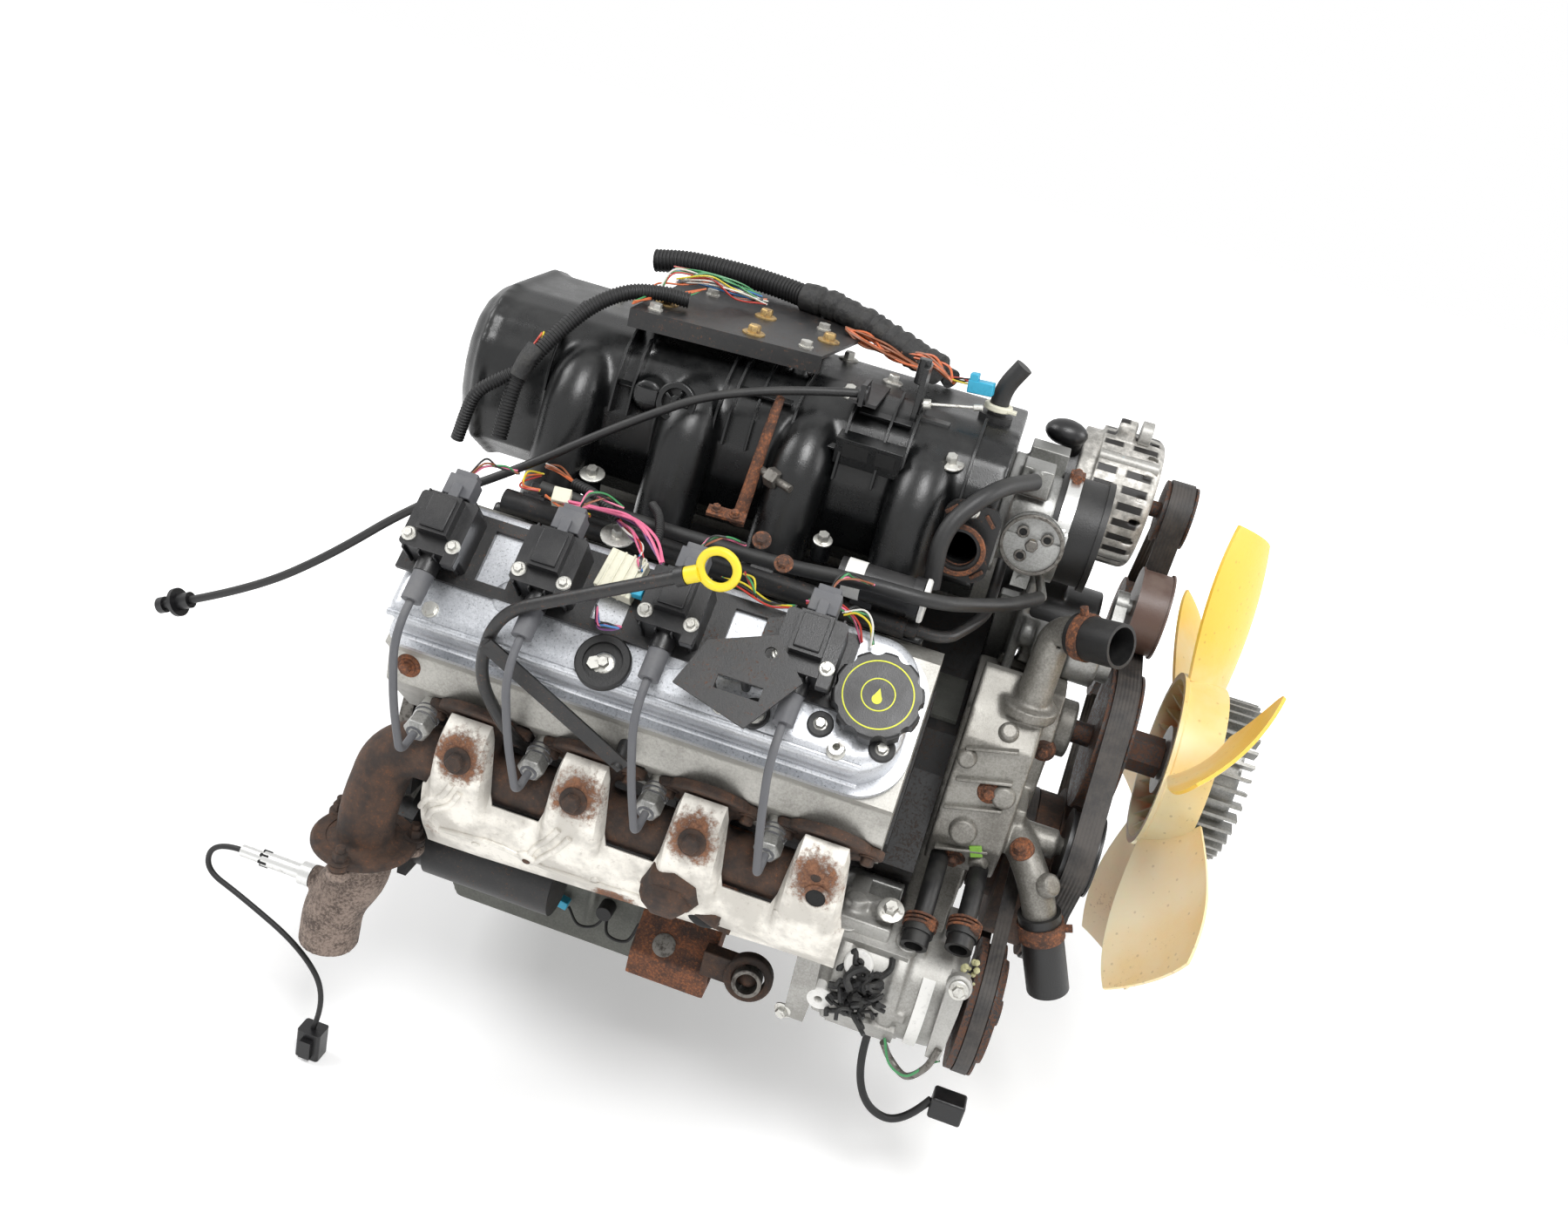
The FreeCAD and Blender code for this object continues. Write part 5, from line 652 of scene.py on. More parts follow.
class Shape:
    """Simple forms gathered into one mesh."""

    def __init__(self, name, finish, body="engine"):
        self.name = name
        self.finish = finish
        self.body = body
        self.bm = bmesh.new()

    def take(self, form):
        """Adds a finished form, with its seams merged, and clears it away."""
        bmesh.ops.remove_doubles(form, verts=form.verts, dist=0.0005)
        mesh = bpy.data.meshes.new("form")
        form.to_mesh(mesh)
        form.free()
        self.bm.from_mesh(mesh)
        bpy.data.meshes.remove(mesh)
        return self

    def turned(self, start, way, profile, sides=24, closed=False, angle=2 * math.pi, side=None):
        """A profile of (distance along, radius), spun about a line and closed at its open ends."""
        start, way = Vector(start), Vector(way).normalized()
        side = side_of(way) if side is None else Vector(side).normalized()
        form = bmesh.new()
        verts = [form.verts.new(start + way * along + side * radius) for along, radius in profile]
        edges = [form.edges.new(pair) for pair in zip(verts, verts[1:])]
        if closed:
            edges.append(form.edges.new((verts[-1], verts[0])))
        whole = angle == 2 * math.pi
        bmesh.ops.spin(form, geom=verts + edges, cent=start, axis=way, angle=angle, steps=sides,
                       use_merge=whole)
        if not (whole and closed):
            bmesh.ops.holes_fill(form, edges=[e for e in form.edges if e.is_boundary], sides=0)
        return self.take(form)

    def rod(self, start, end, radius, sides=24):
        """A round bar with a small chamfer."""
        length = (Vector(end) - Vector(start)).length
        edge = min(radius * 0.12, 0.6)
        profile = [(0, radius - edge), (edge, radius), (length - edge, radius), (length, radius - edge)]
        return self.turned(start, Vector(end) - Vector(start), profile, sides)

    def ring(self, centre, way, outer, inner, thick, sides=36):
        """A flat ring with a chamfered rim."""
        edge = min((outer - inner) * 0.2, thick * 0.3)
        profile = [(-thick / 2, inner), (-thick / 2, outer - edge), (-thick / 2 + edge, outer),
                   (thick / 2 - edge, outer), (thick / 2, outer - edge), (thick / 2, inner)]
        return self.turned(centre, way, profile, sides, closed=True)

    def ball(self, centre, radius, squash=(1, 1, 1), sides=20):
        """A ball, squashed along X, Y and Z."""
        made = bmesh.ops.create_uvsphere(self.bm, u_segments=sides, v_segments=sides // 2, radius=radius)
        bmesh.ops.scale(self.bm, verts=made["verts"], vec=squash)
        bmesh.ops.translate(self.bm, verts=made["verts"], vec=centre)
        return self

    def block(self, centre, size, along=(1, 0, 0), up=(0, 0, 1)):
        """A box whose length follows one way and whose height follows the other."""
        x = Vector(along).normalized()
        z = (Vector(up) - x * Vector(up).dot(x)).normalized()
        turn = Matrix((x, z.cross(x), z)).transposed().to_4x4()
        made = bmesh.ops.create_cube(self.bm, size=1, matrix=Matrix.Diagonal((*size, 1)))
        bmesh.ops.transform(self.bm, verts=made["verts"], matrix=Matrix.Translation(centre) @ turn)
        return self

    def plate(self, outline, origin, across, up, thick):
        """A flat outline, drawn across and up from an origin and extruded."""
        a, b = Vector(across).normalized(), Vector(up).normalized()
        form = bmesh.new()
        face = form.faces.new([form.verts.new(Vector(origin) + a * p + b * q) for p, q in outline])
        made = bmesh.ops.extrude_face_region(form, geom=[face])["geom"]
        moved = [v for v in made if isinstance(v, bmesh.types.BMVert)]
        bmesh.ops.translate(form, verts=moved, vec=a.cross(b) * thick)
        return self.take(form)

    def tube(self, points, radius, sides=12, steps=8):
        """A hose through points; radius is a number or a function of the place along it."""
        return self.along(curve_through(points, steps), radius, sides)

    def along(self, line, radius, sides=12):
        """A hose along a line of close points, made as a curve with a round bevel."""
        data = bpy.data.curves.new("hose", "CURVE")
        data.dimensions = "3D"
        spline = data.splines.new("POLY")
        spline.points.add(len(line) - 1)
        for i, (point, place) in enumerate(zip(spline.points, line)):
            point.co = (*place, 1)
            point.radius = radius(i) if callable(radius) else radius
        data.bevel_depth = 1.0
        data.bevel_resolution = sides // 2 - 2
        data.use_fill_caps = True
        hose = bpy.data.objects.new("hose", data)
        mesh = bpy.data.meshes.new_from_object(hose)
        form = bmesh.new()
        form.from_mesh(mesh)
        bpy.data.objects.remove(hose)
        bpy.data.curves.remove(data)
        bpy.data.meshes.remove(mesh)
        return self.take(form)

    def corrugated(self, points, radius, pitch, depth):
        """A split loom tube: a hose that grows and shrinks in turn."""
        line = even_steps(curve_through(points, 12), pitch / 4)
        return self.along(line, lambda i: radius - (depth if i % 4 > 1 else 0), 14)

    def hexagon(self, at, way, across, height):
        """A hexagonal head with a chamfered top."""
        r = across * 0.577
        return self.turned(at, way, [(0, r), (height * 0.8, r), (height, r * 0.86)], 6)

    def bolt(self, at, way, across=10.0, washer=9.0, height=5.5):
        """A flanged bolt standing on a surface."""
        way = Vector(way).normalized()
        at = Vector(at)
        self.turned(at - way * 0.4, way, [(0, washer), (1.4, washer), (2.2, washer * 0.86)], 24)
        return self.hexagon(at + way * 1.2, way, across, height)

    def done(self, bevel=0.0, smooth=40.0):
        """Writes the mesh, in metres, lets it ride on its body, and says how many faces it has."""
        bmesh.ops.recalc_face_normals(self.bm, faces=self.bm.faces)
        bmesh.ops.scale(self.bm, vec=(0.001, 0.001, 0.001), verts=self.bm.verts)
        mesh = bpy.data.meshes.new(self.name)
        self.bm.to_mesh(mesh)
        self.bm.free()
        mesh.materials.append(self.finish)
        mesh.shade_smooth()
        mesh.set_sharp_from_angle(angle=math.radians(smooth))
        piece = bpy.data.objects.new(self.name, mesh)
        bpy.context.scene.collection.objects.link(piece)
        if bevel:
            edge = piece.modifiers.new("edge", "BEVEL")
            edge.width = bevel / 1000
            edge.segments = 2
            edge.limit_method = "ANGLE"
            edge.angle_limit = math.radians(40)
        print(f"{self.name}: {len(mesh.polygons)} faces, riding on {self.body}")
        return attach(piece, self.body)


print("Shape can make:", [word for word in vars(Shape) if not word.startswith("_")])

# %% [markdown]
# ## Finding a surface
#
# A bolt or a rib has to sit on a curved casting. Its height could be measured and typed in, but it would
# float or sink as soon as the casting changed. So a line is cast at the CAD piece, as a finger is put on
# it, and gives the place that it meets and the way that the surface faces there.

# %% Touch
SURFACES = {}


def touch(node, start, way):
    """Where a line from a start meets a CAD node, in millimetres, and the way that the surface faces."""
    if node not in SURFACES:
        mesh = nodes[node].data
        SURFACES[node] = BVHTree.FromPolygons([v.co for v in mesh.vertices],
                                              [p.vertices for p in mesh.polygons])
    place, facing, _, _ = SURFACES[node].ray_cast(Vector(start) * 0.001, Vector(way).normalized())
    if place is None:
        raise ValueError(f"nothing of {node} lies that way from {start}")
    return place * 1000, facing


print("the oil pan's floor is at", round(touch("oil_pan", (150, 0, -600), (0, 0, 1))[0].z), "mm")

# %% [markdown]
# ## A finish for each CAD piece
#
# The CAD pieces come in plain grey. One table names a finish for each, so that the whole engine's colours
# can be read and changed in one place. The shield's rust starts at its four bolts and at four more spots
# along its lower lip.

# %% Give each CAD node its finish
SHIELD_SPOTS = ([(x, -0.314, 0.114) for x in (0.100, 0.2118, 0.3235, 0.4353)]
                + [(0.312, -0.30, 0.045), (0.074, -0.268, 0.02), (0.255, -0.285, -0.012),
                   (0.46, -0.28, 0.07)])
shield_skin = shield_finish("shield_skin", SHIELD_SPOTS)

FINISHES = {
    "engine_block": block_paint, "plugs_and_gaskets": dark_steel, "front_cover": pump_metal,
    "closing_covers": sump_metal, "oil_pan": sump_metal, "oil_filter": satin_paint, "pistons": grey_metal,
    "crankshaft": dark_steel, "crank_damper": dark_rust, "flexplate": dark_steel, "camshaft": dark_steel,
    "timing_chain": dark_steel, "cylinder_heads": head_metal, "valve_covers": cover_metal,
    "oil_fill_cap": plastic_black, "spark_plugs": grey_silicone, "coil_rails": satin_paint,
    "ignition_coils": plastic_black, "plug_leads": grey_silicone, "exhaust_manifolds": dark_rust,
    "heat_shields": shield_skin, "exhaust_stubs": pipe_rust, "oxygen_sensor": bright_steel,
    "sensor_lead": matt_black, "connectors": plastic_black, "intake_manifold": nylon_black,
    "throttle_body": grey_metal, "throttle_plate": brass_metal, "throttle_lever": grey_metal,
    "air_duct": hose_rubber, "clamps": brown_rust, "throttle_cable": hose_rubber,
    "cable_fittings": plastic_black, "fuel_rails": satin_paint, "injectors": plastic_black,
    "small_hoses": hose_rubber, "steel_plates": satin_paint, "conduits": matt_black, "brackets": grey_metal,
    "alternator_case": slotted_case, "alternator_pulley": pulley_paint, "steering_pump": plastic_black,
    "steering_pulley": pulley_paint, "tensioner_arm": grey_metal, "tensioner_roller": roller_brown,
    "belt_idler": plastic_black, "water_pump": pump_metal, "water_pump_pulley": pulley_paint,
    "fan_clutch": grey_metal, "fan": aged_nylon, "coolant_hoses": hose_rubber, "belts": belt_black,
    "compressor": pale_metal, "compressor_pulley": pulley_paint, "compressor_harness": matt_black,
    "starter": satin_paint, "engine_mounts": brown_rust, "dipstick_tube": satin_paint,
    "dipstick": signal_yellow, "bolts": zinc_steel,
}
for name, finish in FINISHES.items():
    mesh = nodes[name].data
    mesh.materials.clear()
    mesh.materials.append(finish)
for cord, finish in ((throttle_cord, hose_rubber), (sensor_cord, matt_black), (loom_cord, matt_black)):
    cord.data.materials.append(finish)
print("finishes on", len(FINISHES), "of", len(nodes), "nodes; left:", sorted(set(nodes) - set(FINISHES)))

# %% [markdown]
# ## Softer castings and mouldings
#
# Cast and moulded pieces have no sharp corner anywhere. Bevelling every edge of them would take long and
# fail where many edges meet. So a copy of such a CAD node is merged, remeshed in small even cells and
# relaxed a little, which rounds its edges and fills its corners with a soft fillet. Each row of the table
# gives a node, the size of its cells in millimetres, and how many rounds it is relaxed: small cells keep
# fine forms such as the throttle's, and large ones keep the big intake light.

# %% Softened copies


def softened(node, cell, rounds):
    """A rounded copy that stands for a CAD node."""
    bm = bmesh.new()
    bm.from_mesh(nodes[node].data)
    bmesh.ops.remove_doubles(bm, verts=bm.verts, dist=0.00002)
    mesh = bpy.data.meshes.new(node + "_soft")
    bm.to_mesh(mesh)
    bm.free()
    piece = bpy.data.objects.new(node + "_soft", mesh)
    bpy.context.scene.collection.objects.link(piece)
    cells = piece.modifiers.new("cells", "REMESH")
    cells.mode = "VOXEL"
    cells.voxel_size = cell / 1000
    relax = piece.modifiers.new("relax", "SMOOTH")
    relax.factor = 0.5
    relax.iterations = rounds
    bpy.context.view_layer.update()
    graph = bpy.context.evaluated_depsgraph_get()
    shaped = bpy.data.meshes.new_from_object(piece.evaluated_get(graph))
    piece.modifiers.clear()
    piece.data = shaped
    shaped.shade_smooth()
    shaped.materials.clear()
    shaped.materials.append(FINISHES[node])
    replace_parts(piece, node)
    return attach(piece, "engine")


SOFT_NODES = (("intake_manifold", 3.7, 3), ("water_pump", 2.4, 3), ("exhaust_manifolds", 2.8, 3),
              ("compressor", 2.2, 3), ("front_cover", 2.8, 3), ("throttle_body", 1.5, 3),
              ("brackets", 2.4, 2), ("exhaust_stubs", 1.9, 3), ("engine_mounts", 2.2, 2),
              ("oil_pan", 3.2, 3), ("alternator_case", 1.7, 2), ("steering_pump", 2.4, 3))
for node, cell, rounds in SOFT_NODES:
    soft = softened(node, cell, rounds)
    print(soft.name, len(soft.data.polygons), "faces")

# %% [markdown]
# ## Ignition coils
#
# Each coil is a black moulded block with cooling ribs, a connector on its inner side, a latch and two
# screws. The CAD piece has the block and its tower, so only the small forms are added, and one loop sets
# them on all four coils of the right bank.

# %% Coil trim
COILS = (50.0, 149.76, 261.52, 377.28)
coil_trim = Shape("coil_trim", plastic_black)
coil_plugs = Shape("coil_connectors", grey_silicone)
coil_screws = Shape("coil_screws", zinc_steel)
for x in COILS:
    for dx in (-21, -7, 7, 21):
        coil_trim.block(bank(x + dx, -10, 434), (2.2, 58, 30), ALONG, UP)
    coil_trim.block(bank(x, -16, 461), (22, 30, 3), ALONG, UP)
    coil_trim.block(bank(x + 21, 16, 446), (12, 14, 9), ALONG, UP)
    coil_plugs.block(bank(x, -50, 436), (25, 20, 20), ALONG, UP)
    coil_plugs.block(bank(x, -42, 448), (9, 16, 5), ALONG, UP)
    coil_plugs.block(bank(x, -62, 436), (20, 8, 14), ALONG, UP)
    for dx in (-20, 20):
        coil_screws.bolt(bank(x + dx, 6, 450), UP, 7, 6.5, 4)
coil_trim.done(0.8)
coil_plugs.done(1.0)
coil_screws.done()

# %% [markdown]
# ## Plug boots
#
# The boots over the spark plugs wear a bright steel sleeve against the heat, and have a hexagonal end
# where the lead goes in. Both are profiles spun round the plug's own line, from its foot to its end.

# %% Boot sleeves and ends
PLUGS = (52.0, 163.76, 275.52, 387.28)
boot_sleeves = Shape("plug_boot_sleeves", bright_steel)
boot_ends = Shape("plug_boot_ends", grey_metal)
SLEEVE = [(0, 9), (0, 11.6), (14, 11.6), (14, 12.6), (17, 12.6), (17, 11.6), (22, 11.6), (22, 9)]
BOOT_END = [(0, 8), (0, 12.5), (13, 13), (16, 10), (17, 6)]
for x in PLUGS:
    foot, end = bank(x, 48, 254), bank(x, 136, 303)
    way = (end - foot).normalized()
    boot_sleeves.turned(foot + way * 60, way, SLEEVE, 28)
    boot_ends.turned(end - way * 17, way, BOOT_END, 6)
boot_sleeves.done()
boot_ends.done(0.8)

# %% [markdown]
# ## The valve cover
#
# Rubber rings, bolts, a short breather tube and two long ridges stand on the cover. They are spun and
# straight forms, set in the bank's own directions. Their feet reach a little into the cover, as a casting's
# own bosses do, so no gap shows under them.

# %% Cover trim
bracket_bolts = Shape("cover_bracket_bolts", brown_rust)
for x, out in ((312, -80), (336, -66)):
    bracket_bolts.bolt(bank(x, out, 458), UP, 9, 8, 5)
bracket_bolts.done()
cover_rubber = Shape("cover_grommets", matt_black)
cover_steel = Shape("cover_bolts_and_tube", zinc_steel)
cover_cast = Shape("cover_ridges", cover_metal)
for x, outer in ((217, 20), (350, 13)):
    cover_rubber.ring(bank(x, 49, 411.8), UP, outer, 10, 5)
    cover_steel.bolt(bank(x, 49, 411), UP, 9, 9, 6)
cover_rubber.ring(bank(217, 49, 414), UP, 24, 17, 9)
for x, out in ((404, 40), (398, -26), (458, 44)):
    cover_rubber.ring(bank(x, out, 411.8), UP, 11, 6, 5)
    cover_steel.bolt(bank(x, out, 411), UP, 8, 8, 6)
cover_steel.turned(bank(423, 57, 409), UP, [(0, 8), (3, 8), (4, 6.5), (14, 6.5), (14, 3.2), (3, 3.2)], 20)
cover_cast.rod(bank(24, 63, 407), bank(446, 63, 407), 3.2)
cover_cast.rod(bank(24, 72, 380), bank(446, 72, 380), 2.2)
for x in (120, 270):
    cover_cast.turned(bank(x, 20, 409), UP, [(0, 15), (3.5, 15), (5, 13)], 32)
cover_rubber.done()
cover_steel.done()
cover_cast.done()

# %% [markdown]
# ## The print on the oil cap
#
# The cap carries two printed rings and a drop. Print could be an image, but thin raised forms need no
# unwrapping, stay sharp in every view, and turn with the cap because they ride on its body.

# %% Cap print
CAP_TOP = bank(442, 8, 434.5)
cap_print = Shape("cap_print", print_yellow, "fill_cap")
cap_print.ring(CAP_TOP, UP, 29.5, 28.4, 0.6, 72)
cap_print.ring(CAP_TOP, UP, 14.2, 13.2, 0.6, 48)
cap_print.turned(CAP_TOP + OUT * 4, UP, [(-0.3, 4.2), (0.3, 4.2)], 24)
cap_print.plate([(-3.4, 2), (3.4, 2), (0, 9.5)], CAP_TOP + OUT * 4 - UP * 0.3, ALONG, -OUT, 0.6)
cap_print.done()

# %% [markdown]
# ## Exhaust flanges
#
# Dark scaled flanges rise in an arc behind each hump of the shield, with a bolt at each ear. A spun
# profile gives the arc its rounded lip.

# %% Flange arcs
PORTS = (100.0, 211.76, 323.52, 435.28)
flange_arcs = Shape("manifold_flange_arcs", dark_rust)
for x in PORTS:
    flange_arcs.turned(bank(x, 98.6, 288), OUT, [(0, 38), (0, 41), (6.5, 41), (8, 39.5), (8, 36)], 40)
    for dx in (-37, 37):
        flange_arcs.turned(bank(x + dx, 98.6, 292), OUT, [(0, 13), (7, 13), (8, 12)], 20)
        flange_arcs.bolt(bank(x + dx, 106.4, 292), OUT, 11, 9, 7)
flange_arcs.done(0.8)

# %% [markdown]
# ## Pressings in the shield
#
# The thin shield is stiffened by pressed ribs, a star boss and a few dimples. Cutting them into the sheet
# would need a fine mesh all over it. Half-sunk tubes in the same finish look the same, and each of their
# points is laid on the sheet by casting a line at it.

# %% Shield pressings


def on_shield(x, z, lift=0.0):
    """A point of the right shield's face, lifted off it a little, and the way that it faces."""
    place, facing = touch("heat_shields", (x, -600, z), (0, 1, 0))
    return place + facing * lift, facing


STAR = (172, 17)
PRESSED_RIBS = (((172, 20), (180, 38), (192, 56), (203, 76)), ((179, 14), (190, 32), (203, 50), (214, 70)),
                ((98, 86), (88, 66), (72, 52), (64, 38)), ((106, 78), (96, 58), (80, 44), (72, 30)),
                ((166, 18), (140, 22), (112, 22), (84, 18)), ((180, 14), (215, 16), (250, 16), (284, 20)))
shield_ribs = Shape("shield_pressings", shield_skin)
for route in PRESSED_RIBS:
    shield_ribs.tube([on_shield(x, z, 0.2)[0] for x, z in route], 3.2, 12)
place, facing = on_shield(*STAR)
shield_ribs.turned(place - facing, facing, [(0, 12), (2.5, 11), (4, 7), (4.5, 4)], 20)
for x, z in ((120, 12), (240, 22), (410, 64)):
    place, facing = on_shield(x, z)
    shield_ribs.turned(place - facing * 2, facing, [(0, 5), (3, 4), (4, 2)], 14)
shield_ribs.done(0.4)

# %% [markdown]
# ## Bolts and slot of the shield
#
# Three of the four humps show a rusted bolt on a wide washer, and the front end has a round slot with a
# rolled rim.

# %% Shield bolts and slot
shield_bolts = Shape("shield_bolts", dark_rust)
for x in PORTS[:3]:
    place, facing = touch("heat_shields", bank(x, 147, 420), -UP)
    shield_bolts.turned(place - facing, facing, [(0, 13), (2, 13), (3, 11)], 28)
    shield_bolts.hexagon(place + facing * 1.5, facing, 15, 8)
place, facing = on_shield(*STAR, 3.6)
shield_bolts.turned(place - facing, facing, [(0, 4), (1.6, 4), (2.2, 3)], 16)
shield_bolts.done(0.5)

# The round slot is a dark disc of painted shade, set just into the sheet.
front_slot_shade = Shape("shield_front_slot", hole_shade)
place, facing = on_shield(440, 100)
front_slot_shade.turned(place - facing * 2, facing, [(0, 9), (2.5, 9)], 24)
front_slot_shade.done()
slot_rim = Shape("shield_slot_rim", shield_skin)
slot_rim.ring(place + facing * 0.4, facing, 12.5, 9, 2.4)
slot_rim.done()

# %% [markdown]
# ## The iron boss
#
# A lobed, scaled lump of iron pokes through under the shield, with an ear beside it and a hole drawn as a
# dark squashed ball of painted shade. Two spun forms with few sides, turned alike, and a wide bevel give its
# lobes without any sculpting.

# %% Iron boss
BOSS_WAY = (0.04, -0.90, -0.42)
iron_boss = Shape("iron_boss", dark_rust)
iron_boss.turned((308, -262, 58), BOSS_WAY, [(0, 26), (40, 27), (52, 25), (60, 20), (63, 12)], 6)
iron_boss.turned((312, -266, 62), BOSS_WAY, [(0, 20), (30, 31), (44, 30), (50, 24)], 8)
iron_boss.block((352, -282, 24), (44, 14, 30), (1, 0, -0.15))
iron_boss.rod((330, -290, 30), (362, -296, 24), 9)
iron_boss.done(3.0)
# The hole is a dark squashed ball of painted shade.
boss_hole_shade = Shape("iron_boss_hole", hole_shade)
boss_hole_shade.ball((346, -294, 22), 15, (1.1, 0.4, 0.8))
boss_hole_shade.done()

# %% [markdown]
# ## Engine mount
#
# The mount bracket holds a steel bushing in a rusty ear, in front of the plate. Rings share one line, so
# that they stay centred on each other.

# %% Mount trim
EAR_WAY = (0.1, -1, 0.2)
mount_trim = Shape("mount_bushings", dark_steel)
place, facing = touch("engine_mounts", (300, -500, -100), (0, 1, 0))
mount_trim.turned(place - facing, facing, [(0, 12), (2, 12), (2.6, 10)], 28)
mount_trim.ring((392, -214, -96), EAR_WAY, 15, 11, 22)
mount_trim.done()
mount_rust = Shape("mount_ears", dark_rust)
mount_rust.ring((392, -210, -96), EAR_WAY, 25, 16.5, 14)
mount_rust.block((365, -206, -96), (44, 16, 30), ALONG)
mount_rust.ball((392, -208, -96), 10.6, (1, 1.2, 1))
mount_rust.done(1.5)

# %% [markdown]
# ## Plug and leads at the sump
#
# A blue connector and two short black leads hang beside the sump. They are held at both ends, so they are
# plain tubes of the engine and not free cords.

# %% Sump connector
pan_plug = Shape("sump_connector", blue_plastic)
pan_plug.block((160, -114, -164), (19, 12, 10), (1, 0, -0.2))
pan_plug.done(1.0)
pan_leads = Shape("sump_leads", matt_black)
pan_leads.tube([(170, -114, -168), (186, -122, -180), (204, -118, -178), (214, -112, -160)], 1.6)
pan_leads.tube([(214, -112, -160), (222, -126, -176), (244, -124, -178), (252, -114, -158)], 1.8)
pan_leads.rod((212, -104, -156), (212, -122, -156), 9)
pan_leads.done()

# %% [markdown]
# ## Collector flange and sensor
#
# The three-eared flange under the exhaust has bolts with nuts, and the oxygen sensor's sleeve has six
# slots round its tip. Both are one form repeated round an axis, so an angle is counted in a loop.

# %% Flange bolts and sensor slots
FLANGE = Vector((8, -292, -24))
flange_bolts = Shape("collector_flange_bolts", dark_rust)
for turn in range(3):
    angle = math.radians(150 + 120 * turn)
    at = FLANGE + Vector((46 * math.cos(angle), 46 * math.sin(angle), 0))
    flange_bolts.bolt(at, (0, 0, 1), 13, 10.5, 9)
    flange_bolts.rod(at, at + Vector((0, 0, 16)), 4.5)
flange_bolts.ring(FLANGE - Vector((0, 0, 4)), (0, 0, 1), 50, 36, 9, 48)
flange_bolts.done(0.6)
# The six slots are dark blocks of painted shade round the sleeve's tip.
sensor_slot_shade = Shape("sensor_slots", hole_shade)
for turn in range(6):
    angle = turn * math.pi / 3
    sensor_slot_shade.block((-92, -294 + 6.6 * math.cos(angle), -91 + 6.6 * math.sin(angle)), (9, 2.6, 2.6))
sensor_slot_shade.done()

# %% [markdown]
# ## Ribs of the intake
#
# The nylon plenum is stiffened by thin ribs that follow its arch. Each rib is one flat outline: the arch
# scaled outwards, and back along the arch itself, extruded by the rib's thickness. A row of the table gives
# a rib's place along the engine and how far it stands out.

# %% Intake ribs
ARCH = [(-46, 468), (-74, 461), (-94, 447), (-108, 424), (-114, 398)]
ARCH_MIDDLE = 385
RIBS = ((50, 6), (118, 14), (134, 10), (216, 9), (228, 9), (250, 5), (286, 6), (336, 12), (372, 9), (394, 8),
        (452, 7))
RIB_THICK = 2.6
intake_ribs = Shape("intake_ribs", nylon_black)
for x, deep in RIBS:
    outer = [(y * (1 + deep / 110), ARCH_MIDDLE + (z - ARCH_MIDDLE) * (1 + deep / 90)) for y, z in ARCH]
    intake_ribs.plate(outer + ARCH[::-1], (x - RIB_THICK / 2, 0, 0), (0, 1, 0), (0, 0, 1), RIB_THICK)
for x0, x1, y, z in ((230, 280, -96, 447), (286, 334, -110, 424), (340, 390, -84, 456),
                     (120, 180, -110, 424)):
    intake_ribs.block(((x0 + x1) / 2, y - 3, z + 2), (x1 - x0, 8, RIB_THICK), ALONG, (0, -0.3, 1))
print("arched ribs:", len(intake_ribs.bm.faces), "faces so far")

# %% [markdown]
# ## Brackets and port moulded on the intake
#
# The cable bracket, a pocketed block, a round port with spokes and three hold-down posts belong to the
# same moulding, so they go on in the same mesh. The pockets are dark forms just proud of the block: painted
# shade that reads as depth without cutting it.

# %% Moulded brackets
intake_ribs.block((362, -112, 428), (62, 18, 26), ALONG, (0, -0.2, 1))
intake_ribs.block((388, -62, 474), (5, 30, 70), ALONG)
intake_ribs.block((404, -62, 462), (36, 22, 4), ALONG)
intake_ribs.rod((384, -60, 490), (384, -60, 514), 6)
intake_ribs.rod((180, -96, 418), (180, -124, 426), 17)
intake_ribs.ring((180, -127, 427), (0, -1, 0.25), 19, 13, 8)
for turn in range(5):
    spoke = Vector((math.cos(turn * 2 * math.pi / 5), 0, math.sin(turn * 2 * math.pi / 5)))
    intake_ribs.block(Vector((180, -128, 427)) + spoke * 8, (9, 6, 2.4), spoke)
intake_ribs.rod((180, -118, 427), (180, -131, 430), 5)
intake_ribs.block((152, -126, 426), (20, 12, 14), ALONG)
for at in ((118, -138, 322), (346, -150, 332), (434, -96, 420)):
    intake_ribs.rod(at, Vector(at) + Vector((0, -3, 18)), 9)
intake_ribs.done(0.7)
# The pockets are dark blocks of painted shade, just proud of the moulding.
pocket_shade = Shape("intake_pockets", hole_shade)
pocket_shade.block((350, -119, 429), (24, 6, 13), ALONG, (0, -0.2, 1))
pocket_shade.block((378, -119, 429), (18, 6, 13), ALONG, (0, -0.2, 1))
pocket_shade.done()

# %% [markdown]
# ## Bolts of the intake and the plate
#
# Bolts with wide washers hold the intake down. Four of them have places read from the picture, and the
# ones on the plenum's top are found by casting a line down on it. The plate's own bolts are gold.

# %% Intake and plate bolts
intake_bolts = Shape("intake_bolts", zinc_steel)
for at, washer in (((118, -141, 341), 12), ((346, -153, 351), 9), ((434, -99, 439), 13),
                   ((173, -206, 318), 16)):
    intake_bolts.bolt(at, (0, -0.35, 0.94), 10, washer, 7)
for x, y in ((324, -64), (353, 2), (300, 40), (60, 20)):
    place, facing = touch("intake_manifold", (x, y, 700), (0, 0, -1))
    intake_bolts.bolt(place, facing, 10, 10, 7)
intake_bolts.rod((392, -72, 476), (442, -68, 486), 1.5)
intake_bolts.rod((393, -72, 476), (400, -71.5, 477.4), 5, 12)
intake_bolts.rod((438, -68, 485), (446, -68, 487), 3)
intake_bolts.done()

plate_bolts = Shape("plate_bolts", gold_zinc)
for x, y in ((130, -46), (214, 12), (222, -62), (284, -10)):
    plate_bolts.bolt((x, y, 492.3), (0, 0, 1), 11, 11, 7)
plate_bolts.done()

# %% [markdown]
# ## Elbow collar and blue connector
#
# An ivory clip holds the vent's elbow, and a bright blue connector ends the big loom behind it.

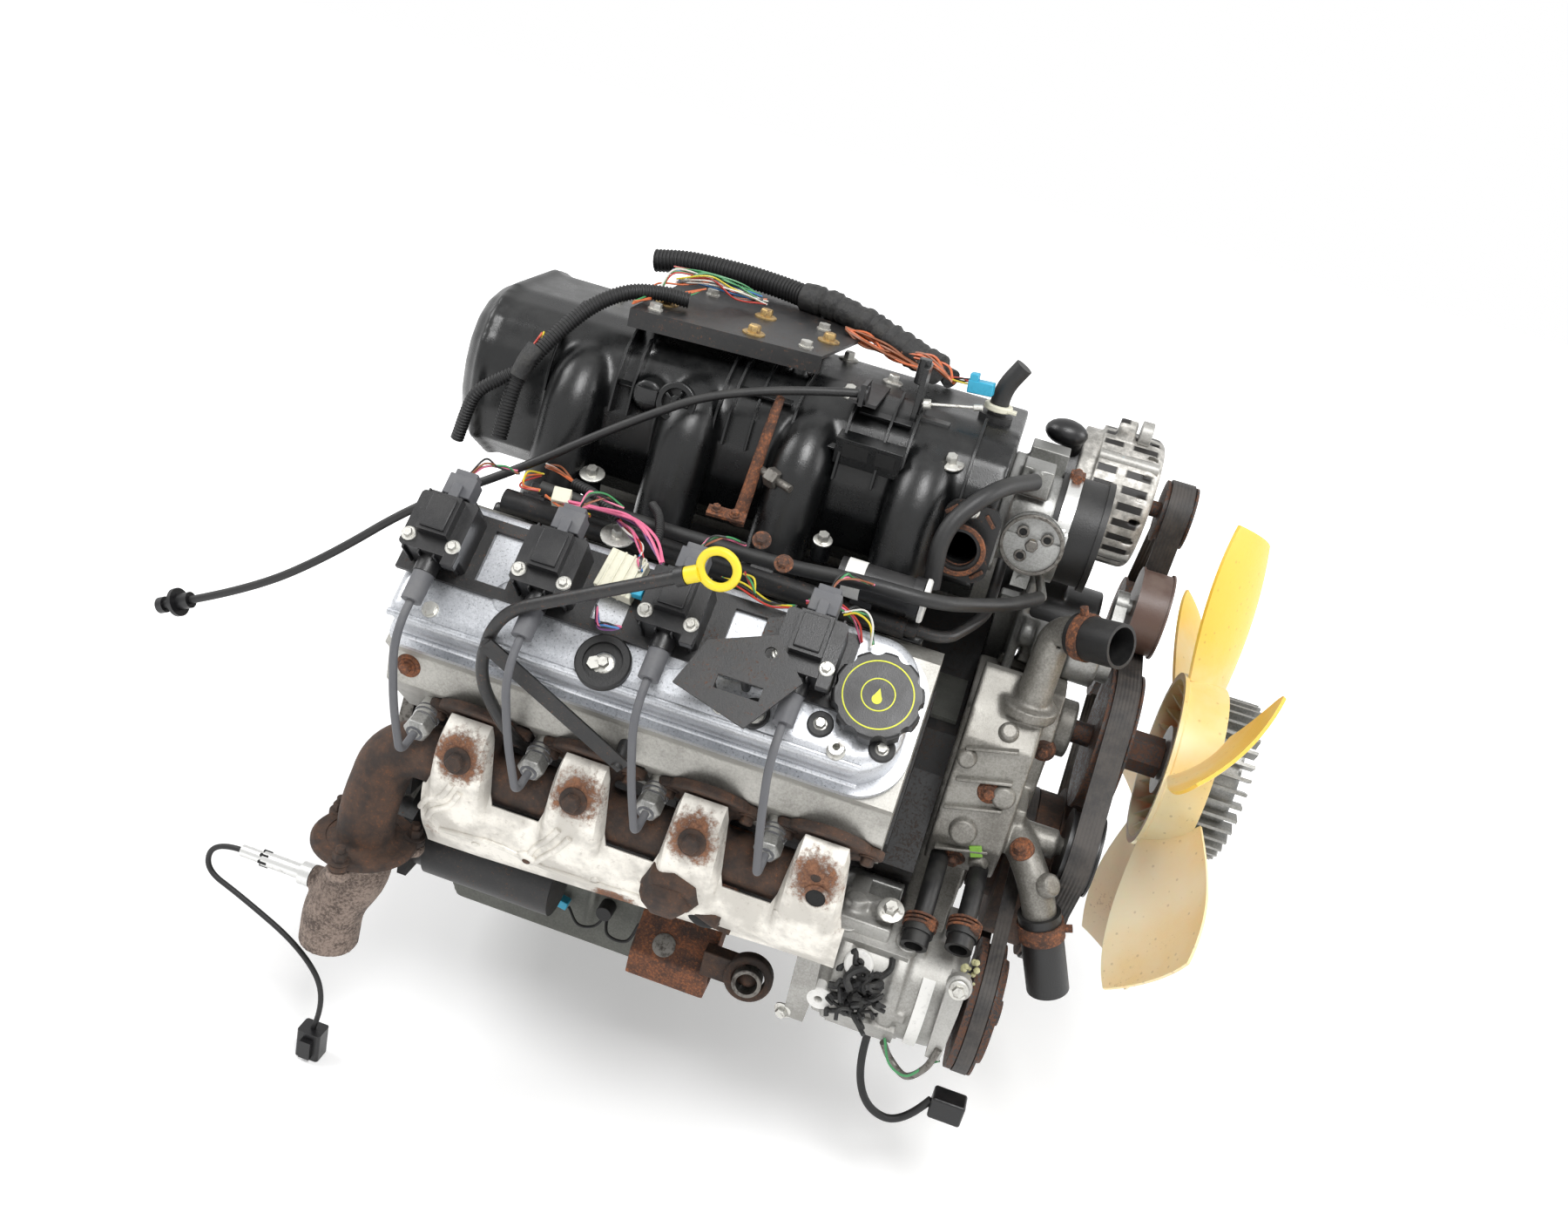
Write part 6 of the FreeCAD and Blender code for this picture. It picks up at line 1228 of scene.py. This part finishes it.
# %% Collar and connector
elbow_collar = Shape("elbow_collar", ivory_plastic)
elbow_collar.ring((458, -24, 481), (0, 0, 1), 13.5, 9, 6)
elbow_collar.block((470, -30, 481), (12, 8, 3))
elbow_collar.done(0.5)
blue_plug = Shape("blue_connector", blue_plastic)
blue_plug.block((438, -40, 498), (24, 12, 12), (1, -0.1, 0.1))
blue_plug.block((430, -40, 506), (8, 10, 7), (1, -0.1, 0.1))
blue_plug.done(1.0)

# %% [markdown]
# ## The rusty strut
#
# A strip of bare steel runs down from the plenum to a foot with two screws, and a nut sits half way. A
# tube whose radius grows along its length is close to the twisted strip and needs only five points.

# %% Strut
strut = Shape("intake_strut", brown_rust)
strut.tube([(271, -112, 456), (270, -122, 440), (268, -132, 405), (267, -144, 372), (265, -152, 340)],
           lambda i: 4.0 + i * 0.09, 14)
strut.block((256, -162, 351), (36, 14, 3.5), (1, 0.1, 0), (0, -0.3, 1))
strut.bolt((246, -163, 353), (0, -0.3, 1), 7, 5, 4)
strut.bolt((264, -163, 353), (0, -0.3, 1), 7, 5, 4)
strut.done(0.8)
strut_nut = Shape("strut_nut", dark_steel)
strut_nut.rod((268, -132, 392), (306, -152, 388), 4)
strut_nut.hexagon((282, -140, 391), (38, -20, -4), 17, 12)
strut_nut.done(0.5)

# %% [markdown]
# ## The gas port
#
# The exhaust gas port is a rusty stack of rings on a plate with four ears. Rings share the port's centre,
# and the ears lean one way or the other by the sign of their place.

# %% Gas port
GAS_PORT = (464, 374)
gas_port = Shape("gas_port_ribs", brown_rust)
for y, outer, inner in ((-136, 25, 20.5), (-131, 21.5, 18.5), (-126, 19.5, 16.8)):
    gas_port.ring((GAS_PORT[0], y, GAS_PORT[1]), (0, -1, 0), outer, inner, 2.6)
for dx, dz in ((-16, 32), (20, 30), (-14, -26), (22, -22)):
    lean = -1 if dx * dz > 0 else 1
    gas_port.block((GAS_PORT[0] + dx, -124.5, GAS_PORT[1] + dz), (13, 3, 3.4), (1, 0, lean))
gas_port.done(0.4)
gas_bolts = Shape("gas_port_bolt", zinc_steel)
gas_bolts.bolt((466, -123, 409), (0, -1, 0), 9, 7, 5)
gas_bolts.done()

# %% [markdown]
# ## Damper cap and label on the fuel rail
#
# The rail's damper ends in a white cap, and a bare white label is wrapped round the tube behind it. Both
# are thin profiles spun about the rail.

# %% Rail trim
RAIL = (-190, 340)
rail_trim = Shape("damper_cap_and_label", white_plastic)
rail_trim.turned((449, *RAIL), ALONG, [(0, 17), (0, 20), (3, 20), (4.5, 18.5), (4.5, 8)], 36)
rail_trim.turned((378, *RAIL), ALONG, [(0, 17), (0, 17.5), (17, 17.5), (17, 17)], 36)
rail_trim.done()

# %% [markdown]
# ## Looms
#
# The big loom over the intake starts as corrugated tube and goes on as wrapped tape. A corrugated tube is
# a hose whose radius steps in and out, and tape is a hose whose radius wanders. The wandering is random
# but seeded, so the scene comes out the same every time.

# %% Loom tubes
LOOM_TUBES = (
    (12, 4.0, 1.3, [(66, 104, 496), (100, 104, 503), (138, 103, 506), (176, 101, 507), (214, 97, 506),
                    (238, 90, 505)]),
    (7.6, 3.2, 1.0, [(152, -50, 502), (126, -58, 503), (100, -72, 499), (76, -88, 484), (56, -108, 460),
                     (40, -128, 432), (30, -142, 404), (26, -152, 352)]),
    (6.4, 3.2, 1.0, [(34, -134, 418), (14, -146, 404), (-4, -152, 384), (-16, -150, 338)]),
    (5.4, 3.0, 0.9, [(118, -186, 345), (140, -194, 344), (160, -206, 340), (172, -212, 334)]),
    (4.2, 2.6, 0.7, [(196, -196, 352), (206, -208, 350), (214, -224, 344), (218, -240, 336)]),
)
loom = Shape("loom_tube", matt_black)
for radius, pitch, depth, points in LOOM_TUBES:
    loom.corrugated(points, radius, pitch, depth)
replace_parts(loom.done(), "conduits")

# %% [markdown]
# ## Tape round the looms
#
# Cloth tape makes a loom thicker and uneven. The hose's radius wanders by a list of seeded random bumps,
# one for each point of its line, and the finish adds the laps.

# %% Tape
tape = Shape("loom_tape_wrap", loom_tape)
uneven = random.Random(5)
BUMPS = [uneven.uniform(-1.4, 1.8) for _ in range(80)]
tape.tube([(232, 92, 505), (262, 84, 506), (292, 72, 504), (324, 56, 500), (356, 38, 494), (392, 20, 488)],
          lambda i: 14 + BUMPS[i % len(BUMPS)], 16)
tape.tube([(330, 60, 498), (352, 66, 492), (380, 60, 484), (404, 40, 478)],
          lambda i: 9 + BUMPS[(i * 7) % len(BUMPS)] * 0.7, 14)
tape.tube([(40, -130, 440), (36, -138, 428), (32, -142, 412)], 8.4, 14)
tape.done()

# %% [markdown]
# ## Loose wires
#
# Copper-coloured wires show where the tape has come off, and thin coloured ones lie on the plate and
# between the coils. Drawing each by hand would take long, so one call lays a bundle: one wire for each
# word, all near one route, each with its own small drift.

# %% One bundle
WIRES = {word: Shape("wires_" + word, skin) for word, skin in wire_skins.items()}
drift = random.Random(11)


def wires(points, words, spread, radius):
    """One wire for each word, all near the same route and each with its own drift."""
    for word in words:
        route = []
        for i, p in enumerate(points):
            size = spread * (0.35 if i in (0, len(points) - 1) else 1.0)
            route.append([c + drift.uniform(-size, size) for c in p])
        WIRES[word].tube(route, radius, 7, 7)


print("wires in", ", ".join(WIRES))

# %% [markdown]
# ## Where the wires lie
#
# Each row of the table is one bundle: the places that it passes, how far its wires stray, their radius in
# millimetres, and a word for the colour of each wire. A table is easier to follow against the picture
# than a call for each bundle.

# %% Bundles
WIRE = 0.95
BUNDLES = (
    ([(112, -92, 496), (122, -60, 497), (138, -24, 500), (152, 0, 506)], 3, WIRE,
     "orange green orange"),
    ([(108, -58, 494), (114, -30, 503), (124, 0, 510), (150, 22, 510)], 7, WIRE,
     "red orange green white"),
    ([(124, -4, 506), (150, 8, 510), (178, 18, 506), (206, 34, 502)], 8, WIRE,
     "yellow white green red blue black orange white"),
    ([(112, 20, 512), (140, 28, 514), (170, 26, 510), (198, 40, 504)], 7, WIRE,
     "green green blue red black white"),
    ([(290, 40, 496), (316, 30, 494), (344, 22, 490), (372, 12, 486)], 6, 1.3,
     "brown " * 6 + "orange " * 4),
    ([(352, 26, 492), (378, 14, 496), (396, 2, 494), (410, -14, 490)], 6, 1.2,
     "orange " * 5 + "brown " * 3),
    ([(404, -6, 490), (416, -20, 494), (426, -34, 498), (432, -38, 500)], 3, WIRE,
     "red black yellow black"),
    ([(40, -118, 452), (36, -126, 438), (34, -132, 424)], 5, WIRE,
     "orange yellow red"),
    ([(84, -172, 348), (100, -180, 350), (118, -188, 347)], 4, WIRE,
     "orange brown white brown orange"),
    ([(84, -176, 340), (74, -196, 340), (80, -214, 344), (96, -216, 340)], 5, WIRE,
     "yellow orange red"),
    ([(172, -212, 334), (190, -226, 332), (206, -244, 332), (214, -262, 330)], 4, WIRE,
     "pink pink white purple red"),
    ([(112, -214, 336), (136, -222, 340), (160, -220, 342), (188, -222, 344), (214, -240, 338),
      (232, -262, 330)], 4, 1.4,
     "pink pink pink purple"),
    ([(104, -216, 338), (124, -222, 336), (150, -224, 336)], 3, WIRE,
     "orange brown yellow"),
    ([(212, -262, 330), (218, -276, 336), (222, -288, 330)], 4, WIRE,
     "blue white pink black"),
    ([(196, -306, 296), (204, -322, 290), (214, -330, 292), (226, -330, 296)], 4, WIRE,
     "pink blue black purple"),
    ([(285, -262, 336), (306, -268, 334), (330, -272, 330), (352, -270, 334)], 4, WIRE,
     "green red black yellow"),
    ([(300, -250, 340), (312, -262, 338), (318, -272, 330)], 5, WIRE,
     "yellow green red"),
    ([(360, -262, 338), (384, -262, 340), (404, -262, 334), (414, -272, 322)], 5, WIRE,
     "pink green red"),
    ([(392, -262, 338), (404, -258, 342), (416, -262, 336), (424, -272, 322)], 5, WIRE,
     "yellow black green white"),
)
for points, spread, radius, words in BUNDLES:
    wires(points, words.split(), spread, radius)
for x in COILS:
    wires([bank(x, -66, 436), bank(x + 6, -80, 434), bank(x + 16, -88, 424), bank(x + 30, -90, 414)],
          ("pink", "brown", "green", "black"), 4, WIRE)
GREEN_RUN = [(536, -262, -66), (546, -274, -84), (566, -276, -88), (582, -262, -80), (592, -246, -84)]
wires(GREEN_RUN, ("green",), 1, 1.3)
for shape in WIRES.values():
    shape.done()

# %% [markdown]
# ## Connectors between the coils
#
# The wires end in an ivory block with ribs, a small blue clip, and a black connector on each injector.

# %% Wire connectors
white_block = Shape("loom_block", ivory_plastic)
white_block.block((206, -284, 318), (34, 36, 16), (1, -0.05, -0.1), UP)
for k in range(4):
    white_block.block((194 + k * 8, -284, 318), (2, 38, 19), (1, -0.05, -0.1), UP)
white_block.block((118, -214, 340), (16, 14, 14), (1, 0.2, 0), UP)
white_block.done(0.8)
blue_clip = Shape("loom_block_clip", blue_plastic)
blue_clip.block((226, -296, 316), (10, 12, 10), (1, 0, 0), UP)
blue_clip.done(0.8)
rail_plugs = Shape("injector_connectors", plastic_black)
for x in (97, 209, 320, 432):
    rail_plugs.block(bank(x - 17, -91, 346), (22, 15, 20), ALONG, UP)
    rail_plugs.block(bank(x - 17, -104, 350), (14, 14, 10), ALONG, UP)
rail_plugs.done(1.0)

# %% [markdown]
# ## Throttle spring and lever
#
# The throttle's return spring is copper-coloured wire round the shaft. A Screw modifier could wind it, but
# a line of points on a helix is just as short and goes straight into a hose. The lever's holes are dark
# discs of painted shade. The rim and the holes ride on the throttle's own body, so they turn with it.

# %% Throttle trim
SHAFT_X, SHAFT_Z = 526, 378
LEVER_HOLES = (0.6, 2.4, 4.2)


def round_shaft(radius, angle, y):
    """A place round the throttle's shaft."""
    return Vector((SHAFT_X + radius * math.cos(angle), y, SHAFT_Z + radius * math.sin(angle)))


spring = Shape("throttle_spring_coil", copper_wire)
spring.along([round_shaft(20, i * 2 * math.pi / 24, -48 - i * 0.13) for i in range(121)], 1.5, 8)
spring.done()
lever_trim = Shape("lever_rim", dark_steel, "throttle")
lever_trim.ring(round_shaft(0, 0, -76.5), (0, 1, 0), 30, 26.5, 3)
for angle in LEVER_HOLES:
    lever_trim.ring(round_shaft(15, angle, -75.6), (0, 1, 0), 6, 3.6, 1.6, 20)
lever_trim.hexagon(round_shaft(0, 0, -77), (0, -1, 0), 11, 4)
lever_trim.done(0.3)
# Dark discs of painted shade stand for the lever's three holes.
lever_hole_shade = Shape("lever_hole_shade", hole_shade, "throttle")
for angle in LEVER_HOLES:
    lever_hole_shade.turned(round_shaft(15, angle, -75.4), (0, -1, 0), [(0, 3.6), (0.4, 3.6)], 18)
lever_hole_shade.done()

# %% [markdown]
# ## The duct's band clamp
#
# A bright steel band holds the air duct on the throttle body, with its screw housing at the side.

# %% Duct band
bright_band = Shape("duct_band", bright_steel)
bright_band.ring((549, 0, 378), (1, 0, 0), 55.2, 53.6, 13, 64)
bright_band.block((549, -58, 384), (14, 8, 14))
bright_band.rod((549, -62, 378), (549, -62, 396), 3.5)
bright_band.done()

# %% [markdown]
# ## Alternator
#
# Four through-bolts run along the case, a boss stands on top, and a black plug and a dab of blue paint are
# on the rear. The places go round the same axis that the case's slots use.

# %% Alternator trim


def round_alternator(x, radius, angle):
    """A place round the alternator's axis, in millimetres."""
    y, z = ALTERNATOR_AXIS
    return (x, 1000 * y + radius * math.cos(angle), 1000 * z + radius * math.sin(angle))


case_trim = Shape("alternator_trim", pale_metal)
for turn in range(4):
    angle = math.radians(40 + 90 * turn)
    case_trim.rod(round_alternator(566, 66, angle), round_alternator(628, 66, angle), 7)
case_trim.rod(round_alternator(600, 78, 1.745), round_alternator(612, 78, 1.745), 13)
case_trim.done(1.0)
dab = Shape("paint_dab", blue_plastic)
place, facing = touch("alternator_case", (590, 96, 700), (0, 0, -1))
dab.ball(place, 6, (1.2, 0.8, 0.12))
dab.done()
small_cap = Shape("alternator_plug", plastic_black)
small_cap.ball((528, 92, 446), 17, (1.3, 1, 0.8))
small_cap.done()

# %% [markdown]
# ## Water pump
#
# The pump's casting has round bosses, slanted ribs and rusty bolts, and so have the heads beside it. Each
# is set on the surface where a line from the side meets it, with its foot inside the metal.

# %% Pump bolts, bosses and ribs


def from_side(node, x, z):
    """The place and the facing where a line from the right meets a node."""
    return touch(node, (x, -600, z), (0, 1, 0))


pump_bolts = Shape("pump_bolts", brown_rust)
for node, x, z in (("water_pump", 606, 104), ("water_pump", 560, 150), ("water_pump", 600, 176),
                   ("water_pump", 548, 66), ("cylinder_heads", 492, 150), ("cylinder_heads", 30, 172)):
    place, facing = from_side(node, x, z)
    pump_bolts.turned(place - facing * 6, facing, [(0, 12), (6, 12), (8, 10)], 24)
    pump_bolts.bolt(place + facing * 2, facing, 10, 8, 6)
pump_bolts.done(0.5)
pump_cast = Shape("pump_bosses_and_ribs", pump_metal)
for x, z, reach in ((548, 104, 13), (574, 150, 11), (530, 176, 9), (640, 84, 11), (560, 208, 9),
                    (572, 72, 9)):
    place, facing = from_side("water_pump", x, z)
    pump_cast.turned(place - facing * 4, facing, [(0, reach + 2), (9, reach), (11, reach - 2)], 28)
for x, z, long in ((550, 130, 56), (552, 160, 54), (550, 192, 50), (552, 84, 52)):
    place, facing = from_side("water_pump", x, z)
    pump_cast.block(place + facing, (long, 9, 3.4), (1, 0, 0.25))
pump_cast.done(1.2)
green_tab = Shape("green_tab", green_plastic)
place, facing = from_side("water_pump", 566, 88)
green_tab.block(place + facing, (12, 5, 12), (1, 0, 0.4))
green_tab.done(0.6)

# %% [markdown]
# ## The compressor's ports
#
# Two pale ports stand on the drum, and one is plugged with a lump of tape. Places on the drum are given by
# an angle round its axis. The lump is many short thick hoses that start close together and wander, which
# crumples like real tape and needs no cloth simulation.

# %% Ports and tape
DRUM = Vector((0, -202, -42))


def on_drum(x, angle, reach):
    """A place round the compressor's axis; 0 points up and 90 degrees points to the camera's side."""
    a = math.radians(angle)
    return Vector((x, DRUM.y - reach * math.sin(a), DRUM.z + reach * math.cos(a)))


def from_drum(angle):
    """The way straight out from the compressor's axis."""
    a = math.radians(angle)
    return Vector((0, -math.sin(a), math.cos(a)))


ports = Shape("compressor_ports", white_plastic)
ports.turned(on_drum(492, 52, 52), from_drum(52), [(0, 14), (12, 14), (14, 12), (14, 5), (4, 5)], 28)
ports.turned(on_drum(466, 94, 50), from_drum(94), [(0, 13), (13, 13), (15, 11), (15, 4), (4, 4)], 28)
ports.done(0.6)
lump = Shape("port_tape", loom_tape)
wander = random.Random(3)
for i in range(64):
    start = on_drum(500 + wander.uniform(-15, 16), 74 + wander.uniform(-22, 24), 60 + wander.uniform(-4, 8))
    steps = [start]
    for _ in range(3):
        steps.append(steps[-1] + Vector([wander.uniform(-9, 9) for _ in range(3)]))
    lump.tube(steps, wander.uniform(1.6, 4.2), 6, 4)
lump.done()

# %% [markdown]
# ## Label and bars of the compressor
#
# A bare label plate follows the drum, so it is a part turn of a thin profile. The cast bars at both ends
# are flat outlines with a thickness, and the ribs between them are blocks turned to face out of the drum.

# %% Label and bars
label = Shape("bare_label", white_plastic)
label.turned(on_drum(553, 0, 0), (1, 0, 0), [(0, 54), (0, 57.4), (12, 57.4), (12, 54)], 20, True,
             math.radians(84), from_drum(44))
label.done()
bars = Shape("compressor_bars", pale_metal)
bars.plate([(-10, -62), (10, -62), (13, -20), (9, 40), (14, 66), (-8, 66), (-12, 20)], (448, -268, -18),
           (1, 0, 0), (0, -0.05, 1), -12)
bars.plate([(-7, -46), (7, -46), (9, 10), (9, 52), (-9, 52), (-8, 0)], (583, -266, -22), (1, 0, 0),
           (0, 0, 1), -10)
bars.turned((584, -264, 22), (0, -1, 0.3), [(0, 12), (10, 12), (12, 10)], 24)
for x in (470, 530):
    bars.rod(on_drum(x, 20, 50), on_drum(x, 20, 66), 12)
bars.block(on_drum(500, 20, 58), (70, 34, 10), ALONG, from_drum(20))
bars.block(on_drum(510, 118, 54), (66, 26, 12), ALONG, from_drum(118))
bars.done(1.4)

# %% [markdown]
# ## Bolts, clamps and crust
#
# Three bolts, the wire clamps of the two heater stubs, a thin steel tube and a little dried crust on a
# hose finish the compressor's corner. The crust is a handful of small balls placed at random.

# %% Compressor bolts, clamps, tube and crust
drum_bolts = Shape("compressor_bolts", zinc_steel)
drum_bolts.bolt((584, -277, 25), (0, -1, 0.3), 10, 9, 6)
drum_bolts.bolt((437, -262, -76), (-0.2, -1, -0.2), 10, 9, 6)
drum_bolts.bolt((505, -222, 44), (0, -0.5, 1), 12, 13, 8)
drum_bolts.done()
stub_clamps = Shape("heater_stub_clamps", brown_rust)
for end in (Vector((535, -232, 28)), Vector((575, -226, 36))):
    way = (end - Vector((end.x, -178, 62))).normalized()
    for back in (14, 18, 22):
        stub_clamps.ring(end - way * back, way, 16.6, 13.6, 2.6)
    stub_clamps.block(end - way * 18 + Vector((9, -9, 8)), (9, 8, 8))
stub_clamps.done(0.4)
coil_tubes = Shape("compressor_tubes", dark_steel)
coil_tubes.tube([on_drum(536, 124, 64), on_drum(548, 140, 74), on_drum(566, 136, 84), on_drum(580, 118, 76),
                 on_drum(586, 100, 66)], 3.4)
coil_tubes.done()
crust = Shape("hose_crust", crystal)
for i in range(14):
    crust.ball((590 + wander.uniform(-8, 8), -240 + wander.uniform(-5, 4), 22 + wander.uniform(-14, 12)),
               wander.uniform(1.5, 3.5), sides=8)
crust.done()

# %% [markdown]
# ## The floor and the light
#
# The engine stands in a plain white room. The floor is matt, and glows faintly near the engine, painted
# light that pales the shadow that it keeps there, and glows white further out, so that it meets the white
# world without a line. Large soft lamps and a soft world light the engine at a level where colours keep
# their written tone.

# %% Room and lamps


def pale_room():
    """A wide white floor just under the engine, glowing more with distance from it."""
    bm = bmesh.new()
    bmesh.ops.create_grid(bm, x_segments=1, y_segments=1, size=9.0)
    mesh = bpy.data.meshes.new("floor")
    bm.to_mesh(mesh)
    bm.free()
    floor = bpy.data.objects.new("floor", mesh)
    floor.location = (0.3, 0, cad_box[0].z - 0.001)
    bpy.context.scene.collection.objects.link(floor)
    f = Finish("floor_white")
    reach = f.node("ShaderNodeVectorMath", {"operation": "LENGTH"}, {0: f.place}, "Value")
    # Near the engine the floor glows at 0.3, painted light that pales its shadow; far out it glows full
    # white.
    glow = f.node("ShaderNodeMapRange", {}, {"Value": reach, "From Min": 0.55, "From Max": 1.8,
                                             "To Min": 0.30, "To Max": 1.0})
    mesh.materials.append(f.surface((0.86, 0.86, 0.86, 1), 0.9, Emission_Color=glow, Emission_Strength=1.0))


def soft_lamp(name, at, towards, size, power):
    """A large square lamp that faces a point."""
    data = bpy.data.lights.new(name, "AREA")
    data.size = size
    data.energy = power
    lamp = bpy.data.objects.new(name, data)
    lamp.location = at
    lamp.rotation_euler = (Vector(towards) - Vector(at)).to_track_quat("-Z", "Y").to_euler()
    bpy.context.scene.collection.objects.link(lamp)


ENGINE_MIDDLE = (0.3, 0, 0.1)
pale_room()
soft_lamp("key_lamp", (0.8, -1.3, 2.3), ENGINE_MIDDLE, 0.9, 44)
soft_lamp("front_lamp", (2.5, 0.2, 1.3), ENGINE_MIDDLE, 1.0, 22)
soft_lamp("rear_lamp", (-1.5, -0.4, 1.8), ENGINE_MIDDLE, 1.0, 24)
print("floor and three lamps ready")

# %% [markdown]
# ## The white world
#
# The camera, the gloss and the glass see a world of full white, while the light that falls on the engine
# from it stays low. A Light Path node tells the rays apart, and a Map Range turns its answer into strength.

# %% World
WORLD_LIGHT = 0.42
WORLD_SEEN = 1.0
world = bpy.data.worlds.new("white_world")
bpy.context.scene.world = world
world.use_nodes = True
tree = world.node_tree
ray = tree.nodes.new("ShaderNodeLightPath")
whiter = ray.outputs["Is Camera Ray"]
for output in ("Is Glossy Ray", "Is Transmission Ray"):
    either = tree.nodes.new("ShaderNodeMath")
    either.operation = "MAXIMUM"
    tree.links.new(whiter, either.inputs[0])
    tree.links.new(ray.outputs[output], either.inputs[1])
    whiter = either.outputs[0]
level_of = tree.nodes.new("ShaderNodeMapRange")
level_of.inputs["To Min"].default_value = WORLD_LIGHT
level_of.inputs["To Max"].default_value = WORLD_SEEN
tree.links.new(whiter, level_of.inputs["Value"])
tree.links.new(level_of.outputs["Result"], tree.nodes["Background"].inputs["Strength"])
tree.nodes["Background"].inputs["Color"].default_value = (1, 1, 1, 1)
bpy.context.scene.view_settings.view_transform = "Standard"
print("world ready")

# %% [markdown]
